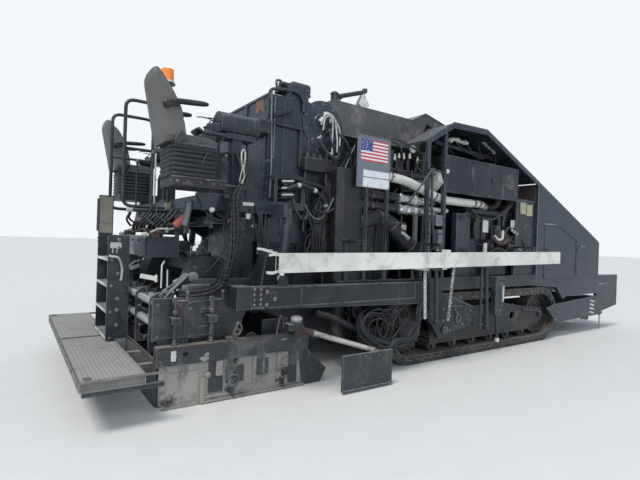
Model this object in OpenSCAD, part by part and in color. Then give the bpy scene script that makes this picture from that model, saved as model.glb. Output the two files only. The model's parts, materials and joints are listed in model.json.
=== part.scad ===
// Crawler spray paver: hopper in front, slat conveyors over the top, surge hopper and
// operator's deck behind, towed screed with sliding extensions. X runs forward, Y to the left.
// Lengths are millimetres. The origin is on the ground, under the middle of the machine.

/* [Machine] */
// Distance from the centre plane to the outer faces of the tracks and side plates
half_w = 1380; // [1340:10:1420]
// Distance from the origin to the rear edge of the walkways
rear_len = 5005; // [4995:1:5015]
// Distance from the origin to the front edge of the hopper skirts
front_len = 5005; // [4995:1:5015]
// Thickness of heavy plate
plate_t = 30; // [24:1:34]
// Thickness of sheet metal walls
sheet_t = 20; // [14:1:24]

/* [Tracks] */
// Width of a track shoe
shoe_w = 400; // [360:5:410]
// Height of a track over its shoes
track_h = 912; // [900:2:920]
// Distance from sprocket axle to idler axle
track_base = 3200; // [3160:10:3240]
// Number of shoes in a track
shoe_count = 53; // [45:1:56]
// Height of a shoe above the chain
shoe_t = 40; // [30:1:50]
// Height of the chain under the shoes
chain_t = 70; // [60:1:80]
// Number of lower rollers in each track frame
roller_count = 6; // [4:1:7]
// Radius of a lower roller
roller_r = 80; // [70:1:88]

/* [Frame] */
// Distance from the centre plane to the outer face of the frame side plates
frame_y = 730; // [700:5:750]
// Height of the underside of the frame
frame_low = 330; // [300:5:360]
// Height of the top of the frame
frame_top = 1000; // [990:1:1010]
// Height of the top of the fender beams over the tracks
fender_top = 1130; // [1110:5:1150]

/* [Hopper] */
// Height of the hopper's rear wall
hopper_high = 2710; // [2690:5:2730]
// Height of the side plates at their front end
hopper_low = 1740; // [1700:5:1780]
// Length of the tall side plates
hopper_len = 2284; // [2250:2:2300]
// Thickness of a hollow hopper side
side_t = 60; // [50:1:66]
// Height of the top of the hopper floor
floor_z = 740; // [736:1:750]
// Half width of the slat conveyor
belt_y = 600; // [580:5:620]
// Height of the push rollers
push_z = 510; // [490:5:530]
// Radius of a push roller
push_r = 95; // [85:1:100]
// Length of a push roller
push_len = 880; // [840:10:900]

/* [Conveyor] */
// Height of the upper conveyor's floor
belt_z = 2960; // [2950:1:2970]
// Height of the upper conveyor's side walls
belt_h = 420; // [400:5:440]
// Half width of the upper conveyor
upper_y = 900; // [880:5:920]
// Radius of the round end plates of the upper conveyor
head_r = 290; // [270:5:300]

/* [Surge hopper and deck] */
// Height of the surge hopper's rear wall
surge_top = 3230; // [3210:5:3260]
// Half width of the surge hopper
surge_y = 1000; // [960:10:1020]
// Height of the operator's deck
deck_z = 1990; // [1985:1:1996]
// Thickness of the deck plate
deck_t = 30; // [24:1:34]
// Distance from the centre plane to the deck's side edges
deck_y = 1200; // [1190:1:1204]
// Height of the landing at the head of the ladder
landing_z = 1580; // [1576:1:1590]
// Height of the handrail loops above the deck
rail_h = 1040; // [1000:10:1060]
// Radius of handrail tube
rail_r = 19; // [16:1:21]
// Distance from the centre plane to a ladder side
ladder_y = 340; // [320:5:360]
// Number of ladder steps
step_count = 4; // [3:1:4]

/* [Seats] */
// Distance from the centre plane to a seat's swivel axis
seat_y = 1180; // [1160:5:1190]
// Height of the top of the seat suspension above the deck
seat_h = 430; // [420:1:440]
// Width of a seat
seat_w = 500; // [480:5:520]
// Height of a seat's backrest
back_h = 670; // [640:5:690]
// Radius of the control console drum
drum_r = 120; // [110:5:130]

/* [Screed] */
// Half width of the main screed
screed_y = 1230; // [1222:1:1234]
// Height of the screed box
screed_h = 420; // [400:5:430]
// Length of the main screed, front to back
screed_d = 450; // [430:5:460]
// Length of an extension, front to back
ext_d = 280; // [270:1:284]
// Radius of a chromed guide tube
guide_r = 38; // [34:1:42]
// Length of travel of each extension
ext_travel = 900; // [800:10:950]
// Width of a tow arm
arm_w = 80; // [70:2:86]
// Height of a tow arm
arm_h = 226; // [216:2:232]
// Height of the tow pins
tow_z = 442; // [430:2:450]
// Radius of a tow pin
tow_r = 35; // [30:1:38]
// Height of the top of the walkways
walk_z = 450; // [445:1:455]
// Width of the walkways
walk_w = 490; // [480:2:494]
// Radius of an auger's flight
auger_r = 180; // [165:5:190]
// Length of one turn of an auger's flight
auger_pitch = 300; // [260:10:340]
// Radius of an auger's shaft
shaft_r = 48; // [40:1:52]

/* [Averaging beam] */
// Length of the averaging beam
ski_len = 5250; // [5150:10:5300]
// Height of the averaging beam's section
ski_h = 190; // [180:2:200]
// Width of the averaging beam's section
ski_w = 50; // [44:1:54]

/* [Hidden] */
$fn = 48;

// Clearances
seat_gap = 0.3;
move_gap = 6;
pin_gap = 0.08;

// Stations along X
sprocket_x = -1115;
idler_x = sprocket_x + track_base;
axle_z = track_h / 2;
track_y = half_w - shoe_w / 2;
chain_r = track_h / 2 - shoe_t;
loop_r = chain_r - chain_t;
hopper_rear = 1855;
hopper_front = hopper_rear + hopper_len;
top_slope = (hopper_high - hopper_low) / hopper_len;
surge_rear = -rear_len + 1870;
surge_front = surge_rear + 705;
duct_front = surge_front + 430;
frame_rear = surge_rear + 235;
head_x = surge_rear + 820;
head_z = belt_z + 40;
upper_front = -585;
belly_z = 1560;
deck_rear = surge_rear - 865;
beam_z = deck_z - 130;
landing_rear = deck_rear - 290;
landing_low = 1360;
ladder_x = [landing_rear - 330, landing_rear - 120];
pivot_x = deck_rear + 150;
seat_x = pivot_x - 230;
auger_x = surge_rear - 15;
auger_z = 330;
auger_in = 120;
auger_out = 1150;
screed_front = surge_rear - 465;
screed_rear = screed_front - screed_d;
ext_front = screed_rear - 6;
ext_rear = ext_front - ext_d;
screed_low = 60;
guide_x = ext_rear + 46;
guide_dx = 48;
guide_zs = [760, 960];
lug_r = guide_dx + guide_r + 10;
walk_front = -rear_len + walk_w;
arm_y = half_w + 20;
arm_rear = surge_rear - 365;
arm_z = 890;
tow_x = -598;
gate_y = 1280;
gate_t = half_w - gate_y;
lift_x = arm_rear + 350;
lift_y = arm_y + arm_w / 2;
lift_top = 1780;
lift_eye = [lift_x, arm_z + arm_h + 70];
lift_head = [lift_x + 45, lift_top];
push_x = front_len - push_r - 6;
push_front = front_len - 245;
ski_y = 1705;
ski_x0 = surge_rear - 220;
ski_z = 1270;
wing_y = 1800;
jib_at = [head_x + 215, -upper_y + 70];

SLATE = [0.20, 0.225, 0.25];
DARK = [0.11, 0.12, 0.13];
STEEL = [0.36, 0.34, 0.31];

// A block between two corners
module block(x, y, z) {
  translate([x[0], y[0], z[0]]) cube([x[1] - x[0], y[1] - y[0], z[1] - z[0]]);
}

// A plate whose outline is given in X and Z, between two values of Y
module side_plate(points, y) {
  translate([0, y[1], 0]) rotate([90, 0, 0]) linear_extrude(y[1] - y[0]) polygon(points);
}

// A body whose outline is given in Y and Z, between two values of X
module cross_plate(points, x) {
  translate([x[0], 0, 0]) rotate([90, 0, 90]) linear_extrude(x[1] - x[0]) polygon(points);
}

// A bar along Y
module cross_bar(x, y, z, r) {
  translate([x, y[1], z]) rotate([90, 0, 0]) cylinder(h = y[1] - y[0], r = r);
}

// A straight round bar from one point to another
module rod(a, b, r) {
  d = b - a;
  translate(a) rotate([0, acos(d[2] / norm(d)), atan2(d[1], d[0])]) cylinder(h = norm(d), r = r);
}

module both_sides() {
  children();
  mirror([0, 1, 0]) children();
}

// Puts what is drawn for the left side on the side named: 1 is left and -1 is right
module on_side(s) {
  if (s > 0) children();
  else mirror([0, 1, 0]) children();
}

function unit(v) = v / norm(v);
function arc(c, r, a0, a1, n) =
  [for (i = [0:n]) c + r * [cos(a0 + (a1 - a0) * i / n), sin(a0 + (a1 - a0) * i / n)]];

// Cuts each inner corner of a path by a round bend
function bend(p, r, n = 4) = [
  for (i = [0:len(p) - 1])
    if (i == 0 || i == len(p) - 1) p[i]
    else for (k = [0:n])
      let (a = unit(p[i - 1] - p[i]), b = unit(p[i + 1] - p[i]), t = k / n)
      p[i] + r * ((1 - t) * (1 - t) * a + t * t * b)
];

function tangents(p) = [
  for (i = [0:len(p) - 1])
    i == 0 ? unit(p[1] - p[0])
    : i == len(p) - 1 ? unit(p[i] - p[i - 1])
    : unit(unit(p[i] - p[i - 1]) + unit(p[i + 1] - p[i]))
];

// Normals carried along a path without twist
function normals(t) =
  let (start = abs(t[0][2]) > 0.9 ? [1, 0, 0] : [0, 0, 1])
  [for (i = 0, n = unit(start - t[0] * (start * t[0])); i < len(t);
    i = i + 1, n = i < len(t) ? unit(n - t[i] * (n * t[i])) : n) n];

// A tube of radius r that follows a path, as one closed body
module pipe(p, r, sides = 10) {
  t = tangents(p);
  n = normals(t);
  rings = [for (i = [0:len(p) - 1]) for (k = [0:sides - 1])
    p[i] + r * (cos(360 * k / sides) * n[i] + sin(360 * k / sides) * cross(t[i], n[i]))];
  walls = [for (i = [0:len(p) - 2]) for (k = [0:sides - 1])
    let (a = i * sides + k, b = i * sides + (k + 1) % sides) [a, a + sides, b + sides, b]];
  caps = [[for (k = [0:sides - 1]) k],
    [for (k = [0:sides - 1]) len(rings) - 1 - k]];
  polyhedron(rings, concat(walls, caps), convexity = 6);
}

// Point at distance s round the track loop, at radius r from the axles
function loop_point(s, r) =
  let (half_turn = PI * chain_r, a = s - track_base, b = a - half_turn, c = b - track_base)
  s < track_base ? [sprocket_x + s, axle_z - r]
  : a < half_turn ? [idler_x + r * sin(a / chain_r * 180 / PI), axle_z - r * cos(a / chain_r * 180 / PI)]
  : b < track_base ? [idler_x - b, axle_z + r]
  : [sprocket_x - r * sin(c / chain_r * 180 / PI), axle_z + r * cos(c / chain_r * 180 / PI)];

// A track: chain loop with its shoes in the outline
module track(side) {
  loop_len = 2 * track_base + 2 * PI * chain_r;
  pitch = loop_len / shoe_count;
  shoe_share = 0.86;
  outline = [for (i = [0:shoe_count - 1]) for (k = [[0, 0], [0, 1], [0.5, 1], [1, 1], [1, 0]])
    loop_point((i + k[0] * shoe_share) * pitch, chain_r + k[1] * shoe_t)];
  inner = concat(arc([idler_x, axle_z], loop_r, -90, 90, 40),
    arc([sprocket_x, axle_z], loop_r, 90, 270, 40));
  color("dimgray") on_side(side)
    translate([0, track_y + shoe_w / 2, 0]) rotate([90, 0, 0]) linear_extrude(shoe_w)
      difference() {
        polygon(outline);
        polygon(inner);
      }
}

// Track frames with their rollers, carried on tubes from the main frame
frame_half = 150;
module track_frame() {
  low = shoe_t + chain_t;
  span = track_base - 2 * loop_r - 120;
  first = sprocket_x + loop_r + 60;
  cheek = [
    [first, low + roller_r + 30], [first, 640], [first + 500, 700], [first + span - 700, 700],
    [first + span, 600], [idler_x + 60, 560], [idler_x + 60, axle_z - 100],
    [first + span, low + roller_r + 30]
  ];
  for (y = [track_y - frame_half, track_y + frame_half - plate_t])
    difference() {
      side_plate(cheek, [y, y + plate_t]);
      cross_bar(idler_x, [y - 1, y + plate_t + 1], axle_z, idler_pin_r + 0.3);
      for (x = [first + 420, first + span / 2, first + span - 420])
        cross_bar(x, [y - 1, y + plate_t + 1], 480, 70);
    }
  block([first, first + span], [track_y - frame_half + plate_t, track_y + frame_half - plate_t],
    [low + 2 * roller_r + 40, 380]);
  for (i = [0:roller_count - 1]) {
    x = first + 90 + i * (span - 180) / (roller_count - 1);
    cross_bar(x, [track_y - 110, track_y + 110], low + roller_r + seat_gap, roller_r);
    cross_bar(x, [track_y - frame_half, track_y + frame_half], low + roller_r + seat_gap, 32);
  }
  for (x = [first + 600, first + span - 650]) {
    cross_bar(x, [track_y - 100, track_y + 100], track_h - low - 60 - seat_gap, 60);
    block([x - 30, x + 30], [track_y - 60, track_y + 60], [370, track_h - low - 60]);
  }
  for (x = [-250, 1150])
    cross_bar(x, [frame_y, track_y - frame_half + 1], 480, 105);
}
module track_frames() {
  color("dimgray") both_sides() track_frame();
}

// Sprockets with their drives, and idlers
idler_pin_r = 55;
module track_wheels() {
  teeth = 21;
  color(DARK) both_sides() {
    translate([sprocket_x, track_y + 45, axle_z]) rotate([90, 0, 0]) linear_extrude(90)
      polygon([for (i = [0:teeth - 1]) for (k = [[-0.3, 0.9], [-0.14, 1], [0.14, 1], [0.3, 0.9]])
        (loop_r - 0.6) * k[1] * [cos((i + k[0]) * 360 / teeth), sin((i + k[0]) * 360 / teeth)]]);
    cross_bar(sprocket_x, [frame_y, track_y], axle_z, 190);
    cross_bar(sprocket_x, [track_y, track_y + 120], axle_z, 150);
    difference() {
      cross_bar(idler_x, [track_y - 90, track_y + 90], axle_z, loop_r - seat_gap);
      for (y = [track_y - 91, track_y + 61])
        difference() {
          cross_bar(idler_x, [y, y + 30], axle_z, loop_r - 60);
          cross_bar(idler_x, [y - 1, y + 31], axle_z, 120);
        }
    }
    cross_bar(idler_x, [track_y - frame_half - 20, track_y + frame_half + 20], axle_z, idler_pin_r);
  }
}

// Side plates, bulkheads, fender decks and fender beams
module main_frame() {
  plate = [
    [surge_rear, frame_top], [surge_rear, 720], [frame_rear, 720], [frame_rear, frame_low],
    [2200, frame_low], [2700, 500], [2700, 640], [hopper_rear, 640], [hopper_rear, frame_top]
  ];
  color(DARK) {
    both_sides() {
      side_plate(plate, [frame_y - plate_t, frame_y]);
      block([surge_front + 80, hopper_rear], [frame_y, half_w], [960, 980]);
      block([surge_front + 80, hopper_rear], [half_w - 50, half_w], [980, fender_top]);
      for (x = [surge_front + 80, -1600, -400])
        block([x, x + 60], [frame_y, half_w - 50], [980, 1050]);
    }
    for (x = [frame_rear, -1700, -200, 1300, hopper_rear - plate_t])
      block([x, x + plate_t], [-frame_y + plate_t, frame_y - plate_t], [frame_low + 40, 640]);
    block([frame_rear, 2200], [-frame_y + plate_t, frame_y - plate_t], [frame_low, frame_low + 20]);
    block([-1700, -200], [-frame_y + plate_t, frame_y - plate_t], [frame_top - 20, frame_top]);
  }
}

// Height of the line that the roof and the hopper sides share
function slope_z(x) = hopper_high - top_slope * (x - hopper_rear);

door_x = [2080, 3240];
door_z = [1060, 2010];
door_cut = 2560;
hinge_at = [door_x[1] + 12, half_w + 12];
hinge_z = [1130, 1560];
function door_outline(g) = [
  [door_x[0] - g, door_z[0] - g], [door_x[1] + g, door_z[0] - g], [door_x[1] + g, 1750 + g],
  [door_cut + g, door_z[1] + g], [door_x[0] - g, door_z[1] + g]
];

// Sides of the truck hopper, with their door openings, sloping inner walls and front skirts
module hopper_sides() {
  side = concat([
    [hopper_rear, hopper_high], [hopper_front, hopper_low], [hopper_front, 1100],
    [front_len, 1085], [front_len, 470], [hopper_front + 100, 360], [hopper_front - 24, 360],
    [hopper_front - 24, 733]],
    arc([2985, 400], 337, 90, 125, 6), [[2541, 905], [hopper_rear, 957]]);
  wall = [
    [half_w - side_t, slope_z(hopper_front)], [half_w - side_t, slope_z(hopper_front) - 60],
    [belt_y + 40, floor_z - 30], [belt_y + 25, floor_z - 30], [belt_y + 25, floor_z + 30],
    [half_w - side_t - 60, slope_z(hopper_front)]
  ];
  color(SLATE) both_sides() {
    difference() {
      side_plate(side, [half_w - side_t, half_w]);
      side_plate(door_outline(8), [half_w - side_t - 1, half_w + 1]);
    }
    cross_plate(wall, [hopper_rear + side_t, hopper_front]);
    for (z = hinge_z) {
      block([hinge_at[0], hinge_at[0] + 50], [half_w - 1, half_w + 12], [z, z + 59.7]);
      translate([hinge_at[0], hinge_at[1], z]) cylinder(h = 59.7, r = 12);
      translate([hinge_at[0], hinge_at[1], z]) cylinder(h = 130, r = 6 - pin_gap);
    }
  }
}

// Floor of the truck hopper between its walls, with the rear wall that the conveyor leaves by
module hopper_floor() {
  color(SLATE) {
    block([1700, front_len - 250], [-belt_y - 25, belt_y + 25], [floor_z - 40, floor_z]);
    difference() {
      block([hopper_rear, hopper_rear + side_t], [-half_w + side_t, half_w - side_t],
        [957, hopper_high - 40]);
      block([hopper_rear - 1, hopper_rear + side_t + 1], [-belt_y, belt_y], [900, 1500]);
    }
    both_sides() block([hopper_rear, hopper_rear + side_t], [belt_y, belt_y + 25], [floor_z, 957]);
  }
}

// Lower arms, cross beam and roller brackets that a truck's wheels are pushed with
module push_beam() {
  arm = [[2600, 400], [2600, 600], [3200, 640], [push_front, 620], [push_front, 420], [3000, 330]];
  color(SLATE) {
    both_sides() {
      side_plate(arm, [frame_y + 120, frame_y + 220]);
      block([2600, 2700], [frame_y, frame_y + 120], [420, 600]);
      for (y = [90, 150 + push_len + 30])
        side_plate([[push_front - 60, 420], [push_front - 60, 620], [push_x + 40, push_z + 50],
          [push_x + 40, push_z - 50]], [y, y + 20]);
      cross_bar(push_x, [110, 150 + 20], push_z, 30 - pin_gap);
      cross_bar(push_x, [150 + push_len - 20, 150 + push_len + 30], push_z, 30 - pin_gap);
    }
    block([push_front - 160, push_front - 60], [-half_w + side_t, half_w - side_t], [420, 620]);
  }
}

// A push roller, bored at both ends for its stub pins
module push_roller(side) {
  color("dimgray") on_side(side) difference() {
    cross_bar(push_x, [150, 150 + push_len], push_z, push_r);
    cross_bar(push_x, [149, 150 + 25], push_z, 30);
    cross_bar(push_x, [150 + push_len - 25, 151 + push_len], push_z, 30);
  }
}

// The engine as one plain block on the fender deck
module engine_block() {
  color(DARK) block([150, 1500], [-half_w + 160, -belt_y - 60], [frame_top, 2150]);
}

// Fan ring, filter canisters, pump and manifold on the engine's right side
module engine_fittings() {
  y = -half_w + 160;
  fan = [1313, 1965];
  color(DARK) {
    side_plate(concat(arc(fan, 345, 0, 180, 20), [fan + [-345, -135], fan + [-285, -135]],
      arc(fan, 285, 180, 0, 20), [fan + [285, -135], fan + [345, -135]]), [y - 70, y]);
    cross_bar(fan[0] - 25, [y - 75, y], 1640, 140);
    cross_bar(fan[0] - 25, [y - 100, y - 75], 1640, 60);
    for (x = [290, 440]) translate([x, y - 64, 1700]) cylinder(h = 261, r = 60);
    block([220, 510], [y - 120, y], [1960, 2020]);
    cross_bar(800, [y - 105, y], 1830, 95);
    block([870, 930], [y - 60, y], [1480, 2060]);
    rod([180, y - 42, 2100], [960, y - 42, 2100], 40);
    for (x = [240, 560, 880]) block([x, x + 40], [y - 42, y], [2075, 2125]);
    block([520, 1080], [y - 80, y], [1150, 1440]);
    cross_bar(640, [y - 90, y], 1600, 85);
  }
}

// Air cleaner housing on its stand
module air_cleaner() {
  face = [[-665, 2519], [-500, 2656], [-57, 2738], [70, 2550], [-132, 2407], [-560, 2380]];
  inset = [for (p = face) p + 0.1 * ([-300, 2545] - p)];
  color("lightgray") {
    side_plate(face, [-880, -650]);
    side_plate(inset, [-892, -879]);
    block([-200, -150], [-800, -750], [980, 2420]);
    block([-500, -450], [-800, -750], [980, 2420]);
  }
}

// Heated tank: a tall box on the left and a lower box under the conveyor
module tank_box(x, y, z, r) {
  function box_outline(g) = let (q = r - g) concat(
    arc([y[1] - r, z[1] - r], q, 0, 90, 6), arc([y[0] + r, z[1] - r], q, 90, 180, 6),
    arc([y[0] + r, z[0] + r], q, 180, 270, 6), arc([y[1] - r, z[0] + r], q, 270, 360, 6));
  difference() {
    cross_plate(box_outline(0), x);
    cross_plate(box_outline(sheet_t), [x[0] + sheet_t, x[1] - sheet_t]);
  }
}
module emulsion_tank() {
  color("dimgray") {
    tank_box([surge_front + 230, 1500], [belt_y + 40, half_w - 60], [1060, 2620], 90);
    tank_box([surge_front + 230, -800], [-belt_y + 40, frame_y - plate_t - 10], [frame_top, 2000], 90);
    for (x = [surge_front + 530, 400])
      block([x, x + 120], [frame_y + 20, half_w - 60], [980, 1150]);
    block([surge_front + 530, surge_front + 650], [belt_y, belt_y + 60], [1200, 1400]);
  }
}

hood_x = [-935, -390, 380];
hood_z = [2990, 3310];
hood_t = 25;

// Sloping roof over the engine bay, with its posts
module engine_hood() {
  top = [[hood_x[0], hood_z[0]], [hood_x[1], hood_z[1]], [hood_x[2], slope_z(hood_x[2])],
    [hopper_rear, slope_z(hopper_rear)]];
  under = [[hopper_rear, slope_z(hopper_rear) - hood_t], [hood_x[2], slope_z(hood_x[2]) - hood_t],
    [hood_x[1], hood_z[1] - hood_t], [hood_x[0], hood_z[0] - hood_t]];
  rim = [[hopper_rear, slope_z(hopper_rear) - 70], [hood_x[2], slope_z(hood_x[2]) - 70],
    [hood_x[1], hood_z[1] - 70], [hood_x[0], hood_z[0] - 70]];
  color(SLATE) {
    difference() {
      side_plate(concat(top, under), [-half_w, half_w]);
      block([hood_x[0] - 100, upper_front + 160], [-upper_y - 20, upper_y + 20], [2900, 3500]);
    }
    both_sides() {
      side_plate(concat(top, rim), [half_w - 12, half_w]);
      for (x = [hood_x[0] + 20, hood_x[0] + 360])
        block([x, x + 50], [half_w - 50, half_w], [fender_top, 2970 + (x - hood_x[0] - 20) * 0.5]);
    }
  }
}

// Lower slat conveyor: a trough that climbs from the hopper floor to the upper conveyor
module conveyor() {
  foot = [1700, floor_z];
  head = [-480, 3080];
  dir = unit(head - foot);
  up = [dir[1], -dir[0]];
  h = 300;
  wall = [foot, head, head + h * up, foot + h * up];
  floor = [foot, head, head + 25 * up, foot + 25 * up];
  color(DARK) {
    both_sides() {
      side_plate(wall, [belt_y - 20, belt_y]);
      block([900, 960], [belt_y, belt_y + 39], [640, 1700]);
      block([900, 960], [belt_y + 39, frame_y - plate_t], [900, frame_top]);
    }
    side_plate(floor, [-belt_y + 20, belt_y - 20]);
    for (k = [0.1:0.1:0.9])
      let (c = foot + k * (head - foot) + 25 * up)
      side_plate([c, c + 25 * dir, c + 25 * dir + 40 * up, c + 40 * up], [-belt_y + 20, belt_y - 20]);
  }
}

// Upper conveyor's trough with round rear ends, its lid and its posts
module conveyor_cover() {
  top = belt_z + belt_h;
  wall = concat([[upper_front, belt_z], [upper_front + 140, top], [head_x + 150, top]],
    arc([head_x, head_z], head_r, 105, 265, 12), [[head_x + 200, belt_z - 60], [head_x + 330, belt_z]]);
  post_x = [-1500, -1420];
  color("dimgray") {
    both_sides() difference() {
      side_plate(wall, [upper_y - sheet_t, upper_y]);
      cross_bar(head_x, [upper_y - sheet_t - 1, upper_y + 1], head_z, 90);
    }
    block([head_x + 150, upper_front], [-upper_y + sheet_t, upper_y - sheet_t], [belt_z, belt_z + 20]);
    block([head_x + 150, upper_front + 140], [-upper_y + sheet_t, upper_y - sheet_t], [top - 15, top]);
    block(post_x, [-upper_y, -upper_y + 60], [980, belt_z]);
    block(post_x, [upper_y - 60, upper_y], [2620, belt_z]);
    translate([jib_at[0], jib_at[1], top]) cylinder(h = 70, r = 25 - pin_gap);
    visor();
  }
}

// Raised hood over the front end of the upper conveyor
module visor() {
  top = belt_z + belt_h;
  back = [upper_front - 160, top];
  peak = [upper_front + 126, top + 153];
  nose = [upper_front + 561, top + 52];
  inner = [[back[0] + 30, top], peak - [0, 14], nose - [0, 14]];
  both_sides()
    side_plate([back, peak, nose, [upper_front + 295, top - 46], [upper_front + 139, top]],
      [upper_y - sheet_t, upper_y]);
  side_plate([back, peak, nose, inner[2], inner[1], inner[0]], [-upper_y + 1, upper_y - 1]);
}

// Head shaft of the upper conveyor, with its sprockets, end discs and drive motor
module conveyor_head() {
  color(SLATE) {
    cross_bar(head_x, [-upper_y, upper_y], head_z, 45);
    for (y = [-620, -200, 200, 620])
      cross_bar(head_x, [y - 20, y + 20], head_z, 130);
    both_sides() cross_bar(head_x, [upper_y, upper_y + 25], head_z, head_r);
    cross_bar(head_x, [-upper_y - 150, -upper_y], head_z, 85);
    block([head_x - 60, head_x + 60], [-upper_y - 210, -upper_y - 150], [head_z - 110, head_z + 80]);
  }
}

// Surge hopper: open walls that narrow to the auger chamber
module surge_hopper() {
    low_y = frame_y - plate_t;
  color(SLATE) {
    block([surge_rear, surge_rear + sheet_t], [-surge_y, surge_y], [belly_z, surge_top]);
    block([surge_rear, surge_rear + sheet_t], [-low_y, low_y], [frame_top - 250, belly_z]);
    both_sides() {
      side_plate([[surge_rear, belly_z], [surge_rear, surge_top],
        [surge_front - 90, surge_top], [surge_front, surge_top - 250], [surge_front, belly_z]],
        [surge_y - sheet_t, surge_y]);
      cross_plate([[surge_y, belly_z], [surge_y - 24, belly_z], [low_y - 24, frame_top + 100],
        [low_y - 24, frame_top - 250], [low_y, frame_top - 250], [low_y, frame_top + 100]],
        [surge_rear, surge_front]);
    }
    side_plate([[surge_front - sheet_t, belt_z - head_r - 10], [surge_front, belt_z - head_r - 10],
      [surge_front, 1300], [surge_front - 430, frame_top - 250], [surge_front - 450, frame_top - 250],
      [surge_front - sheet_t, 1290]], [-low_y + 24, low_y - 24]);
    both_sides()
      block([surge_front - sheet_t, surge_front], [low_y - 30, surge_y - 1],
        [belly_z, belt_z - head_r - 10]);
    block([surge_rear + 240, surge_rear + 530], [-surge_y, -surge_y + 130], [surge_top, surge_top + 170]);
  }
}

// Operator's deck with its edge beams, seat pivots, lift cylinder brackets and ladder landing
module operator_deck() {
  landing_y = [-600, 850];
  front = surge_rear - seat_gap;
  color(DARK) {
    block([deck_rear, front], [-deck_y, deck_y], [deck_z - deck_t, deck_z]);
    block([deck_rear, deck_rear + 40], [-deck_y, deck_y], [beam_z, deck_z - deck_t]);
    both_sides() {
      block([deck_rear, front], [deck_y - 40, deck_y], [beam_z, deck_z - deck_t]);
      side_plate([[front, deck_z - deck_t], [front, belly_z], [deck_rear + 150, deck_z - deck_t]],
        [850, 870]);
      translate([pivot_x, seat_y, beam_z])
        cylinder(h = deck_z - beam_z + 30, r1 = 95, r2 = 145);
      translate([pivot_x, seat_y, deck_z]) cylinder(h = 70, r = 50 - pin_gap);
      block([lift_head[0] - 60, front], [deck_y - 100, lift_y + 40], [lift_top + 45, deck_z - deck_t]);
      block([lift_head[0] - 60, lift_head[0] + 30], [deck_y, lift_y + 40], [lift_top + 45, beam_z + 40]);
      for (y = [lift_y - 40, lift_y + 21])
        block([lift_head[0] - 30, lift_head[0] + 30], [y, y + 19], [lift_top - 22, lift_top + 46]);
      cross_bar(lift_head[0], [lift_y - 40, lift_y + 40], lift_top, 20 - pin_gap);
    }
    block([landing_rear, deck_rear + 40], landing_y, [landing_z - 20, landing_z]);
    block([landing_rear, landing_rear + 20], landing_y, [landing_low, landing_z - 20]);
    for (y = [landing_y[0], landing_y[1] - 40]) {
      block([landing_rear, deck_rear + 40], [y, y + 20], [landing_low, landing_z - 20]);
      block([deck_rear, deck_rear + 40], [y, y + 40], [landing_z - 20, beam_z]);
    }
  }
}

// Ladder on the back of the screed, with the plate that guards its left side
module ladder() {
  low = walk_z + 25;
  rise = (landing_z - low) / step_count;
  y = ladder_y - 12;
  color(SLATE) {
    both_sides()
      side_plate([[ladder_x[0], low], [ladder_x[1] + 10, low], [ladder_x[1], landing_z],
        [ladder_x[0], landing_z]], [y, ladder_y]);
    for (i = [0:step_count - 1])
      block([ladder_x[0] + 3, ladder_x[1] - 18], [-y, y], [low + i * rise, low + i * rise + 22]);
    block([ladder_x[0], ladder_x[0] + 155], [y, ladder_y], [landing_z, landing_z + 460]);
    for (z = [520, 880]) {
      block([ladder_x[1] - 15, ladder_x[1]], [-y, y], [z - 20, z + 80]);
      both_sides() block([ladder_x[1], guide_x - lug_r - seat_gap], [40, 90], [z, z + 60]);
    }
  }
}

// Guard loops on both sides of the landing, carried by the deck's rear beam
module handrails() {
  x0 = deck_rear - 500;
  x1 = deck_rear - 30;
  z = [deck_z - 95, deck_z + 0.5 * rail_h, deck_z + rail_h];
  color("dimgray") both_sides() {
    y = ladder_y + 30;
    pipe(bend([[deck_rear - seat_gap, y, z[0]], [x0, y, z[0]], [x0, y, z[2]], [x1, y, z[2]],
      [x1, y, z[0] + rail_r - 2]], 90), rail_r);
    rod([x0 + rail_r - 2, y, z[1]], [x1 - rail_r + 2, y, z[1]], 15);
    rod([x0 + 295, y, z[0] + rail_r - 2], [x0 + 295, y, z[1] - 13], 12);
  }
}

// Locker between the roof posts and the hopper's rear wall
module side_locker() {
  post = hood_x[0] + 20 + 340 + 50;
  x = [post + seat_gap, 1250];
  z = [2330, 2850];
  color(DARK) {
    difference() {
      block(x, [-half_w + 15, -half_w + 480], z);
      for (k = [0.27, 0.55, 0.8])
        block([x[0] + k * (x[1] - x[0]), x[0] + k * (x[1] - x[0]) + 8], [-half_w + 10, -half_w + 21], [z[0] + 20,
          z[1] - 20]);
    }
    block([x[1] - 60, hopper_rear], [-half_w + 200, -half_w + 260], [z[0] - 50, z[0]]);
  }
}

// Tall box duct beside the surge hopper
module side_duct() {
  x0 = surge_front + 89;
  w = duct_front - x0;
  y = -half_w + 55;
  plan = [[x0, y + 60], [x0 + 60, y], [x0 + w, y], [x0 + w, y + 220], [x0, y + 220]];
  color([0.2, 0.17, 0.15]) translate([0, 0, 1050]) linear_extrude(1410) polygon(plan);
}

// Sheet that carries the flag and the sign, on two posts
module sign_panel() {
  color([0.4, 0.44, 0.5]) {
    block([-2140, -1610], [-half_w, -half_w + 10], [2250, 2870]);
    for (x = [-1985, -1650])
      block([x, x + 40], [-half_w + 10, -half_w + 40], [fender_top, 2870]);
  }
}

// Two feed pipes along the right side
module feed_pipes() {
  color(DARK) {
    for (z = [2060, 2200]) {
      rod([duct_front + 10, -1130, z], [-1240, -1130, z], 58);
      rod([-1241, -1130, z], [-480, -1130, z - 20], 44);
    }
    for (x = [duct_front + 250, -700]) block([x, x + 20], [-1112, -1082], [980, 2200]);
  }
}

// Pale hose that sags to the engine
module white_hose() {
  y = -half_w + 100.3;
  start = duct_front + 340;
  color("lightgray")
    pipe(bend([[start, y, 2446], [0.6 * start - 200, y + 10, 2420], [-500, y + 16, 2230], [100, y + 16, 2225],
      [450, y + 60, 2240], [690, y + 140, 2210.3]], 160), 60, 12);
}

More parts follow.
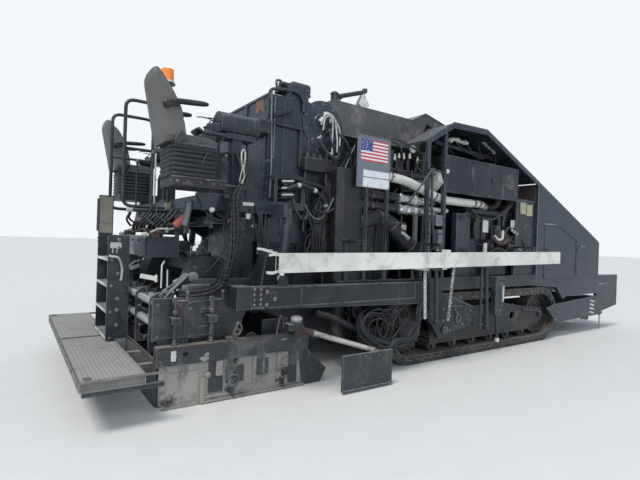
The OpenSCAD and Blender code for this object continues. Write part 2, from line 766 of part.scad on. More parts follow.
// Ribbed air duct
module ribbed_duct() {
  color(DARK) pipe(bend([[duct_front + 0.3, -1215, 1840], [duct_front + 100, -1215, 1840], [duct_front + 440, -1215, 1930],
    [-900, -1215, 1450], [-800, -1215, 1200], [-800, -1215, 980.3]], 90), 95, 12);
}

// Gear case and hangers of the augers
module auger_drive() {
  color(SLATE) {
    block([auger_x - 130, surge_rear + 200], [-auger_in + 12, auger_in - 12], [auger_z - 160,
      frame_top - 250]);
    both_sides() {
      cross_bar(auger_x, [auger_in - 12, auger_in + 30], auger_z, 30 - pin_gap);
      side_plate([[auger_x - 60, auger_z - 60], [auger_x + 60, auger_z - 60], [frame_rear, 500],
        [frame_rear, 719], [auger_x - 60, 719]], [auger_out + 6, auger_out + 26]);
      cross_bar(auger_x, [auger_out - 40, auger_out + 6], auger_z, 30 - pin_gap);
      block([frame_rear - 60, frame_rear], [frame_y - plate_t, auger_out + 6], [640, 719]);
    }
  }
}

// An auger: shaft and helical flight, bored at both ends for its stubs
module auger(side) {
  len = auger_out - auger_in;
  turns = len / auger_pitch;
  color("dimgray") on_side(side) translate([auger_x, auger_in, auger_z]) rotate([-90, 0, 0])
    difference() {
      union() {
        cylinder(h = len, r = shaft_r, $fn = 24);
        translate([0, 0, 20]) linear_extrude(len - 40, twist = 360 * turns, slices = 26)
          translate([0, -14]) square([auger_r, 28]);
      }
      translate([0, 0, -1]) cylinder(h = 46, r = 30);
      translate([0, 0, len - 45]) cylinder(h = 46, r = 30);
    }
}

// Spray bar across the machine, with its nozzles
module spray_bar() {
  x = frame_rear + 140;
  color("silver") {
    cross_bar(x, [-1150, 1150], 260, 35);
    for (i = [-7:7]) translate([x, i * 150, 180]) cylinder(h = 80, r = 14);
    both_sides() block([x - 30, x + 30], [500, 520], [280, frame_low]);
  }
}

// Warning beacon on its pole
module beacon() {
  mast = 1420;
  color("darkorange") translate([deck_rear + 30, 30, deck_z]) {
    cylinder(h = mast, r = 14);
    translate([0, 0, mast]) cylinder(h = 12, r = 95);
    translate([0, 0, mast + 12]) cylinder(h = 30, r = 80);
    translate([0, 0, mast + 42]) cylinder(h = 135, r1 = 76, r2 = 70);
  }
}

// Long alloy beam in two lengths, joined by a sleeve
module averaging_beam() {
  joint = ski_x0 + 2420;
  tilt = 0.85;
  color("lightgray") translate([ski_x0, -ski_y - ski_w, ski_z]) rotate([0, -tilt, 0]) {
    difference() {
      cube([ski_len, ski_w, ski_h]);
      translate([-1, 6, 6]) cube([ski_len + 2, ski_w - 12, ski_h - 12]);
    }
    translate([2420, ski_w, -30]) cube([80, 20, ski_h + 60]);
  }
}

// Brackets that carry the averaging beam
module beam_posts() {
  z = 1570;
  color(DARK) for (x = [surge_front + 160, -1010, 1180]) {
    block([x, x + 40], [-half_w, -half_w + 40], [fender_top, z + 40]);
    block([x, x + 40], [-ski_y + 15, -half_w], [z, z + 40]);
    block([x, x + 40], [-ski_y + seat_gap, -ski_y + 15], [ski_z + 60, z + 40]);
  }
}

// Plates outside the tracks that carry the tow pins and their height cylinders
module tow_brackets() {
  y = half_w + 3;
  color(SLATE) both_sides() {
    side_plate([[-700, 360], [-420, 360], [150, 430], [150, 700], [-300, 880], [-700, 880]], [y, y + 10]);
    for (x = [-620, 20]) cross_bar(x, [track_y + frame_half, y], 560, 40);
    cross_bar(tow_x, [y + 10, arm_y + arm_w + 12], tow_z, tow_r);
    block([600, 790], [half_w, y + 90], [1090, fender_top]);
    block([600, 695], [y + 4, y + 70], [560, 1090.5]);
    translate([745, y + 45, 560]) cylinder(h = 530.5, r = 36);
    block([620, 781], [y + 12, y + 72], [540, 561]);
    rod([675, y + 42, 541], [715, y + 42, 175], 22);
    rod([714.9, y + 42, 176], [720, y + 42, 130], 32);
  }
}

// Basket for hoses beside the surge hopper
module hose_rack() {
  x = [surge_rear + 5, surge_rear + 375];
  y = [-deck_y, -surge_y];
  z = [1925, 2270];
  color(DARK) {
    for (h = [[z[0], 75], [z[1], 30]])
      difference() {
        block(x, y, [h[0], h[0] + h[1]]);
        block([x[0] + 20, x[1] - 20], [y[0] + 20, y[1] - 20], [h[0] - 1, h[0] + h[1] + 1]);
      }
    for (cx = [x[0], x[1] - 30])
      block([cx, cx + 30], [y[0], y[0] + 20], [z[0] + 75, z[1]]);
  }
}

// Tow arms: long box arms that drop to the tow pins
module tow_arms() {
  arm = [
    [arm_rear, arm_z], [arm_rear, arm_z + arm_h], [-780, arm_z + arm_h - 20], [-420, 720],
    [-420, 360], [-700, 340], [-1100, 820]
  ];
  color(SLATE) both_sides() {
    difference() {
      side_plate(arm, [arm_y, arm_y + arm_w]);
      cross_bar(tow_x, [arm_y - 1, arm_y + arm_w + 1], tow_z, tow_r + pin_gap);
    }
    for (y = [arm_y, arm_y + arm_w - 10])
      side_plate([[lift_x - 70, arm_z + arm_h - 20], [lift_x + 70, arm_z + arm_h - 20],
        [lift_x + 40, lift_eye[1] + 34], [lift_x - 40, lift_eye[1] + 34]], [y, y + 10]);
  }
}

// Main screed: box, sole plate, bulkheads for the guide tubes, housings and tow arm brackets
module screed_main() {
  top = screed_low + screed_h;
  bulkhead = concat([[guide_x - lug_r, top + 15]], arc([guide_x, guide_zs[1]], lug_r, 180, 0, 14),
    [[guide_x + lug_r, 860], [screed_front - 60, 640], [screed_front - 60, top], [screed_rear, top],
    [screed_rear, top + 15]]);
  housing = [[screed_rear, top], [screed_rear, top + 160], [screed_rear + 70, top + 220],
    [screed_rear + 70, 1120], [screed_rear + 170, 1390], [screed_rear + 390, 1390], [screed_front - 40, 620], [screed_front, 560], [screed_front, top]];
  lever = concat(arc([guide_x + 50, 1045], 26, 118, 298, 6),
    arc([screed_rear + 85, 1190], 40, -62, 118, 8));
  color("dimgray") {
    difference() {
      block([screed_rear, screed_front], [-screed_y, screed_y], [screed_low, top]);
      block([screed_rear + 25, screed_front - 25], [-screed_y + 25, screed_y - 25],
        [screed_low + 25, top + 1]);
    }
    block([screed_rear, screed_front + 40], [-screed_y, screed_y], [0, screed_low]);
    both_sides() {
      for (y = [40, 580, 1120]) difference() {
        side_plate(bulkhead, [y, y + 50]);
        for (z = guide_zs) for (k = [-1, 1])
          cross_bar(guide_x + k * guide_dx, [y - 1, y + 51], z, guide_r + seat_gap);
        cross_bar(guide_x, [y - 1, y + 51], (guide_zs[0] + guide_zs[1]) / 2, 50);
        cross_bar(guide_x, [y - 1, y + 51], guide_zs[0] - 150, 60);
      }
      side_plate(housing, [690, 1070]);
      side_plate(lever, [1070, 1112]);
      side_plate([[screed_rear + 60, top], [screed_rear + 60, 1180], [arm_rear + 100, 1180],
        [arm_rear + 100, 900], [screed_front, top]], [screed_y - 40, screed_y - 10]);
      block([arm_rear - 160, arm_rear - 0.3], [screed_y - 10, arm_y + arm_w], [arm_z, arm_z + arm_h]);
    }
  }
}

// A sliding extension: box, sole plate, outer plate with gate brackets, and two guide tubes
gate_rod_x = [ext_rear + 136, ext_rear + 486];
module extension(side) {
  color("dimgray") on_side(side) {
    difference() {
      block([ext_rear, ext_front], [20, screed_y], [screed_low, screed_low + screed_h - 70]);
      block([ext_rear + 25, ext_front - 25], [45, screed_y - 25], [screed_low + 25, screed_low + screed_h]);
    }
    block([ext_rear, ext_front], [20, screed_y], [0, screed_low]);
    block([guide_x - lug_r, gate_rod_x[1] + 50], [screed_y, screed_y + 40], [620, 1010]);
    block([ext_rear, ext_front], [screed_y, screed_y + 40], [screed_low, 620]);
    for (x = gate_rod_x) difference() {
      block([x - 40, x + 40], [screed_y + 40, half_w], [780, 840]);
      translate([x, gate_y + gate_t / 2, 779]) cylinder(h = 62, r = 16 + seat_gap);
    }
    for (z = guide_zs)
      cross_bar(guide_x + side * guide_dx, [-1160, screed_y + 1], z, guide_r);
  }
}

// An end gate: beam, plate, rods with crank handles, and the wing that leads it
module end_gate(side) {
  x0 = ext_rear - 29;
  x1 = screed_front + 852;
  color("dimgray") on_side(side) {
    block([x0, x1], [gate_y, half_w], [405, 580]);
    side_plate([[x0 + 30, 60], [x0 + 30, 405], [x1, 405], [x1 + 280, 143], [x1 + 200, 0],
      [x0 + 120, 0]], [half_w - 60, half_w - 35]);
    for (x = gate_rod_x) translate([x, gate_y + gate_t / 2, 580]) {
      cylinder(h = 420, r = 16);
      translate([0, 0, 410]) rotate([0, 90, 0]) cylinder(h = 110, r = 9);
      translate([110, 0, 405]) cylinder(h = 70, r = 12);
    }
    block([x1 - 240, x1 - 180], [half_w - 50, half_w + 150], [580, 640]);
    rod([x1 - 212, half_w + 120, 660], [x1 + 628, wing_y - 20, 400], 27);
    block([x1 - 240, x1 - 180], [half_w + 90, half_w + 150], [600, 680]);
    block([x1 + 148, x1 + 848], [wing_y, wing_y + 30], [20, 400]);
    block([x1 + 568, x1 + 688], [wing_y - 40, wing_y], [360, 400]);
  }
}

// A walkway panel on its brackets
module walkway(side) {
  color("dimgray") on_side(side) {
    block([-rear_len, walk_front], [5, half_w + 250], [walk_z - 90, walk_z]);
    for (y = [600, 1100]) block([walk_front, ext_rear - 0.3], [y, y + 60], [walk_z - 90, walk_z - 55]);
  }
}

// Lift cylinder, hung from the deck
lift_dir = unit(lift_head - lift_eye);
lift_len = norm(lift_head - lift_eye);
lift_lean = atan2(lift_dir[0], lift_dir[1]);
module lift_line() {
  translate([lift_eye[0], lift_y, lift_eye[1]]) rotate([0, lift_lean, 0]) children();
}
module lift_barrel(side) {
  color(DARK) on_side(side) lift_line() {
    difference() {
      union() {
        translate([0, 0, 255]) cylinder(h = lift_len - 285, r = 50);
        translate([0, 20, lift_len]) rotate([90, 0, 0]) cylinder(h = 40, r = 42);
      }
      translate([0, 0, 254]) cylinder(h = lift_len - 314, r = 28);
      translate([0, 21, lift_len]) rotate([90, 0, 0]) cylinder(h = 42, r = 20);
    }
  }
}
module lift_rod(side) {
  color("silver") on_side(side) lift_line() {
    translate([0, 0, 10]) cylinder(h = 325, r = 28 - pin_gap);
    translate([0, 18, 0]) rotate([90, 0, 0]) cylinder(h = 36, r = 42);
  }
}

// Seat suspension on its swivel, set back from the pivot
pan_front = pivot_x + 75;
module seat_base(side) {
  fold = 43;
  color(DARK) on_side(side) translate([seat_x, seat_y, deck_z]) {
    difference() {
      union() {
        translate([pivot_x - seat_x, 0, 36]) cylinder(h = 24, r = 130);
        translate([-200, -210, 60]) cube([pan_front - seat_x + 200, 420, 90]);
      }
      translate([pivot_x - seat_x, 0, 35]) cylinder(h = 41, r = 50);
    }
    for (i = [0:5]) translate([-200 - 6 * (i % 2), -190 - 6 * (i % 2), 150 + i * fold])
      cube([400 + 12 * (i % 2), 380 + 12 * (i % 2), fold]);
    translate([-215, -210, 150 + 6 * fold]) cube([430, 420, seat_h - 150 - 6 * fold]);
  }
}

// Seat cushion and backrest
module seat_pad(side) {
  h = seat_w / 2;
  back = [[-h + 20, 0], [h - 20, 0], [h - 78, back_h], [-h + 78, back_h]];
  color("gray") on_side(side) translate([seat_x, seat_y, deck_z + seat_h]) {
    translate([-160, -h, 0]) cube([400, seat_w, 130]);
    translate([-130, 0, 50]) rotate([0, -12, 0]) cross_plate(back, [-150, 0]);
  }
}

// Control console in front of a seat: foot, slotted side plate, post and drum
module console(side) {
  foot_x = pan_front + seat_gap - pivot_x;
  drum_z = 745;
  cheek = [[80, 60], [330, 60], [330, 520], [100, 465], [80, 400]];
  color(DARK) on_side(side) translate([pivot_x, seat_y, deck_z]) {
    block([foot_x, 330], [-95, 60], [60, 130]);
    difference() {
      side_plate(cheek, [-120, -95]);
      block([150, 220], [-121, -94], [150, 400]);
      for (z = [150, 400]) cross_bar(185, [-121, -94], z, 35);
    }
    block([200, 300], [-60, 60], [130, 650]);
    block([110, 430], [-100, 100], [drum_z - drum_r - 30, drum_z - drum_r + 20]);
    translate([50, 0, drum_z]) rotate([0, 90, 0]) cylinder(h = 420, r = drum_r);
  }
}

// Lifting jib on the upper conveyor
module jib() {
  color(DARK) translate([jib_at[0], jib_at[1], belt_z + belt_h + 6]) {
    difference() {
      cylinder(h = 90, r = 50);
      translate([0, 0, -1]) cylinder(h = 71, r = 25);
    }
    rod([58, 0, 78], [500, 0, 230], 30);
    translate([30, 0, 75]) rotate([0, 90, 0]) cylinder(h = 50, r = 14);
  }
}

// Hinged door in a hopper side
module side_door(side) {
  color(SLATE) on_side(side) {
    side_plate(door_outline(0), [half_w - 25, half_w]);
    for (z = hinge_z) difference() {
      union() {
        block([hinge_at[0] - 50, hinge_at[0]], [half_w, half_w + 12], [z + 60, z + 120]);
        translate([hinge_at[0], hinge_at[1], z + 60]) cylinder(h = 60, r = 12);
      }
      translate([hinge_at[0], hinge_at[1], z + 59]) cylinder(h = 62, r = 6);
    }
  }
}

main_frame();
track(-1);  // track_right
track(1);  // track_left
track_frames();
track_wheels();
hopper_sides();
hopper_floor();
push_beam();
engine_block();
emulsion_tank();
engine_hood();
conveyor();
conveyor_cover();
conveyor_head();
surge_hopper();
operator_deck();
ladder();
handrails();
side_locker();
side_duct();
sign_panel();
feed_pipes();
white_hose();
ribbed_duct();
auger_drive();
spray_bar();
beacon();
averaging_beam();
beam_posts();
tow_brackets();
hose_rack();
air_cleaner();
engine_fittings();
push_roller(-1);  // push_roller_right
push_roller(1);  // push_roller_left
auger(-1);  // auger_right
auger(1);  // auger_left
tow_arms();
screed_main();
extension(-1);  // extension_right
extension(1);  // extension_left
end_gate(-1);  // end_gate_right
end_gate(1);  // end_gate_left
walkway(-1);  // walkway_right
walkway(1);  // walkway_left
lift_barrel(-1);  // lift_barrel_right
lift_barrel(1);  // lift_barrel_left
lift_rod(-1);  // lift_rod_right
lift_rod(1);  // lift_rod_left
seat_base(-1);  // seat_base_right
seat_base(1);  // seat_base_left
seat_pad(-1);  // seat_pad_right
seat_pad(1);  // seat_pad_left
console(-1);  // console_right
console(1);  // console_left
jib();
side_door(-1);  // side_door_right
side_door(1);  // side_door_left
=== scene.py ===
"""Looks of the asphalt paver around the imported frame. Metres; X forward, Y left, Z up."""
import json
import random
from math import copysign, cos, pi, radians, sin

import bmesh
import bpy
from mathutils import Matrix, Vector


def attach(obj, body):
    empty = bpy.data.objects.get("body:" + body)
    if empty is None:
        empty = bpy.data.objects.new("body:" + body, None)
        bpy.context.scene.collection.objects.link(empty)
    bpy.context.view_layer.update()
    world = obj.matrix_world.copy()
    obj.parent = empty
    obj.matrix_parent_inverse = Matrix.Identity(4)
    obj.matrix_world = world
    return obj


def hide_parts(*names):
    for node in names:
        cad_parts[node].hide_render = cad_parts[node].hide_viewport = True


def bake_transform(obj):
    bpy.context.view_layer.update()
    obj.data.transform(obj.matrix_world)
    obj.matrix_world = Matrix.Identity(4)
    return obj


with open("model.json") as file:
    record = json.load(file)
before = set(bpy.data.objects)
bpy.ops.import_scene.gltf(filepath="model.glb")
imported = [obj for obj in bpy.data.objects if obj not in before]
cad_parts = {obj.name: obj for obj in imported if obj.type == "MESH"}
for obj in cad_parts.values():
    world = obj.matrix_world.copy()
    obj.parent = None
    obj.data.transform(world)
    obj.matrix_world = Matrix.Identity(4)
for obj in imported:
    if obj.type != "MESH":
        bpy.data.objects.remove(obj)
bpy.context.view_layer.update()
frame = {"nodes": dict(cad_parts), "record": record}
scene = bpy.context.scene
V = Vector
TURN = 2 * pi
AHEAD, BACK = (1, 0, 0), (-1, 0, 0)
LEFT, RIGHT = (0, 1, 0), (0, -1, 0)
UP, DOWN = (0, 0, 1), (0, 0, -1)

# Camera: the photograph's viewpoint, read from its vanishing points
IMAGE_WIDTH = 640
FOCAL_PIXELS = 443
SENSOR = 36
EYE = (-5.465, -5.43, 1.6)
HEADING, ROLL = radians(55.06), radians(1.96)

cam_data = bpy.data.cameras.new("camera")
cam_data.lens = SENSOR * FOCAL_PIXELS / IMAGE_WIDTH
cam_data.sensor_width = SENSOR
cam_data.clip_start = 0.05
cam_data.clip_end = 400
camera = bpy.data.objects.new("camera", cam_data)
scene.collection.objects.link(camera)
scene.camera = camera
look = V((cos(HEADING), sin(HEADING), 0))
level = V((look.y, -look.x, 0))
right = level * cos(ROLL) + V((0, 0, sin(ROLL)))
top = V((0, 0, cos(ROLL))) - level * sin(ROLL)
camera.matrix_world = Matrix.Translation(EYE) @ Matrix((right, top, -look)).transposed().to_4x4()

# Sky light, with a pale backdrop where the camera looks past the machine
scene.view_settings.view_transform = "Standard"
world = bpy.data.worlds.new("studio")
scene.world = world
world.use_nodes = True
nodes, links = world.node_tree.nodes, world.node_tree.links
sky = nodes["Background"]
sky.inputs[0].default_value = (0.76, 0.88, 1.0, 1)
sky.inputs[1].default_value = 0.75
backdrop = nodes.new("ShaderNodeBackground")
backdrop.inputs[0].default_value = (0.9, 0.93, 0.96, 1)
rays = nodes.new("ShaderNodeLightPath")
seen = nodes.new("ShaderNodeMath")
seen.operation = "MAXIMUM"
either = nodes.new("ShaderNodeMixShader")
links.new(rays.outputs["Is Camera Ray"], seen.inputs[0])
links.new(rays.outputs["Is Transmission Ray"], seen.inputs[1])
links.new(seen.outputs[0], either.inputs[0])
links.new(sky.outputs[0], either.inputs[1])
links.new(backdrop.outputs[0], either.inputs[2])
links.new(either.outputs[0], nodes["World Output"].inputs[0])


def lamp(name, kind, place, aim, power, size, tint):
    """A lamp at place. Its size is an angle for a sun and a width for an area lamp."""
    data = bpy.data.lights.new(name, kind)
    data.energy, data.color = power, tint
    if kind == "AREA":
        data.size = size
    else:
        data.angle = size
    o = bpy.data.objects.new(name, data)
    scene.collection.objects.link(o)
    o.location = place
    o.rotation_euler = (V(aim) - V(place)).to_track_quat("-Z", "Y").to_euler()


lamp("key", "SUN", (-8, -3, 15), (0, 0, 0), 2.4, 0.35, (1.0, 0.98, 0.94))
lamp("fill", "AREA", (-7, -13, 6), (-1, 0, 1.2), 500, 9.0, (0.95, 0.97, 1.0))


# Materials
class Material:
    """A procedural material, put together from small steps."""

    def __init__(self, name, metal=0.0, rough=0.5):
        self.data = bpy.data.materials.new(name)
        self.data.use_nodes = True
        self.tree = self.data.node_tree
        self.shader = self.tree.nodes["Principled BSDF"]
        self.shader.inputs["Metallic"].default_value = metal
        self.shader.inputs["Roughness"].default_value = rough
        self.place = self.tree.nodes.new("ShaderNodeTexCoord").outputs["Object"]

    def put(self, node, key, value):
        if hasattr(value, "links"):
            self.tree.links.new(value, node.inputs[key])
        elif isinstance(value, tuple) and node.inputs[key].type == "RGBA":
            node.inputs[key].default_value = (*value, 1)
        else:
            node.inputs[key].default_value = value

    def node(self, kind, ins, **props):
        n = self.tree.nodes.new("ShaderNode" + kind)
        for k, v in props.items():
            setattr(n, k, v)
        for k, v in ins.items():
            self.put(n, k, v)
        return n

    def math(self, op, a, b=0.0):
        return self.node("Math", {0: a, 1: b}, operation=op).outputs[0]

    def times(self, a, b):
        return self.math("MULTIPLY", a, b)

    def plus(self, a, b):
        return self.math("ADD", a, b)

    def step(self, value, lo, hi, a=0.0, b=1.0):
        """Goes smoothly from a to b as value goes from lo to hi."""
        if hi < lo:
            lo, hi, a, b = hi, lo, b, a
        ins = {0: value, 1: lo, 2: hi, 3: a, 4: b}
        return self.node("MapRange", ins, interpolation_type="SMOOTHSTEP").outputs[0]

    def scaled(self, stretch):
        if not stretch:
            return self.place
        return self.node("Mapping", {"Vector": self.place, "Scale": stretch}).outputs[0]

    def noise(self, scale, detail=4.0, rough=0.6, stretch=None, distort=0.0):
        ins = {"Vector": self.scaled(stretch), "Scale": scale, "Detail": detail, "Roughness": rough,
               "Distortion": distort}
        return self.node("TexNoise", ins).outputs[0]

    def cells(self, scale, stretch=None):
        ins = {"Vector": self.scaled(stretch), "Scale": scale}
        return self.node("TexVoronoi", ins).outputs["Distance"]

    def mix(self, share, a, b):
        return self.node("Mix", {0: share, 6: a, 7: b}, data_type="RGBA").outputs[2]

    def facing_up(self):
        normal = self.node("NewGeometry", {}).outputs["Normal"]
        return self.node("SeparateXYZ", {0: normal}).outputs[2]

    def axis(self, i):
        return self.node("SeparateXYZ", {0: self.place}).outputs[i]

    def edges(self):
        """Near 1 along sharp edges, where paint wears off."""
        radius, gain = 0.012, 7.0
        soft = self.node("Bevel", {"Radius": radius}, samples=4).outputs[0]
        hard = self.node("NewGeometry", {}).outputs["Normal"]
        dot = self.node("VectorMath", {0: soft, 1: hard}, operation="DOT_PRODUCT").outputs["Value"]
        return self.times(self.math("SUBTRACT", 1.0, dot), gain)

    def bump(self, height, strength=0.3, distance=0.01):
        n = self.node("Bump", {"Strength": strength, "Distance": distance, "Height": height})
        self.tree.links.new(n.outputs[0], self.shader.inputs["Normal"])

    def out(self, color, rough):
        self.put(self.shader, "Base Color", color)
        self.put(self.shader, "Roughness", rough)
        return self.data


def tone(color, k):
    """The colour k times as light."""
    return tuple(min(1.0, x * k) for x in color)


DUST = (0.17, 0.163, 0.153)
RUST = (0.115, 0.045, 0.022)
# INK and SLATE: the machine's own dark blue-grey paint, set darker and bluer still as painted shade for its
# sky-lit shadow sides
INK = (0.014, 0.018, 0.025)
SLATE = (0.0185, 0.026, 0.038)
BROWN = (0.115, 0.097, 0.082)


def paint(name, col, dust=0.5, film=0.25, rough=0.36, rust=0.2, runs=0.12, wear=0.5, specks=0.25, dirt=DUST,
          bare=(0.17, 0.19, 0.21), metal=0.0, grain=(7.0, 7.0, 0.9)):
    """Worn machine paint: cloudy colour, a film of dust, dust lying on top, runs, rust and bare edges."""
    m = Material(name, metal, rough)
    cloud = m.noise(0.8, 6, 0.6)
    blot = m.noise(3.1, 8, 0.68, None, 0.8)
    fine = m.noise(19, 8, 0.75)
    c = m.mix(m.step(cloud, 0.34, 0.66), tone(col, 0.78), tone(col, 1.22))
    c = m.mix(m.times(m.step(blot, 0.46, 0.66), film), c, tone(dirt, 0.72))
    run = m.noise(1.0, 7, 0.7, grain, 0.3)
    run = m.times(m.step(run, 0.56, 0.7), m.step(blot, 0.4, 0.6))
    c = m.mix(m.times(run, runs), c, tone(dirt, 1.25))
    heap = m.plus(m.times(m.step(m.facing_up(), 0.2, 0.95), 0.42), fine)
    lying = m.times(m.step(heap, 0.62, 0.92), dust)
    c = m.mix(lying, c, dirt)
    spot = m.noise(5.5, 9, 0.78, None, 0.5)
    rusty = m.times(m.step(spot, 0.63, 0.7), rust)
    c = m.mix(rusty, c, RUST)
    if specks:
        c = m.mix(m.times(m.step(m.cells(60), 0.17, 0.11), specks), c, tone(dirt, 1.8))
    if wear:
        worn = m.times(m.edges(), m.step(blot, 0.38, 0.56))
        c = m.mix(m.math("MINIMUM", m.times(worn, wear), 0.8), c, bare)
    matt = m.plus(m.times(lying, 0.5), m.step(blot, 0.35, 0.65, rough - 0.08, rough + 0.14))
    m.bump(m.plus(fine, m.times(spot, 0.7)), 0.12, 0.01)
    return m.out(c, matt)


def rubber(name, col, dust=0.35, rib=0.0, axis=2, rough=0.55):
    """Dusty rubber, with rib waves to the metre along an axis where rib isn't 0."""
    m = Material(name, 0, rough)
    n = m.noise(14, 6, 0.7)
    c = m.mix(m.times(m.step(n, 0.46, 0.76), dust), col, tone(DUST, 0.8))
    c = m.mix(m.times(m.step(m.facing_up(), 0.3, 1.0), dust * 0.5), c, DUST)
    height = n
    if rib:
        height = m.plus(m.math("SINE", m.times(m.axis(axis), rib)), n)
    m.bump(height, 0.3, 0.004)
    return m.out(c, m.step(n, 0.3, 0.7, rough - 0.12, rough + 0.12))


def fabric(name, a, b):
    """Woven cloth, rubbed and dusty."""
    m = Material(name, 0, 0.85)
    threads = 900.0
    across = m.math("SINE", m.times(m.axis(1), threads))
    along = m.math("SINE", m.times(m.plus(m.axis(0), m.axis(2)), threads))
    weave = m.times(across, along)
    n = m.noise(5, 6, 0.65)
    c = m.mix(m.step(weave, -0.6, 0.8), a, b)
    c = m.mix(m.times(m.step(n, 0.44, 0.68), 0.5), c, tone(DUST, 0.55))
    m.bump(m.plus(m.times(weave, 0.4), n), 0.25, 0.004)
    m.shader.inputs["Sheen Weight"].default_value = 0.2
    return m.out(c, m.step(n, 0.3, 0.7, 0.76, 0.92))


def bright(name, a, b, lo=0.12, hi=0.45, scale=20.0, metal=1.0, bump=0.05):
    """Bright or foil metal, with dull dirty spots."""
    m = Material(name, metal, lo)
    n = m.noise(scale, 7, 0.75)
    m.bump(n, bump, 0.01)
    return m.out(m.mix(m.step(n, 0.46, 0.72), a, b), m.step(n, 0.4, 0.7, lo, hi))


BEACON_X, BEACON_Y = -3.97, 0.03
LENS_Z = 3.451
CAP_Z = 3.421


def amber():
    """The beacon: an amber lens with ribs, on a grey ring and a dark foot."""
    m = Material("amber_plastic", 0, 0.25)
    z = m.axis(2)
    angle = m.math("ARCTAN2", m.math("SUBTRACT", m.axis(1), BEACON_Y), m.plus(m.axis(0), -BEACON_X))
    n = m.noise(9, 4)
    lens = m.mix(n, (0.85, 0.17, 0.015), (0.98, 0.32, 0.03))
    c = m.mix(m.step(z, LENS_Z - 0.002, LENS_Z + 0.002), (0.55, 0.56, 0.57), lens)
    c = m.mix(m.step(z, CAP_Z - 0.002, CAP_Z + 0.002), (0.03, 0.032, 0.036), c)
    m.bump(m.math("SINE", m.times(angle, 30.0)), 0.25, 0.004)
    return m.out(c, m.step(n, 0.3, 0.7, 0.2, 0.38))


FLAG_X, FLAG_Z = -2.08, 2.565
FLAG_WIDTH, FLAG_HEIGHT = 0.43, 0.265


def sign():
    """Red and white stripes with a blue corner of small dots, and bare pale plates under them."""
    m = Material("sign_sheet", 0, 0.42)
    x, z, n = m.axis(0), m.axis(2), m.noise(11, 7, 0.72)

    def inside(share):
        return m.times(m.math("GREATER_THAN", share, 0.0), m.math("LESS_THAN", share, 1.0))

    u = m.math("DIVIDE", m.plus(x, -FLAG_X), FLAG_WIDTH)
    v = m.math("DIVIDE", m.math("SUBTRACT", z, FLAG_Z), FLAG_HEIGHT)
    bar = m.math("FLOORED_MODULO", m.times(v, 6.5), 1.0)
    stripes = m.mix(m.step(bar, 0.47, 0.53), (0.5, 0.035, 0.045), (0.66, 0.66, 0.68))
    dots = m.mix(m.step(m.cells(36, (1, 0.01, 1)), 0.22, 0.3), (0.45, 0.47, 0.55), (0.025, 0.05, 0.2))
    corner = m.times(m.math("LESS_THAN", u, 0.42), m.math("GREATER_THAN", v, 0.462))
    flag = m.mix(corner, stripes, dots)
    c = m.mix(m.times(inside(u), inside(v)), (0.13, 0.155, 0.19), flag)
    low = m.times(m.math("LESS_THAN", z, 2.46), m.math("GREATER_THAN", x, -2.04))
    c = m.mix(low, c, (0.62, 0.64, 0.66))
    gap = m.math("LESS_THAN", m.math("ABSOLUTE", m.math("SUBTRACT", z, 2.375)), 0.005)
    c = m.mix(m.times(low, gap), c, (0.05, 0.055, 0.06))
    c = m.mix(m.times(m.step(n, 0.5, 0.74), 0.4), c, (0.17, 0.16, 0.16))
    c = m.mix(m.math("GREATER_THAN", m.axis(1), -1.376), c, (0.04, 0.046, 0.054))
    m.bump(n, 0.12, 0.004)
    return m.out(c, m.step(n, 0.3, 0.7, 0.32, 0.55))


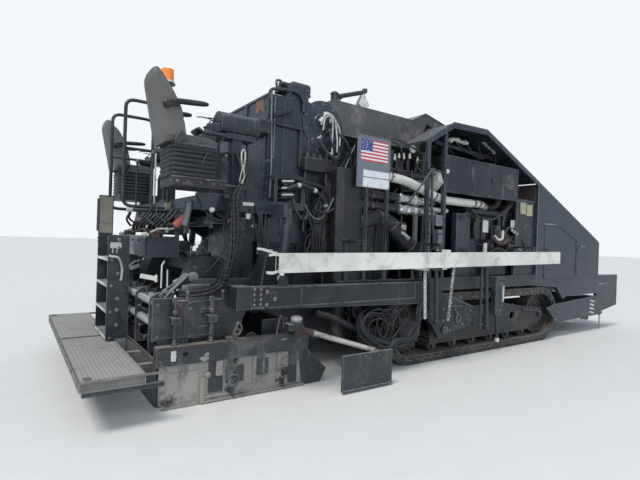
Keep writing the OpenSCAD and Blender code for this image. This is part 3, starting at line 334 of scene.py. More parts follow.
# Columns: colour, dust, film, roughness, rust, runs, wear, specks, dirt, bare metal, metallic, grain
PAINTS = {"dark_paint": (INK, 0.55, 0.2),
          "slate_paint": (SLATE, 0.5, 0.18, 0.3, 0.12, 0.08),
          "dusty_paint": ((0.06, 0.06, 0.064), 0.9, 1.0, 0.55, 0.3, 0.5, 0.4, 0.9, (0.21, 0.19, 0.175)),
          "streaked_paint": ((0.008, 0.01, 0.014), 0.3, 0.08, 0.3, 0.05, 0.8, 0.3, 0.1, (0.15, 0.15, 0.15)),
          "soot_paint": ((0.0105, 0.0105, 0.012), 0.5, 0.3, 0.42, 0.3, 0.3, 0.3, 0.3, (0.07, 0.058, 0.05)),
          "tank_paint": ((0.02, 0.025, 0.032), 0.5, 0.25, 0.42, 0.3, 0.3),
          "rail_steel": (INK, 0.3, 0.15, 0.32, 0.25, 0.0, 0.2),
          "track_steel": ((0.016, 0.0155, 0.015), 0.8, 0.4, 0.5, 0.3, 0.1, 0.9, 0.4, (0.13, 0.115, 0.098),
                          (0.3, 0.285, 0.27)),
          "frame_steel": ((0.016, 0.0165, 0.0175), 0.8, 0.4, 0.55, 0.35, 0.9, 0.4, 0.3, (0.13, 0.115, 0.1)),
          "engine_iron": ((0.009, 0.0105, 0.014), 0.5, 0.2, 0.4, 0.2, 0.3, 0.3, 0.2, BROWN),
          "conveyor_steel": ((0.045, 0.04, 0.036), 0.8, 0.6, 0.45, 0.5, 0.2, 0.6, 0.3, (0.16, 0.13, 0.11),
                             (0.3, 0.28, 0.26)),
          "worn_steel": ((0.1, 0.092, 0.085), 0.5, 0.3, 0.35, 0.5, 0.1, 0.6, 0.3, (0.15, 0.12, 0.1),
                         (0.36, 0.34, 0.32), 0.6),
          "roller_steel": ((0.07, 0.07, 0.07), 0.3, 0.3, 0.4, 0.5, 0.1, 0.6, 0.3, DUST, (0.34, 0.33, 0.32),
                           0.5),
          "screed_steel": ((0.0165, 0.02, 0.026), 0.75, 0.3, 0.4, 0.4, 0.3, 0.5, 0.5),
          "gate_steel": ((0.026, 0.03, 0.037), 0.8, 0.5, 0.5, 0.5, 0.4, 0.6, 0.6, (0.19, 0.18, 0.165)),
          "pipe_steel": ((0.015, 0.016, 0.019), 0.5, 0.2, 0.38, 0.3, 0.1, 0.2),
          "bar_steel": ((0.22, 0.21, 0.2), 0.5, 0.4, 0.35, 0.4, 0.1, 0.3, 0.2, BROWN, DUST, 0.7),
          "pale_paint": ((0.4, 0.41, 0.4), 0.4, 0.4, 0.45, 0.15, 0.3, 0.3, 0.3, (0.22, 0.21, 0.19)),
          "alloy": ((0.63, 0.63, 0.585), 0.3, 0.6, 0.4, 0.14, 0.5, 0.15, 0.35, (0.42, 0.41, 0.36),
                    (0.7, 0.7, 0.7), 0.1, (0.9, 5.0, 9.0)),
          "console_plastic": ((0.017, 0.023, 0.033), 0.4, 0.12, 0.42, 0.0, 0.0, 0.25),
          "tread_plate": ((0.075, 0.073, 0.071), 0.8, 0.6, 0.42, 0.35, 0.0, 0.6, 0.5, (0.25, 0.24, 0.225),
                          (0.4, 0.39, 0.38)),
          "seat_shell": ((0.098, 0.092, 0.085), 0.2, 0.2, 0.55, 0.0, 0.0, 0.1, 0.05, tone(DUST, 0.7)),
          "pale": ((0.52, 0.52, 0.5), 0.4, 0.7, 0.45, 0.25, 0.4, 0.2, 0.5, (0.2, 0.185, 0.165)),
          "rust": ((0.052, 0.03, 0.022), 0.4, 0.5, 0.7, 0.6, 0.1, 0.3, 0.3, (0.12, 0.085, 0.065)),
          "tan": ((0.22, 0.21, 0.17), 0.5, 0.6, 0.6, 0.35, 0.3, 0.2, 0.6, (0.1, 0.1, 0.09)),
          "red": ((0.42, 0.07, 0.05), 0.3, 0.3, 0.5, 0.2, 0.0, 0.2, 0.2),
          # The tow arms' finish: the machine's dark paint at about 0.6 times INK, painted shade for the arms
          # low under the beam
          "arm_paint": ((0.008, 0.011, 0.016), 0.6, 0.12, 0.4, 0.25, 0.3, 0.4, 0.3),
          "orange": ((0.2, 0.095, 0.05), 0.3, 0.9, 0.6, 0.8, 0.2, 0.3, 0.4, (0.09, 0.075, 0.07)),
          "yellow": ((0.44, 0.43, 0.27), 0.3, 0.7, 0.5, 0.2, 0.2, 0.0, 0.5),
          "mould": ((0.25, 0.24, 0.222), 0.5, 1.0, 0.6, 0.85, 0.9, 0.4, 0.9, (0.034, 0.034, 0.036)),
          "tube_white": ((0.43, 0.42, 0.4), 0.5, 0.9, 0.45, 0.45, 0.3, 0.5, 0.7, (0.13, 0.11, 0.095)),
          "faded": ((0.075, 0.064, 0.062), 0.5, 0.9, 0.5, 0.5, 0.5, 0.4, 0.5, (0.03, 0.03, 0.033)),
          "plate_grey": ((0.13, 0.145, 0.165), 0.4, 0.3, 0.4, 0.15, 0.2, 0.3, 0.2)}

# The record's slots and the other finishes, by name
FINISH = {name: paint(name, *row) for name, row in PAINTS.items()}
FINISH["black_rubber"] = rubber("black_rubber", (0.01, 0.011, 0.014), 0.22)
FINISH["white_rubber"] = rubber("white_rubber", (0.6, 0.6, 0.57), 0.35, 170.0, 0, 0.45)
FINISH["braid"] = rubber("braid", (0.022, 0.021, 0.021), 0.6, 900.0, 2, 0.5)
FINISH["seat_fabric"] = fabric("seat_fabric", (0.03, 0.028, 0.028), (0.06, 0.056, 0.053))
# The chrome is only 0.7 metallic, so its pale colour also shows as diffuse brightness: a painted reflection
# of the bright sky; the darker spots are dirt
FINISH["chrome_rod"] = bright("chrome_rod", (0.86, 0.87, 0.88), (0.55, 0.54, 0.52), 0.16, 0.36,
                              7.0, 0.7, 0.02)
FINISH["foil"] = bright("foil", (0.66, 0.66, 0.66), (0.3, 0.28, 0.27), 0.25, 0.6, 30.0, 0.75, 0.9)
FINISH["amber_plastic"] = amber()
FINISH["sign_sheet"] = sign()

slots = {part["node"]: part["material_slot"] for part in frame["record"]["subparts"]}
# The tow arms take a darker copy of the machine's paint: painted shade
slots["tow_arms"] = "arm_paint"
for node in frame["nodes"].values():
    node.data.materials.clear()
    node.data.materials.append(FINISH[slots[node.name]])

# Floor
ground = Material("floor", 0, 0.9)
speckle = ground.noise(3, 5)
ground.out(ground.mix(speckle, (0.54, 0.53, 0.52), (0.6, 0.59, 0.58)),
           ground.step(speckle, 0, 1, 0.85, 0.95))
disc = bmesh.new()
bmesh.ops.create_circle(disc, cap_ends=True, segments=64, radius=120)
floor = bpy.data.objects.new("floor", bpy.data.meshes.new("floor"))
disc.to_mesh(floor.data)
disc.free()
scene.collection.objects.link(floor)
floor.location.z = -0.002
floor.data.materials.append(ground.data)


# Mesh code
def angles(n):
    """n angles round a full turn."""
    return [TURN * k / n for k in range(n)]


def each(values):
    return values if isinstance(values, (tuple, list)) else (values,)


def grid(xs, ys, zs):
    """Points at every mix of the given places, each a number or several."""
    return [(x, y, z) for x in each(xs) for y in each(ys) for z in each(zs)]


def at_y(y, pairs):
    """Points in an upright plane, from pairs of x and z."""
    return [(x, y, z) for x, z in pairs]


def sleeve(rings, n):
    """Faces between rings of n points."""
    return [[i * n + k, (i + 1) * n + k, (i + 1) * n + (k + 1) % n, i * n + (k + 1) % n]
            for i in range(rings - 1) for k in range(n)]


def caps(rings, n):
    """Faces that close the first and the last ring."""
    return [list(range(n)), [rings * n - 1 - k for k in range(n)]]


def closed(rings, n):
    """Faces of a closed form made of rings."""
    return sleeve(rings, n) + caps(rings, n)


def frames(pts):
    """A normal and a cross direction at each point, carried along without twist."""
    out = []
    n = None
    for i, p in enumerate(pts):
        t = (pts[min(i + 1, len(pts) - 1)] - pts[max(i - 1, 0)]).normalized()
        if n is None:
            n = t.orthogonal()
        n = (n - t * n.dot(t)).normalized()
        out.append((n, t.cross(n)))
    return out


def curve(points, step=0.03):
    """Points of a smooth curve through the given ones, about a step apart."""
    p = [V(q) for q in points]
    p = [p[0] * 2 - p[1]] + p + [p[-1] * 2 - p[-2]]
    out = []
    for a, b, c, d in zip(p, p[1:], p[2:], p[3:]):
        n = max(1, round((c - b).length / step))
        for k in range(n):
            t = k / n
            bend = 2 * a - 5 * b + 4 * c - d
            swing = 3 * b - a - 3 * c + d
            out.append(0.5 * (2 * b + (c - a) * t + bend * t * t + swing * t ** 3))
    return out + [p[-2]]


def cross(axis):
    """An axis as a unit vector, and two directions square to it."""
    a = V(axis).normalized()
    u = a.orthogonal().normalized()
    return a, u, a.cross(u)


def coil(centre, axis, radius, turns, pitch, start=0.0, per=16):
    """Points of a helix."""
    a, u, w = cross(axis)
    out = []
    for i in range(int(turns * per) + 1):
        angle = start + TURN * i / per
        out.append(V(centre) + a * (pitch * i / per) + (u * cos(angle) + w * sin(angle)) * radius)
    return out


class Shape:
    """The mesh of one piece: simple forms are added to it, and the last call makes the object."""

    def __init__(self, move=None):
        self.v, self.f, self.move = [], [], move

    def add(self, verts, faces):
        n = len(self.v)
        self.v += [self.move @ V(p) if self.move else V(p) for p in verts]
        self.f += [tuple(i + n for i in face) for face in faces]
        return self

    def box(self, lo, hi, c=0.004):
        """A block with chamfered edges."""
        ends = [sorted((lo[i], hi[i])) for i in range(3)]
        c = min([c] + [(e[1] - e[0]) * 0.4 for e in ends])
        verts = []
        for i, j, k in grid((0, 1), (0, 1), (0, 1)):
            x, y, z = ends[0][i], ends[1][j], ends[2][k]
            dx, dy, dz = (c if s == 0 else -c for s in (i, j, k))
            verts += [(x, y + dy, z + dz), (x + dx, y, z + dz), (x + dx, y + dy, z)]

        def at(i, j, k, s):
            return ((i * 2 + j) * 2 + k) * 3 + s

        faces = []
        for q in (0, 1):
            faces += [[at(q, 0, 0, 0), at(q, 1, 0, 0), at(q, 1, 1, 0), at(q, 0, 1, 0)],
                      [at(0, q, 0, 1), at(1, q, 0, 1), at(1, q, 1, 1), at(0, q, 1, 1)],
                      [at(0, 0, q, 2), at(1, 0, q, 2), at(1, 1, q, 2), at(0, 1, q, 2)]]
            for r in (0, 1):
                faces += [[at(q, r, 0, 0), at(q, r, 1, 0), at(q, r, 1, 1), at(q, r, 0, 1)],
                          [at(q, 0, r, 0), at(q, 1, r, 0), at(q, 1, r, 2), at(q, 0, r, 2)],
                          [at(0, q, r, 1), at(1, q, r, 1), at(1, q, r, 2), at(0, q, r, 2)]]
                faces += [[at(q, r, k, 0), at(q, r, k, 1), at(q, r, k, 2)] for k in (0, 1)]
        return self.add(verts, faces)

    def tube(self, pts, r, n=8):
        """A round bar along pts. r is its radius, or a radius for each point."""
        pts = [V(p) for p in pts]
        radii = r if isinstance(r, list) else [r] * len(pts)
        verts = []
        for p, q, (a, b) in zip(pts, radii, frames(pts)):
            verts += [p + (a * cos(t) + b * sin(t)) * q for t in angles(n)]
        return self.add(verts, closed(len(pts), n))

    def hose(self, pts, r, step=0.03, n=8):
        """A round bar on the smooth curve through pts."""
        return self.tube(curve(pts, step), r, n)

    def ribbed(self, pts, r, pitch=0.02, depth=0.004, n=10):
        """A hose with a wavy wall."""
        line = curve(pts, pitch / 2)
        return self.tube(line, [r - depth * (i % 2) for i in range(len(line))], n)

    def turned(self, at, axis, profile, n=16):
        """A turned form: (radius, height) pairs along an axis."""
        a, u, w = cross(axis)
        verts = []
        for r, h in profile:
            verts += [V(at) + a * h + (u * cos(t) + w * sin(t)) * max(r, 1e-4) for t in angles(n)]
        return self.add(verts, closed(len(profile), n))

    def ring(self, at, axis, r, t, n=24, m=8):
        """A round hoop of tube."""
        a, u, w = cross(axis)
        verts = []
        for angle in angles(n):
            d = u * cos(angle) + w * sin(angle)
            verts += [V(at) + d * (r + t * cos(b)) + a * t * sin(b) for b in angles(m)]
        faces = [[i * m + k, (i + 1) % n * m + k, (i + 1) % n * m + (k + 1) % m, i * m + (k + 1) % m]
                 for i in range(n) for k in range(m)]
        return self.add(verts, faces)

    def plate(self, axis, a, b, outline):
        """A plate with an outline in the two other axes, between a and b along its axis."""
        def at(p, h):
            q = list(p)
            q.insert("xyz".index(axis), h)
            return q

        n = len(outline)
        faces = [list(range(n)), [2 * n - 1 - k for k in range(n)]]
        faces += [[k, (k + 1) % n, n + (k + 1) % n, n + k] for k in range(n)]
        return self.add([at(p, a) for p in outline] + [at(p, b) for p in outline], faces)

    def bar(self, a, b, w, h, c=0.003):
        """A straight flat bar from a to b, w wide and h deep."""
        a, b = V(a), V(b)
        keep = self.move
        t = (b - a).normalized()
        s = t.cross(V(LEFT) if abs(t.y) < 0.9 else V(AHEAD)).normalized()
        turn = Matrix((t, s, t.cross(s))).transposed().to_4x4()
        self.move = (keep or Matrix()) @ Matrix.Translation(a) @ turn
        self.box((0, -w / 2, -h / 2), ((b - a).length, w / 2, h / 2), c)
        self.move = keep
        return self

    def bolts(self, spots, axis, r):
        """Hexagon heads on their washers."""
        for p in spots:
            self.turned(p, axis, [(r * 1.5, 0.0), (r * 1.5, r * 0.2), (r * 1.4, r * 0.28)], 12)
            self.turned(p, axis, [(r, r * 0.2), (r, r * 0.8), (r * 0.86, r * 0.95)], 6)
        return self

    def lozenges(self, x, y, z, pitch=0.034, h=0.003):
        """Raised tread on a flat plate."""
        for i in range(int((x[1] - x[0]) / pitch)):
            for j in range(int((y[1] - y[0]) / pitch)):
                cx, cy = x[0] + (i + 0.5) * pitch, y[0] + (j + 0.5) * pitch
                d = V((1, 1 if (i + j) % 2 else -1, 0)).normalized()
                e = V((-d.y, d.x, 0))
                p = V((cx, cy, z - 0.0005))
                s = pitch * 0.46
                foot = [p + d * s, p + e * s * 0.3, p - d * s, p - e * s * 0.3]
                cap = [p + d * s * 0.55 + V((0, 0, h)), p - d * s * 0.55 + V((0, 0, h))]
                self.add(foot + cap, [[0, 1, 4], [1, 2, 5, 4], [2, 3, 5], [3, 0, 4, 5], [0, 3, 2, 1]])
        return self

    def mesh(self, flip=False):
        """The mesh, or its mirror image on the left side."""
        data = bpy.data.meshes.new("mesh")
        data.from_pydata([V((p.x, -p.y, p.z)) if flip else p for p in self.v], [], self.f)
        work = bmesh.new()
        work.from_mesh(data)
        bmesh.ops.recalc_face_normals(work, faces=work.faces)
        work.to_mesh(data)
        work.free()
        data.shade_smooth()
        data.set_sharp_from_angle(angle=radians(32))
        return data

    def done(self, name, body, slot, finish=None, flip=False):
        """The object, on its body. finish names another finish than the slot's own."""
        o = bpy.data.objects.new(name, self.mesh(flip))
        scene.collection.objects.link(o)
        o.data.materials.append(FINISH[finish or slot])
        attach(o, body)
        return o

    def both(self, name, body, slot, finish=None):
        """The piece on the right side and its mirror image on the left one."""
        self.done(name + "_right", body.replace("*", "right"), slot, finish)
        self.done(name + "_left", body.replace("*", "left"), slot, finish, True)

    def fixed(self, name, slot, finish=None):
        """One piece on the tractor."""
        return self.done(name, "tractor", slot, finish)

    def fixed_pair(self, name, slot, finish=None):
        """A piece on each side of the tractor."""
        self.both(name, "tractor", slot, finish)


# Places that several pieces share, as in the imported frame: faces of the outer plates, the tow arm and the
# end gate on the right side, then the middles of pipes, jib, guide tubes, head disc and consoles
FACE_Y = -1.38
ARM_Y = -1.48
GATE_Y = -1.3475
PIPES_Y = -1.13
JIB_Y = -0.83
TUBE_X = -4.29
HEAD_Z = 3.0
CONSOLE_Z = 2.735

# Walkways, ladder and landing
tread = Shape().lozenges((-4.995, -4.525), (-1.62, -0.015), 0.45)
tread.both("walkway_tread", "extension_*", "tread_plate")

s = Shape()
for x in (-5.003, -4.517):
    s.box((x - 0.002, -1.628, 0.438), (x + 0.004, -0.007, 0.4515), 0.001)
s.bolts(grid(-5.005, (-1.5, -1.1, -0.55, -0.12), 0.405), BACK, 0.011)
for y in (-0.63, -1.13):
    s.box((-4.515, y - 0.05, 0.372), (-4.44, y + 0.05, 0.386), 0.003)
    s.bolts([(-4.48, y - 0.03, 0.386), (-4.48, y + 0.03, 0.386)], UP, 0.01)
s.both("walkway_rims", "extension_*", "tread_plate", "worn_steel")

s = Shape()
s.box((-5.004, -1.634, 0.43), (-4.345, -1.627, 0.4525), 0.002)
s.box((-4.345, -1.632, 0.432), (-4.337, -0.02, 0.4525), 0.002)
for y in (-1.5, -1.1, -0.75, -0.35):
    s.box((-5.01, y, 0.375), (-5.003, y + 0.1, 0.385), 0.001)
s.both("walkway_edge", "extension_*", "tread_plate", "bar_steel")

s = Shape()
s.box((-4.985, -1.625, 0.318), (-4.36, -1.59, 0.361), 0.004)
s.box((-5.0, -0.012, 0.448), (-4.42, -0.004, 0.4585), 0.001)
s.turned((-4.945, -1.575, 0.454), UP, [(0.034, 0), (0.034, 0.0045)], 14)
s.both("walkway_fascia", "extension_*", "dark_paint")

# Ladder: pitch and height of its four steps
RISE = (1.58 - 0.475) / 4
STEPS = [0.497 + i * RISE for i in range(4)]

s = Shape()
for z in STEPS:
    s.lozenges((-4.61, -4.43), (-0.322, 0.322), z, 0.03, 0.003)
    s.box((-4.622, -0.327, z - 0.024), (-4.612, 0.327, z + 0.004), 0.002)
s.done("step_treads", "screed", "tread_plate", "pale")

s = Shape()
for y, face in ((-0.34, -1), (0.34, 1)):
    s.bolts(grid(-4.515, y, (0.62, 0.78, 0.9, 1.17, 1.45, 1.53)), (0, face, 0), 0.013)
    s.bolts([(-4.58, y, z - 0.01) for z in STEPS], (0, face, 0), 0.009)
s.bolts(grid(-4.62, (-0.334, 0.334), (1.5, 1.54)), BACK, 0.009)
s.done("ladder_bolts", "screed", "worn_steel")

s = Shape()
s.box((-4.6, -0.35, 1.44), (-4.49, -0.3405, 1.5), 0.003)
for x in (-4.575, -4.535):
    s.box((x - 0.006, -0.347, 1.385), (x + 0.006, -0.341, 1.445), 0.002)
s.done("label_box", "screed", "alloy", "pale")

s = Shape()
s.hose([(-4.6, -0.342, 1.36), (-4.6, -0.39, 1.355), (-4.53, -0.41, 1.34), (-4.49, -0.4, 1.24),
        (-4.49, -0.39, 1.12), (-4.49, -0.342, 1.1)], 0.012, 0.02, 10)
s.done("ladder_handle", "screed", "alloy", "pale")

s = Shape()
s.box((-4.617, 0.3235, 1.6), (-4.468, 0.3278, 2.03), 0.002)
s.done("guard_sheet", "screed", "dark_paint", "tan")

s = Shape()
for lo, hi in (((-4.622, 0.322, 1.585), (-4.61, 0.343, 2.043)),
               ((-4.476, 0.322, 1.585), (-4.464, 0.343, 2.043)),
               ((-4.622, 0.322, 2.03), (-4.464, 0.343, 2.043)),
               ((-4.622, 0.322, 1.585), (-4.464, 0.343, 1.6))):
    s.box(lo, hi, 0.003)
s.box((-4.64, 0.343, 1.62), (-4.6, 0.349, 2.0), 0.002)
s.bolts([(-4.54, 0.322, 1.593), (-4.54, 0.322, 2.036)], RIGHT, 0.006)
s.done("guard_frame", "screed", "rail_steel")

s = Shape()
s.lozenges((-3.99, -3.15), (-1.19, 1.19), 1.99, 0.036)
s.lozenges((-4.28, -3.98), (-0.59, 0.84), 1.58, 0.036)
s.done("deck_tread", "tractor", "slate_paint", "tread_plate")

s = Shape()
for y in (-1.207, 1.2):
    s.box((-4.0, y, 1.984), (-3.14, y + 0.007, 1.993), 0.002)
    s.box((-3.99, y, 1.862), (-3.14, y + 0.007, 1.872), 0.002)
s.box((-4.007, -1.2, 1.984), (-3.999, 1.2, 1.993), 0.002)
s.bolts(grid((-3.93, -3.72, -3.3), -1.2, 1.925), RIGHT, 0.012)
s.bolts(grid((-3.93, -3.72, -3.3), 1.2, 1.925), LEFT, 0.012)
s.bolts(grid(-4.0, (-1.1, -0.9, -0.62, 0.62, 0.9, 1.1), (1.89, 1.945)), BACK, 0.011)
s.done("deck_trim", "tractor", "rail_steel")

s = Shape().box((-3.505, -1.206, 1.932), (-3.375, -1.2, 1.968), 0.002)
s.done("deck_plate_blank", "tractor", "alloy", "pale")

# Guard loops' feet and ends
s = Shape()
for y in (-0.37, 0.37):
    s.box((-4.06, y - 0.05, 1.875), (-4.0, y + 0.05, 1.955), 0.006)
    s.turned((-4.205, y, 1.895), UP, [(0.022, -0.02), (0.026, -0.01), (0.026, 0.015), (0.02, 0.02)], 12)
    s.turned((-4.205, y, 2.5), UP, [(0.02, -0.02), (0.024, -0.01), (0.024, 0.01), (0.02, 0.02)], 12)
s.done("rail_blocks", "tractor", "alloy", "tan")

s = Shape()
s.hose([(-4.46, -0.46, 1.85), (-4.3, -0.46, 1.852), (-4.1, -0.45, 1.86), (-4.0, -0.44, 1.87)],
       0.02, 0.04, 10)
s.done("lower_tube", "tractor", "rail_steel")

s = Shape().turned((-4.47, -0.46, 1.85), BACK,
                   [(0.021, -0.05), (0.024, -0.045), (0.024, 0.0), (0.018, 0.006)], 12)
s.done("lower_tube_cap", "tractor", "alloy", "pale")

# Seats: a rigid shell behind, padded cushions, armrests, bellows
SEAT_X, SEAT_Y, SEAT_Z = -4.08, -1.18, 2.42
LEAN = radians(12)
SHELL_HEIGHT = 0.665
ARMREST_Z = 2.8
CUSHION_VOXEL = 0.006
CUSHION_SWELL = 0.022
CLOTH_FRAMES = 20
lean = Matrix(((cos(LEAN), 0, -sin(LEAN)), (0, 1, 0), (sin(LEAN), 0, cos(LEAN)))).to_4x4()
back = Matrix.Translation((SEAT_X - 0.13, SEAT_Y, SEAT_Z + 0.05)) @ lean
seat = Matrix.Translation((SEAT_X, SEAT_Y, SEAT_Z))


def rounded(w0, w1, h, lo, hi):
    """Rings of a padded form that narrows from w0 to w1 over its height h; it lies from lo to hi in depth."""
    rows, cols, square = 14, 28, 4
    verts, mid, half = [], (lo + hi) / 2, (hi - lo) / 2
    for i in range(rows + 1):
        t = i / rows
        end = (1 - abs(2 * t - 1) ** 7) ** 0.4 if 0 < i < rows else 0.55
        w = (w0 + (w1 - w0) * t) / 2
        for a in angles(cols):
            grow = (abs(cos(a)) ** square + abs(sin(a)) ** square) ** (-1 / square)
            x = mid + half * cos(a) * grow * (0.75 + 0.25 * end)
            verts.append((x, w * sin(a) * grow * (0.86 + 0.14 * end), t * h))
    faces = [[q + k, q + (k + 1) % cols, q + cols + (k + 1) % cols, q + cols + k]
             for q in range(0, rows * cols, cols) for k in range(cols)]
    return verts, faces + caps(rows + 1, cols)


def evaluated(o):
    """The object's mesh with its modifiers, which are then removed."""
    data = bpy.data.meshes.new_from_object(o.evaluated_get(bpy.context.evaluated_depsgraph_get()))
    o.modifiers.clear()
    return data


def pad(shape):
    """Cloth blown up a little from a closed form, with no point moved further than the swell."""
    o = bpy.data.objects.new("pad", shape.mesh())
    scene.collection.objects.link(o)
    remesh = o.modifiers.new("remesh", "REMESH")
    remesh.mode = "VOXEL"
    remesh.voxel_size = CUSHION_VOXEL
    remesh.use_smooth_shade = True
    o.data = evaluated(o)
    rest = [v.co.copy() for v in o.data.vertices]
    cloth = o.modifiers.new("cloth", "CLOTH").settings
    cloth.use_pressure = True
    cloth.uniform_pressure_force = 4.0
    cloth.effector_weights.gravity = 0.0
    cloth.quality = 5
    for f in range(1, CLOTH_FRAMES + 1):
        scene.frame_set(f)
    o.data = evaluated(o)
    for v, r in zip(o.data.vertices, rest):
        d = v.co - r
        if d.length > CUSHION_SWELL:
            v.co = r + d * (CUSHION_SWELL / d.length)
    scene.frame_set(1)
    data = o.data
    bpy.data.objects.remove(o)
    return data


def sew(data, inverse, lines):
    """Presses sewn channels into a pad. Each line gives an axis and a value in the pad's own frame."""
    width, deep = 0.01, 0.008
    moves = []
    for v in data.vertices:
        p = inverse @ v.co
        dip = 0.0
        for axis, value in lines:
            d = abs(p[axis] - value) / width
            if d < 1:
                dip = max(dip, (1 - d * d) ** 2)
        moves.append(v.co - v.normal * deep * dip)
    for v, q in zip(data.vertices, moves):
        v.co = q


def soften(data, name, side, flip):
    """A pad as a soft piece of a seat, or its mirror image."""
    data = data.copy()
    if flip:
        for v in data.vertices:
            v.co.y = -v.co.y
        data.flip_normals()
    data.materials.clear()
    data.materials.append(FINISH["seat_fabric"])
    data.shade_smooth()
    o = bpy.data.objects.new(name + side, data)
    scene.collection.objects.link(o)
    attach(o, "seat_" + side)
    return o


def shell_reach(t):
    """How far the backrest's shell reaches forward at height t, from 0 to 1."""
    return 0.195 if t < 0.45 else 0.195 - 0.125 * ((t - 0.45) / 0.55) ** 1.3


s = Shape(back)
verts, faces = rounded(0.395, 0.285, 0.6, -0.088, 0.075)
for i, (x, y, z) in enumerate(verts):
    reach = shell_reach(max(0.0, min(1.0, z / SHELL_HEIGHT)))
    verts[i] = (-0.088 + (x + 0.088) * (reach - 0.035) / 0.16, y, z)
s.add(verts, faces)
back_pad = pad(s)
sew(back_pad, back.inverted(), [(2, 0.2), (2, 0.42)])

flat = Matrix.Rotation(radians(90), 4, "Y")
s = Shape(Matrix.Translation((SEAT_X + 0.04, SEAT_Y, SEAT_Z + 0.068)) @ flat)
s.add(*rounded(0.44, 0.42, 0.36, -0.038, 0.115))
s.move = None
s.v = [p - V((0.18, 0, 0)) for p in s.v]
seat_pad = pad(s)
sew(seat_pad, Matrix(), [(1, SEAT_Y - 0.13), (1, SEAT_Y + 0.13)])
for side, flip in (("right", False), ("left", True)):
    soften(back_pad, "seat_back_", side, flip)
    cushion = soften(seat_pad, "seat_cushion_", side, flip)
    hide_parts("seat_pad_" + side)

s = Shape(back)
verts = []
for i in range(15):
    t = i / 14
    w = 0.232 - 0.06 * t
    r = 0.86 if t < 0.04 or t > 0.96 else 1.0
    tipped = 0.03 * max(0.0, (t - 0.86) / 0.14) ** 2
    crease, front = 0.86 * w, -0.15 + shell_reach(t)
    outer = [(front, -w * r * 0.97), (-0.12 + tipped, -w * r), (-0.146 + tipped, -crease * r),
             (-0.15 + tipped, 0), (-0.146 + tipped, crease * r), (-0.12 + tipped, w * r),
             (front, w * r * 0.97)]
    inner = [(front - 0.006, 0.9 * w * r), (-0.088 + tipped * 0.3, 0.86 * w * r),
             (-0.088 + tipped * 0.3, -0.86 * w * r), (front - 0.006, -0.9 * w * r)]
    verts += [(x, y, t * SHELL_HEIGHT) for x, y in outer + inner]
s.add(verts, closed(15, 11))
s.both("seat_shell", "seat_*", "seat_fabric", "seat_shell")

s = Shape(seat)
s.box((-0.205, -0.225, 0), (0.215, 0.225, 0.032), 0.012)
for y in (-0.236, 0.236):
    s.turned((-0.155, y - copysign(0.02, y), 0.07), (0, copysign(1, y), 0),
             [(0.03, 0), (0.045, 0.004), (0.045, 0.018), (0.03, 0.024)], 18)
    s.bar((-0.19, y, 0.02), (-0.13, y, 0.12), 0.05, 0.012)
s.bolts([(x, -0.225, 0.016) for x in (-0.1, 0.05, 0.17)], RIGHT, 0.007)
s.both("seat_tray", "seat_*", "black_rubber", "console_plastic")

s = Shape(Matrix.Translation((SEAT_X - 0.225, SEAT_Y, ARMREST_Z)) @ Matrix.Rotation(radians(-6), 4, "Y"))
for y in (-0.235, 0.235):
    profile = [(-0.02, 0.7), (0.0, 0.95), (0.06, 1.0), (0.2, 1.0), (0.28, 0.9), (0.32, 0.6)]
    verts = []
    for x, k in profile:
        verts += [(x, y + 0.032 * k * cos(a), 0.026 * k * sin(a) - 0.03 * max(0, x - 0.1))
                  for a in angles(12)]
    s.add(verts, closed(len(profile), 12))
    s.bar((-0.075, y * 0.95, -0.028), (0.05, y * 0.98, -0.022), 0.03, 0.035)
    s.turned((-0.055, y * 0.72, -0.026), (0, copysign(1, y), 0),
             [(0.03, 0), (0.036, 0.003), (0.036, 0.066), (0.024, 0.076)], 14)
s.both("armrests", "seat_*", "black_rubber")

# Bellows with rounded folds
BELLOWS_Z, BELLOWS_HEIGHT = 2.142, 2.4 - 2.142
FOLDS = 6
rows, cols = 72, 40

s = Shape()
verts = []
for i in range(rows + 1):
    t = i / rows
    g = 0.014 * (0.5 - 0.5 * cos(TURN * FOLDS * t)) + 0.004
    z = BELLOWS_Z + t * BELLOWS_HEIGHT
    for a in angles(cols):
        grow = (abs(cos(a)) ** 8 + abs(sin(a)) ** 8) ** (-1 / 8)
        x, y = (0.208 + g) * cos(a) * grow, (0.198 + g) * sin(a) * grow
        verts.append((SEAT_X + x, SEAT_Y + y, z - 0.006 * sin(TURN * FOLDS * t)))
s.add(verts, sleeve(rows + 1, cols))
s.both("seat_bellows", "seat_*", "black_rubber")

s = Shape(Matrix.Translation((SEAT_X, SEAT_Y, 0)))
s.bolts([(x, -0.21, 2.095) for x in (-0.16, -0.06, 0.06, 0.18, 0.26)], RIGHT, 0.009)
s.bolts([(-0.2, y, 2.095) for y in (-0.15, 0.0, 0.15)], BACK, 0.009)
s.box((-0.215, -0.216, 2.128), (0.32, -0.206, 2.142), 0.003)
s.box((-0.12, -0.235, 2.06), (-0.02, -0.212, 2.085), 0.004)
s.tube([(0.1, -0.212, 2.12), (0.1, -0.27, 2.12), (0.14, -0.275, 2.12)], 0.006)
s.both("seat_pan_trim", "seat_*", "worn_steel")

# Consoles
console = Matrix.Translation((0, SEAT_Y, CONSOLE_Z))

s = Shape(console)
s.turned((-3.812, 0, 0), AHEAD, [(0.075, 0.0), (0.088, -0.004), (0.112, 0.012), (0.1215, 0.016),
                                 (0.1215, 0.022)], 36)
s.turned((-3.378, 0, 0), AHEAD, [(0.1215, -0.03), (0.1215, 0.0), (0.112, 0.008), (0.09, 0.01)], 36)
for x in (-3.66, -3.44):
    s.turned((x, 0, 0), AHEAD, [(0.1205, 0.0), (0.1225, 0.002), (0.1225, 0.012), (0.1205, 0.014)], 36)
s.bar((-3.52, -0.1215, 0.03), (-3.52, -0.1215, -0.05), 0.012, 0.006)
s.both("console_rings", "seat_*", "console_plastic")

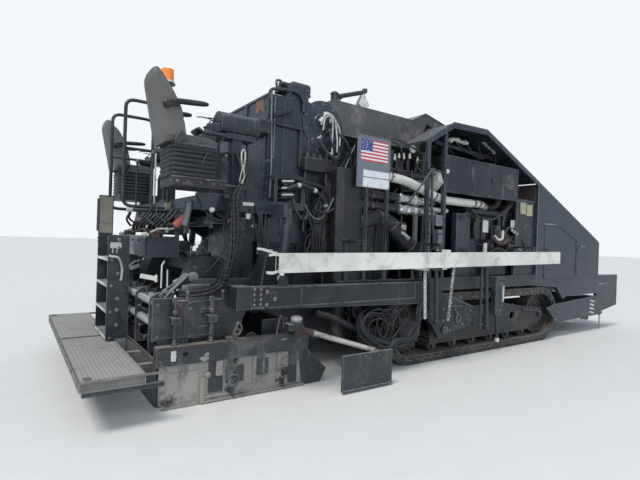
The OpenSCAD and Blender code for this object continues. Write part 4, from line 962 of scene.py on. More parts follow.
s = Shape(console)
for pts in (((-3.8, 0.02, -0.01), (-3.86, 0.02, 0.03), (-3.95, 0, 0.032), (-4.01, -0.01, 0.02)),
            ((-3.8, -0.05, -0.02), (-3.87, -0.06, 0.02), (-3.94, -0.05, 0.015)),
            ((-3.86, 0, 0.02), (-3.89, 0, -0.03), (-3.88, 0, -0.09))):
    s.hose(pts, 0.006, 0.02, 6)
s.box((-4.03, -0.14, -0.245), (-3.83, 0.1, -0.155), 0.03)
s.both("console_wires", "seat_*", "black_rubber")

s = Shape(console)
s.box((-3.86, -0.105, -0.115), (-3.795, 0.105, -0.02), 0.012)
s.box((-3.98, -0.12, -0.155), (-3.74, 0.12, -0.118), 0.01)
s.bar((-3.98, 0, -0.135), (-4.03, 0, -0.1), 0.03, 0.22, 0.008)
for y, h in ((-0.09, 0.06), (-0.055, 0.045), (-0.02, 0.07), (0.03, 0.05), (0.07, 0.06)):
    s.tube([(-3.9, y, -0.12), (-3.905, y, h - 0.118)], 0.005, 6)
    s.turned((-3.905, y, h - 0.118), UP, [(0.006, 0), (0.012, 0.006), (0.012, 0.016), (0.005, 0.022)], 10)
for y in (-0.075, -0.03, 0.02, 0.065):
    s.turned((-3.8, y, 0.02), BACK, [(0.012, 0), (0.013, 0.008), (0.009, 0.014)], 10)
s.both("console_levers", "seat_*", "console_plastic")

s = Shape(console)
s.hose([(-3.76, -0.1, -0.15), (-3.86, -0.17, -0.27), (-3.98, -0.22, -0.38), (-4.02, -0.225, -0.46)], 0.009)
s.turned((-4.02, -0.225, -0.46), DOWN, [(0.012, 0), (0.014, 0.01), (0.008, 0.03)], 10)
s.both("console_cable", "seat_*", "black_rubber")

s = Shape()
s.bolts([(x, SEAT_Y - 0.12, z) for x, z in ((-3.755, 2.09), (-3.54, 2.09), (-3.54, 2.46), (-3.74, 2.4),
                                            (-3.54, 2.28))], RIGHT, 0.01)
s.box((-3.77, SEAT_Y - 0.125, 2.105), (-3.52, SEAT_Y - 0.119, 2.115), 0.001)
s.both("console_bolts", "seat_*", "worn_steel")


# Right side: hoses, foil, braces and the open engine bay
def crumple(pts, r, seed, n=11, step=0.02, rough=0.16):
    """A tube wrapped in crumpled foil, with a wider ring at every seventh step."""
    line = curve(pts, step)
    rnd = random.Random(seed)
    s = Shape().tube(line, r, n)
    for i in range(len(s.v)):
        mid = line[i // n]
        wide = 1 + rnd.uniform(-rough, rough) + (0.12 if (i // n) % 7 == 3 else 0)
        s.v[i] = mid + (s.v[i] - mid) * wide
    return s


for name, r, seed, pts in (("upper_1", 0.058, 3, [(-1.235, 2.196), (-1.0, 2.192), (-0.8, 2.188)]),
                           ("upper_2", 0.05, 4, [(-0.79, 2.188), (-0.62, 2.184)]),
                           ("lower_1", 0.06, 5, [(-1.235, 2.058), (-1.05, 2.052), (-0.84, 2.048)]),
                           ("lower_2", 0.056, 6, [(-0.83, 2.048), (-0.66, 2.043), (-0.5, 2.041)])):
    crumple(at_y(PIPES_Y, pts), r, seed).fixed("foil_" + name, "alloy", "foil")
s = crumple([(-0.68, -1.205, 2.085), (-0.45, -1.21, 2.083), (-0.3, -1.21, 2.08)], 0.036, 7)
s.fixed("foil_lower_3", "alloy", "foil")

s = Shape()
for x, z, r in ((-1.242, 2.2, 0.06), (-1.242, 2.06, 0.06), (-0.84, 2.045, 0.052), (-0.49, 2.04, 0.05),
                (-0.55, 2.185, 0.05), (-1.7, 2.2, 0.06), (-1.7, 2.06, 0.06), (-1.96, 2.2, 0.06),
                (-1.96, 2.06, 0.06)):
    s.turned((x, PIPES_Y, z), AHEAD, [(r, -0.02), (r + 0.006, -0.018), (r + 0.006, 0.018), (r, 0.02)], 18)
    s.box((x - 0.014, PIPES_Y - r - 0.02, z - 0.012), (x + 0.014, PIPES_Y - r, z + 0.012), 0.003)
s.fixed("pipe_clamps", "worn_steel")

hose_line = curve([(-1.66, -1.28, 2.446), (-1.45, -1.276, 2.437), (-1.2, -1.27, 2.415),
                   (-0.85, -1.267, 2.325), (-0.5, -1.264, 2.236), (-0.2, -1.264, 2.226),
                   (0.1, -1.264, 2.225), (0.45, -1.22, 2.238), (0.69, -1.14, 2.21)], 0.05)

s = Shape()
for i in range(2, len(hose_line) - 1):
    p, q = hose_line[i], hose_line[i + 1]
    if i in (3, 20, 38, 41, 44, 46):
        d = (q - p).normalized()
        s.turned(p, d, [(0.0602, -0.012), (0.064, -0.01), (0.064, 0.01), (0.0602, 0.012)], 20)
        s.box((p.x - 0.012, p.y - 0.082, p.z - 0.008), (p.x + 0.014, p.y - 0.06, p.z + 0.012), 0.003)
s.fixed("hose_clamps", "bar_steel")

s = Shape()
s.hose([(0.69, -1.14, 2.21), (0.82, -1.12, 2.2), (0.95, -1.15, 2.25), (1.0, -1.17, 2.34)], 0.064, n=14)
s.hose([(-1.66, -1.28, 2.446), (-1.76, -1.275, 2.45), (-1.86, -1.22, 2.44), (-1.88, -1.13, 2.42)], 0.062,
       n=14)
s.turned((-1.67, -1.28, 2.447), BACK, [(0.06, -0.03), (0.072, -0.03), (0.072, 0.05), (0.06, 0.05)], 16)
s.fixed("hose_elbows", "black_rubber")

duct = curve(at_y(-1.215, [(-1.99, 1.84), (-1.9, 1.84), (-1.62, 1.915), (-1.48, 1.885), (-1.2, 1.675),
                           (-0.93, 1.475), (-0.83, 1.29), (-0.8, 1.1), (-0.8, 1.0)]), 0.004)

s = Shape()
wire = []
for i, (n, m) in enumerate(frames(duct)):
    a = i * 0.004 / 0.034 * TURN
    wire.append(duct[i] + (n * cos(a) + m * sin(a)) * 0.0965)
s.tube(wire[::2], 0.0055, 5)
s.fixed("duct_spiral", "black_rubber")

s = Shape()
for i, w in ((6, 0.03), (92, 0.028), (160, 0.02), (262, 0.02), (330, 0.018)):
    i = min(i, len(duct) - 3)
    s.turned(duct[i], duct[i + 1] - duct[i],
             [(0.1, -w / 2), (0.106, -w / 2), (0.106, w / 2), (0.1, w / 2)], 24)
s.fixed("duct_bands", "bar_steel")
s = crumple([(-1.3, -1.31, 1.74), (-1.24, -1.315, 1.7), (-1.16, -1.31, 1.66)], 0.022, 9, 8, 0.012, 0.4)
s.fixed("duct_scraps", "alloy", "foil")

s = Shape()
s.tube([(-1.343, -1.45, 2.1), (-0.905, -1.45, 2.585)], 0.014, 8)
s.tube([(-1.31, -1.415, 2.09), (-0.88, -1.415, 2.57)], 0.009, 8)
s.tube(at_y(-1.43, [(-0.885, 2.6), (-0.872, 2.1), (-0.8, 1.56)]), 0.017, 8)
s.box((-0.93, -1.46, 2.56), (-0.86, -1.4, 2.6), 0.006)
s.tube([(-0.9, -1.4, 2.58), (-0.86, -1.36, 2.62)], 0.015, 8)
s.tube([(-1.33, -1.44, 2.115), (-1.33, -1.2, 2.115)], 0.014, 8)
s.tube([(-0.8, -1.43, 1.57), (-0.8, -1.37, 1.5)], 0.015, 8)
s.fixed("braces", "dark_paint")

s = Shape().hose([(-0.8, -1.42, 2.54), (-0.95, -1.41, 2.5), (-1.1, -1.4, 2.56), (-1.13, -1.38, 2.66),
                  (-1.0, -1.36, 2.7), (-0.86, -1.36, 2.68), (-0.72, -1.37, 2.6), (-0.6, -1.385, 2.585),
                  (-0.54, -1.385, 2.6)], 0.01)
s.fixed("cable_loop", "black_rubber")

s = Shape().box((-0.545, -1.4, 2.58), (-0.5, -1.383, 2.64), 0.006)
s.turned((-0.522, -1.4, 2.61), RIGHT, [(0.014, 0), (0.018, 0.006), (0.012, 0.014)], 12)
s.fixed("roof_post_latch", "alloy", "pale")

s = Shape().box((-0.695, -1.375, 1.845), (-0.525, -1.255, 2.0), 0.01)
s.box((-0.66, -1.385, 1.51), (-0.575, -1.3, 1.8), 0.006)
s.fixed("relay_boxes", "dark_paint", "plate_grey")

s = Shape()
for z in (1.86, 1.985):
    s.bolts([(-0.68, -1.375, z), (-0.54, -1.375, z)], RIGHT, 0.007)
s.box((-1.36, -1.27, 1.755), (-1.28, -1.23, 1.825), 0.012)
s.box((-1.24, -1.27, 1.76), (-1.16, -1.23, 1.84), 0.012)
s.bar((-1.34, -1.275, 1.77), (-1.18, -1.275, 1.83), 0.02, 0.012)
s.turned((-0.78, -1.26, 1.9), UP, [(0.012, 0), (0.022, 0.02), (0.022, 0.06), (0.01, 0.08)], 12)
s.fixed("white_fittings", "alloy", "pale")

# Valves and lines behind the sign, between the duct and the roof posts
s = Shape()
s.box((-1.6, -1.1, 2.52), (-0.95, -0.95, 2.6), 0.01)
s.box((-1.55, -1.08, 2.6), (-1.38, -0.96, 2.86), 0.01)
s.box((-1.22, -1.09, 2.6), (-1.08, -0.96, 2.8), 0.01)
for x in (-1.3, -0.98, -0.82):
    s.tube([(x, -1.07, 2.56), (x, -1.07, 2.72), (x + 0.04, -1.06, 2.84)], 0.022, 8)
    s.turned((x, -1.07, 2.66), UP, [(0.03, 0), (0.034, 0.01), (0.034, 0.03), (0.03, 0.04)], 6)
s.box((-0.98, -1.16, 2.5), (-0.7, -0.96, 2.54), 0.006)
s.tube([(-0.76, -1.15, 2.56), (-0.755, -1.15, 2.86)], 0.05, 12)
s.hose([(-1.62, -1.05, 2.7), (-1.45, -1.12, 2.92), (-1.2, -1.12, 2.9), (-1.1, -1.1, 2.7)], 0.013)
s.hose([(-1.5, -1.06, 2.86), (-1.35, -1.14, 2.98), (-1.0, -1.13, 2.93), (-0.78, -1.15, 2.85)], 0.013)
s.tube([(-1.5, -1.02, 0.99), (-1.46, -1.02, 2.53)], 0.02, 8)
s.tube([(-1.02, -1.02, 0.99), (-1.02, -1.02, 2.53)], 0.02, 8)
s.fixed("valve_bank", "engine_iron")

s = Shape()
for x, z, h in ((-1.27, 2.7, 0.09), (-1.19, 2.74, 0.07), (-1.1, 2.735, 0.09), (-0.985, 2.76, 0.08),
                (-0.83, 2.72, 0.09)):
    s.turned((x, -1.11, z), UP, [(0.008, 0), (0.017, 0.008), (0.017, h * 0.6), (0.01, h * 0.62), (0.01, h)],
             10)
s.turned((-0.93, -1.11, 2.9), RIGHT, [(0.03, -0.02), (0.05, -0.015), (0.054, 0.0), (0.05, 0.012)], 20)
s.fixed("valve_fittings", "bar_steel", "pale")

s = Shape()
for k, (a, b, c, d) in enumerate((((-1.55, -1.15, 2.6), (-1.6, -1.2, 2.36), (-1.42, -1.22, 2.24),
                                   (-1.25, -1.16, 2.32)),
                                  ((-1.42, -1.14, 2.62), (-1.38, -1.22, 2.48), (-1.18, -1.22, 2.44),
                                   (-1.08, -1.15, 2.52)),
                                  ((-1.22, -1.13, 2.6), (-1.24, -1.2, 2.36), (-1.1, -1.19, 2.3),
                                   (-0.98, -1.12, 2.5)),
                                  ((-0.96, -1.13, 2.6), (-0.99, -1.2, 2.42), (-0.84, -1.2, 2.36),
                                   (-0.74, -1.14, 2.5)),
                                  ((-1.58, -1.12, 2.8), (-1.7, -1.16, 2.62), (-1.8, -1.14, 2.5),
                                   (-1.9, -1.1, 2.46)))):
    s.hose([a, b, c, d], 0.012 + 0.002 * (k % 2))
s.fixed("valve_hoses", "black_rubber")

# Engine bay: covers, lines, pulleys
s = Shape()
s.box((-0.17, -1.3, 1.1), (0.14, -1.2, 2.06), 0.008)
s.box((0.17, -1.245, 1.5), (0.38, -1.222, 2.04), 0.006)
for x in (-0.12, -0.05, 0.02, 0.09):
    s.box((x, -1.306, 1.2), (x + 0.02, -1.298, 1.95), 0.003)
s.fixed("engine_side_cover", "slate_paint")

s = Shape()
for x in (0.29, 0.44):
    s.turned((x, -1.284, 1.705), UP, [(0.045, 0), (0.0605, 0.012), (0.0615, 0.02), (0.0615, 0.1),
                                      (0.0602, 0.102)], 20)
    s.bolts([(x, -1.284, 2.02)], UP, 0.016)
s.turned((0.8, -1.325, 1.83), RIGHT, [(0.085, 0), (0.085, 0.01), (0.06, 0.014), (0.06, 0.024),
                                      (0.02, 0.03)], 22)
for a in angles(10):
    x, z = 0.8 + 0.072 * cos(a), 1.83 + 0.072 * sin(a)
    s.box((x - 0.007, -1.3395, z - 0.007), (x + 0.007, -1.334, z + 0.007), 0.001)
s.ring((1.288, -1.297, 1.64), LEFT, 0.125, 0.009, 32, 6)
s.bolts([(1.288 + 0.1 * cos(a), -1.295, 1.64 + 0.1 * sin(a)) for a in angles(8)], RIGHT, 0.009)
s.bolts([(1.313 + 0.315 * cos(a), -1.29, 1.965 + 0.315 * sin(a))
         for a in [pi * (k + 0.5) / 7 for k in range(7)]], RIGHT, 0.01)
s.bolts(grid(0.56, -1.3, (1.18, 1.3, 1.41)) + grid(1.04, -1.3, (1.18, 1.3, 1.41)), RIGHT, 0.012)
s.turned((0.64, -1.312, 1.6), RIGHT, [(0.07, 0), (0.075, 0.006), (0.03, 0.014), (0.03, 0.03)], 18)
s.fixed("engine_parts", "engine_iron")

s = Shape()
s.hose([(0.19, -1.3, 2.1), (0.3, -1.34, 2.02), (0.46, -1.35, 1.99), (0.7, -1.345, 2.03),
        (0.95, -1.33, 2.16)], 0.016)
s.hose([(0.24, -1.33, 1.97), (0.16, -1.35, 1.82), (0.22, -1.35, 1.65), (0.36, -1.34, 1.6)], 0.014)
s.hose([(0.47, -1.32, 1.95), (0.58, -1.35, 1.86), (0.6, -1.35, 1.7), (0.64, -1.33, 1.62)], 0.014)
s.hose([(0.95, -1.29, 1.6), (0.98, -1.34, 1.8), (1.06, -1.34, 1.9), (1.2, -1.31, 1.86)], 0.018)
s.hose([(0.62, -1.3, 1.5), (0.78, -1.345, 1.56), (1.0, -1.345, 1.53), (1.14, -1.31, 1.6)], 0.022)
s.hose([(1.4, -1.3, 1.8), (1.5, -1.34, 1.66), (1.6, -1.32, 1.45), (1.62, -1.28, 1.15), (1.6, -1.2, 0.99)],
       0.02)
s.hose([(-0.1, -1.31, 1.96), (-0.02, -1.35, 2.07), (0.1, -1.35, 2.05), (0.16, -1.3, 2.0)], 0.012)
s.fixed("engine_hoses", "black_rubber")

s = Shape()
s.tube([(0.5, -1.31, 1.44), (0.5, -1.31, 1.64)], 0.034, 12)
s.hose([(0.72, -1.31, 1.76), (0.8, -1.335, 1.7), (0.9, -1.335, 1.72), (0.96, -1.31, 1.84)], 0.024, 0.02, 10)
for k in range(3):
    s.turned((1.17 + 0.07 * k, -1.33, 1.84 - 0.03 * k), (0.1, -0.2, 1),
             [(0.01, 0), (0.02, 0.01), (0.02, 0.04), (0.012, 0.05)], 10)
s.box((1.17, -1.32, 1.9), (1.31, -1.295, 2.03), 0.01)
s.box((0.37, -1.362, 1.8), (0.5, -1.345, 2.0), 0.012)
s.hose([(1.1, -1.3, 1.56), (1.22, -1.335, 1.6), (1.4, -1.335, 1.56), (1.5, -1.3, 1.54)], 0.016)
s.fixed("engine_pale_parts", "alloy", "pale")

s = Shape()
s.hose([(0.68, -1.32, 1.74), (0.76, -1.345, 1.66), (0.93, -1.345, 1.64), (1.06, -1.335, 1.7)], 0.03, n=10)
s.box((0.94, -1.34, 1.66), (1.09, -1.3, 1.8), 0.012)
s.turned((1.05, -1.33, 1.6), AHEAD, [(0.03, 0), (0.045, 0.01), (0.045, 0.09), (0.03, 0.1)], 14)
s.fixed("rusty_manifold", "engine_iron", "rust")

# Near-black plates that close the bay behind all this: painted shade of the bay's deep inside
s = Shape()
s.plate("y", -0.632, -0.624, [(-2.43, 1.0), (-2.21, 1.0), (-2.21, 2.3), (-0.95, 2.3), (-0.95, 2.948),
                              (-2.43, 2.948)])
for x in (-2.3, -2.0, -1.6, -1.2):
    s.box((x, -0.66, 2.64), (x + 0.03, -0.632, 2.94), 0.004)
s.fixed("bay_inner_panel", "engine_iron")

# Under the roof
s = Shape()
s.hose([(-0.25, -1.17, 3.13), (-0.1, -1.16, 3.16), (0.06, -1.16, 3.14), (0.2, -1.15, 3.15)], 0.026, n=10)
s.tube([(0.585, -1.15, 3.245), (0.9, -1.15, 3.1)], 0.03, 10)
for p in ((-0.2, 3.13), (-0.05, 3.155), (0.12, 3.145), (0.62, 3.23), (0.84, 3.13)):
    s.turned((p[0], -1.16, p[1]), AHEAD, [(0.03, -0.02), (0.038, -0.016), (0.038, 0.016), (0.03, 0.02)], 12)
s.fixed("roof_pipes", "bar_steel", "pale")

s = Shape()
for pts in (((-0.35, -1.15, 3.1), (-0.26, -1.17, 2.99), (-0.15, -1.18, 2.93), (-0.1, -1.1, 2.87)),
            ((-0.1, -1.15, 3.14), (0.1, -1.17, 3.03), (0.38, -1.17, 2.97), (0.6, -1.17, 3.0),
             (0.86, -1.15, 3.12)),
            ((0.2, -1.14, 3.14), (0.32, -1.18, 3.0), (0.5, -1.18, 2.95), (0.72, -1.17, 3.04),
             (0.8, -1.15, 3.16)),
            ((0.5, -1.12, 3.22), (0.52, -1.15, 3.05), (0.46, -1.15, 2.93), (0.45, -1.1, 2.86)),
            ((0.9, -1.14, 3.1), (0.93, -1.16, 3.0), (0.9, -1.15, 2.92), (0.85, -1.1, 2.86))):
    s.hose(pts, 0.012)
s.fixed("roof_cables", "black_rubber")

s = Shape()
s.box((-0.46, -1.0, 3.02), (-0.3, -0.93, 3.2), 0.01)
s.box((-0.3, -1.1, 2.86), (0.95, -1.06, 2.9), 0.006)
s.bar((-0.44, -1.08, 3.08), (1.0, -1.08, 3.02), 0.05, 0.03)
s.fixed("roof_brackets", "dark_paint")

# Locker: ribs, straps, latch and the bare round patch
s = Shape()
for x in (-0.5, -0.05, 0.08, 0.47, 0.8, 1.235):
    s.box((x, -1.3715, 2.34), (x + 0.012, -1.363, 2.84), 0.003)
s.box((-0.52, -1.3715, 2.335), (1.248, -1.363, 2.347), 0.003)
s.box((-0.52, -1.3715, 2.833), (1.248, -1.363, 2.845), 0.003)
s.bolts(grid((-0.47, 0.0, 0.5, 1.2), -1.365, (2.37, 2.81)), RIGHT, 0.007)
s.box((0.56, -1.384, 2.56), (0.64, -1.363, 2.62), 0.006)
s.fixed("locker_trim", "streaked_paint")

s = Shape().turned((1.02, -1.3655, 2.62), RIGHT, [(0.12, 0), (0.12, 0.0015)], 28)
s.fixed("locker_round_patch", "streaked_paint", "faded")

s = Shape().box((1.38, -1.345, 2.14), (1.55, -1.341, 2.33), 0.002)
s.box((1.57, -1.345, 2.12), (1.74, -1.341, 2.31), 0.002)
s.fixed("yellow_plates", "sign_sheet", "yellow")

s = Shape()
s.box((1.27, -1.34, 1.0), (1.3, -1.3, 2.66), 0.004)
s.box((1.3, -1.338, 1.04), (1.84, -1.334, 2.36), 0.003)
s.box((1.3, -1.345, 2.36), (1.84, -1.325, 2.38), 0.003)
s.turned((1.62, -1.338, 1.84), RIGHT, [(0.13, 0), (0.13, 0.006), (0.11, 0.008)], 26)
s.bolts(grid((1.36, 1.56, 1.78), -1.338, (1.1, 1.45, 2.32)), RIGHT, 0.009)
s.fixed("bay_rear_panel", "dark_paint")

# Pale intake hood beside the locker
s = Shape()
face = [(-0.799, 2.532), (-0.951, 2.635), (-1.31, 2.624), (-1.375, 2.45), (-1.261, 2.336), (-0.964, 2.357)]
s.plate("x", -0.6, -0.585, face)
mid = [(-1.11 + (y + 1.11) * 0.86, 2.49 + (z - 2.49) * 0.86) for y, z in face]
s.plate("x", -0.612, -0.6, mid)
s.bolts([(-0.6, -1.11 + (y + 1.11) * 0.93, 2.49 + (z - 2.49) * 0.93) for y, z in face], BACK, 0.008)
s.fixed("intake_hood", "white_rubber", "pale")

# Screed, extensions and end gates
s = Shape()
for dx in (-0.048, 0.048):
    for z in (0.76, 0.96):
        for y0, y1 in ((-0.039, -0.0005), (-0.579, -0.0905), (-1.119, -0.6305), (-1.229, -1.1705)):
            s.turned((TUBE_X + dx, y0, z), LEFT, [(0.0385, 0), (0.0385, y1 - y0)], 48)
s.both("guide_tube_chrome", "screed", "chrome_rod")

s = Shape()
for y in (-0.09, -0.63, -1.17):
    s.bolts([(TUBE_X, y, 1.03), (TUBE_X, y, 0.985)], RIGHT, 0.014)
    s.bolts([(-4.355, y, 0.86), (-4.225, y, 0.86), (-4.34, y, 0.66), (-4.24, y, 0.66), (TUBE_X, y, 0.53)],
            RIGHT, 0.012)
    s.ring((TUBE_X, y, 0.86), LEFT, 0.053, 0.004, 28, 6)
    s.ring((TUBE_X, y, 0.61), LEFT, 0.063, 0.004, 28, 6)
s.both("bulkhead_bolts", "screed", "worn_steel")

# Channel lever beside each housing: flanges, rounded head and rod eye
s = Shape()
a, b = V((-4.3, -1.14, 0.965)), V((-4.03, -1.14, 1.225))
for y in (-1.143, -1.075):
    s.bar(a + V((0, y + 1.14, 0)), b + V((0, y + 1.14, 0)), 0.01, 0.085, 0.002)
s.turned((-3.975, -1.1125, 1.19), RIGHT, [(0.04, 0), (0.052, 0.004), (0.052, 0.034), (0.03, 0.038),
                                          (0.03, 0.046)], 24)
s.turned((-4.24, -1.1125, 1.045), RIGHT, [(0.03, 0), (0.034, 0.004), (0.034, 0.028), (0.02, 0.032)], 20)
s.box((-4.1, -1.2, 0.86), (-4.03, -1.14, 1.12), 0.01)
s.both("levelling_lever", "screed", "screed_steel", "plate_grey")

s = Shape()
s.bar((-4.44, -0.98, 1.2), (-4.29, -1.02, 1.17), 0.045, 0.012, 0.004)
s.turned((-4.3, -1.02, 1.14), UP, [(0.014, 0), (0.014, 0.06), (0.008, 0.07)], 10)
s.tube([(-4.25, -1.02, 1.08), (-4.25, -1.02, 1.3), (-4.22, -1.0, 1.34)], 0.008, 8)
s.tube([(-4.2, -1.05, 1.06), (-4.2, -1.04, 1.26)], 0.007, 8)
s.bar((-4.12, -0.98, 1.12), (-4.0, -0.96, 1.17), 0.05, 0.012, 0.004)
s.both("screed_levers", "screed", "alloy", "pale")

s = Shape()
s.box((-4.2, -1.292, 0.84), (-4.1, -1.272, 1.0), 0.01)
s.box((-4.185, -1.302, 0.9), (-4.12, -1.29, 0.96), 0.008)
s.bolts([(-4.15, -1.302, 0.93)], RIGHT, 0.014)
s.both("rusty_bracket", "extension_*", "gate_steel", "rust")

s = Shape()
s.box((-4.18, -1.2785, 0.585), (-4.165, -1.269, 0.88), 0.002)
s.box((-4.1, -1.2785, 0.585), (-4.088, -1.269, 0.84), 0.002)
s.hose(at_y(-1.27, [(-4.093, 0.6), (-4.093, 0.86), (-4.075, 0.93), (-4.02, 0.965), (-3.81, 0.975)]),
       0.008, 0.02, 6)
s.bolts(at_y(-1.27, [(-4.04, 0.9), (-3.84, 0.9), (-4.34, 0.95)]), RIGHT, 0.012)
s.bolts(at_y(-1.27, [(-3.84, 0.65), (-4.04, 0.65), (-4.34, 0.66)]), RIGHT, 0.008)
s.box((-3.94, -1.276, 0.86), (-3.86, -1.27, 0.9), 0.002)
s.box((-3.94, -1.276, 0.72), (-3.87, -1.27, 0.735), 0.002)
s.box((-4.37, -1.276, 0.635), (-3.82, -1.27, 0.648), 0.002)
s.both("extension_plate_trim", "extension_*", "screed_steel")

# Dark sheets in the extension plate's two slots: painted shade of the openings
s = Shape()
s.box((-3.93, -1.2725, 0.82), (-3.85, -1.2695, 0.895), 0.001)
s.box((-3.945, -1.2725, 0.735), (-3.875, -1.2695, 0.755), 0.001)
s.both("extension_dark_slots", "extension_*", "black_rubber")

# Hoses that drop onto each housing from the deck side
s = Shape()
for k, (dy, dz) in enumerate(((0, 0), (0.035, 0.012), (0.015, 0.035))):
    s.hose([(-4.14, -1.24 + dy * 0.5, 1.03 + dz), (-3.96, -1.27 + dy, 1.03 + dz),
            (-3.82, -1.27 + dy, 1.06 + dz), (-3.71, -1.26 + dy, 1.13 + dz), (-3.66, -1.22 + dy, 1.24 + dz),
            (-3.68, -1.13 + dy, 1.34 + dz), (-3.74, -1.05, 1.39)], 0.016)
for p in ((-3.96, 1.03), (-3.8, 1.075), (-3.7, 1.15)):
    s.ring((p[0], -1.25, p[1] + 0.015), (1, 0, 0.5), 0.038, 0.005, 18, 6)
s.both("screed_hoses", "screed", "black_rubber")

s = Shape()
s.box((-4.04, -1.24, 1.03), (-3.83, -1.1, 1.13), 0.01)
s.bolts(grid(-3.86, -1.072, (0.75, 1.0, 1.28)) + grid(-3.94, -1.072, (0.75, 1.0, 1.28)), RIGHT, 0.013)
s.box((-3.9, -1.0, 1.39), (-3.74, -0.8, 1.44), 0.012)
s.turned((-3.82, -0.9, 1.44), UP, [(0.05, 0), (0.05, 0.03), (0.03, 0.04), (0.03, 0.07)], 18)
s.hose([(-3.82, -0.9, 1.5), (-3.83, -0.96, 1.55), (-3.84, -1.02, 1.5), (-3.8, -1.03, 1.42)], 0.014, 0.02)
s.both("housing_fittings", "screed", "screed_steel")

s = Shape()
for y in (-0.3, -0.86):
    s.box((-3.99, y - 0.09, 0.48), (-3.7, y + 0.09, 0.62), 0.012)
    s.turned((-3.85, y, 0.62), UP, [(0.05, 0), (0.05, 0.05), (0.03, 0.06), (0.03, 0.16)], 16)
    s.hose([(-3.85, y, 0.76), (-3.9, y + 0.08, 0.88), (-4.0, y + 0.1, 0.92), (-4.05, y + 0.02, 0.85)],
           0.016)
s.hose([(-3.66, -0.05, 0.62), (-3.7, -0.3, 0.7), (-3.68, -0.6, 0.64), (-3.66, -0.66, 0.6)], 0.02, 0.04)
s.both("heater_boxes", "screed", "screed_steel")

# End gates
s = Shape()
outline = [(-4.335, 0.061), (-4.335, 0.404), (-2.86, 0.404), (-2.8, 0.001), (-4.245, 0.001)]
s.plate("y", GATE_Y, -1.3452, outline)
for x0, x1, z0, z1, d in ((-4.27, -3.97, 0.05, 0.335, 0.006), (-3.8, -3.73, 0.25, 0.403, 0.03),
                          (-3.67, -3.62, 0.06, 0.403, 0.018), (-3.4, -3.36, 0.12, 0.403, 0.016),
                          (-3.29, -3.26, 0.1, 0.403, 0.016), (-3.12, -3.07, 0.06, 0.403, 0.022),
                          (-3.93, -3.6, 0.045, 0.075, 0.012)):
    s.box((x0, GATE_Y - d, z0), (x1, -1.347, z1), 0.006)
s.both("gate_lower_skin", "end_gate_*", "gate_steel", "mould")

s = Shape()
s.box((-3.95, -1.375, 0.006), (-2.78, -1.348, 0.028), 0.006)
s.box((-3.95, -1.372, 0.01), (-3.905, -1.348, 0.255), 0.006)
s.tube(at_y(-1.35, [(-4.33, 0.062), (-4.25, 0.008), (-3.95, 0.008)]), 0.01, 6)
s.turned((-3.88, -1.348, 0.272), RIGHT, [(0.034, 0), (0.034, 0.02), (0.022, 0.03), (0.01, 0.034)], 8)
s.both("gate_edges", "end_gate_*", "gate_steel", "tan")

s = Shape()
for x in (-3.62, -3.05):
    s.box((x - 0.05, -1.376, 0.06), (x + 0.02, -1.348, 0.15), 0.01)
    s.hose([(x - 0.07, -1.37, 0.2), (x - 0.02, -1.385, 0.24), (x + 0.05, -1.385, 0.22),
            (x + 0.03, -1.385, 0.15), (x - 0.03, -1.385, 0.13)], 0.011, 0.015)
    s.tube([(x, -1.38, 0.03), (x, -1.38, 0.21)], 0.014, 8)
    s.turned((x + 0.04, -1.365, 0.19), RIGHT, [(0.03, 0), (0.034, 0.008), (0.02, 0.02)], 14)
    s.bar((x - 0.08, -1.365, 0.1), (x + 0.06, -1.365, 0.17), 0.03, 0.012)
s.both("gate_latches", "end_gate_*", "gate_steel", "screed_steel")

s = Shape()
s.box((-3.69, -1.362, 0.16), (-3.5, GATE_Y, 0.33), 0.02)
s.box((-3.87, -1.357, 0.09), (-3.72, GATE_Y, 0.395), 0.01)
s.box((-3.36, -1.356, 0.19), (-3.22, GATE_Y, 0.36), 0.02)
s.box((-2.98, -1.356, 0.05), (-2.87, GATE_Y, 0.395), 0.01)
s.both("gate_pressed_panel", "end_gate_*", "gate_steel")

s = Shape()
s.turned((-4.217, -1.3805, 0.495), RIGHT, [(0.026, 0), (0.026, 0.0015)], 20)
s.box((-4.24, -1.3822, 0.448), (-4.195, -1.3802, 0.542), 0.001)
s.both("gate_label_blank", "end_gate_*", "alloy", "pale")

# A dark sheet in the gate's keyhole slot: painted shade of the opening
s = Shape()
s.turned((-4.107, -1.3803, 0.512), RIGHT, [(0.024, 0), (0.024, 0.001)], 16)
s.box((-4.131, -1.3813, 0.468), (-4.083, -1.3803, 0.512), 0.0005)
s.both("gate_slot_dark", "end_gate_*", "black_rubber")

s = Shape()
s.bolts(grid(-3.352, FACE_Y, (0.43, 0.455, 0.48, 0.505, 0.53)), RIGHT, 0.006)
s.bolts(grid((-4.33, -2.8), FACE_Y, (0.45, 0.54)), RIGHT, 0.012)
for k in range(9):
    x = -4.366 + 0.18 * k
    s.box((x, -1.3835, 0.572 - 0.006 * (k % 3)), (x + 0.12 + 0.05 * (k % 2), -1.379, 0.5815), 0.002)
s.box((-4.371, -1.381, 0.41), (-4.364, -1.279, 0.575), 0.003)
s.both("gate_beam_trim", "end_gate_*", "gate_steel", "rust")

s = Shape()
for k, (x0, z0, w, h) in enumerate(((-3.98, 0.41, 0.11, 0.06), (-3.93, 0.45, 0.06, 0.05),
                                    (-3.1, 0.52, 0.1, 0.03), (-3.6, 0.54, 0.16, 0.02))):
    rnd = random.Random(k)
    chip = []
    for a in angles(11):
        x = x0 + w * (0.5 + 0.5 * cos(a) * rnd.uniform(0.6, 1))
        z = z0 + h * (0.5 + 0.5 * sin(a) * rnd.uniform(0.6, 1))
        chip.append((x, z))
    s.plate("y", -1.3808, -1.3801, chip)
s.both("gate_chips", "end_gate_*", "gate_steel", "mould")

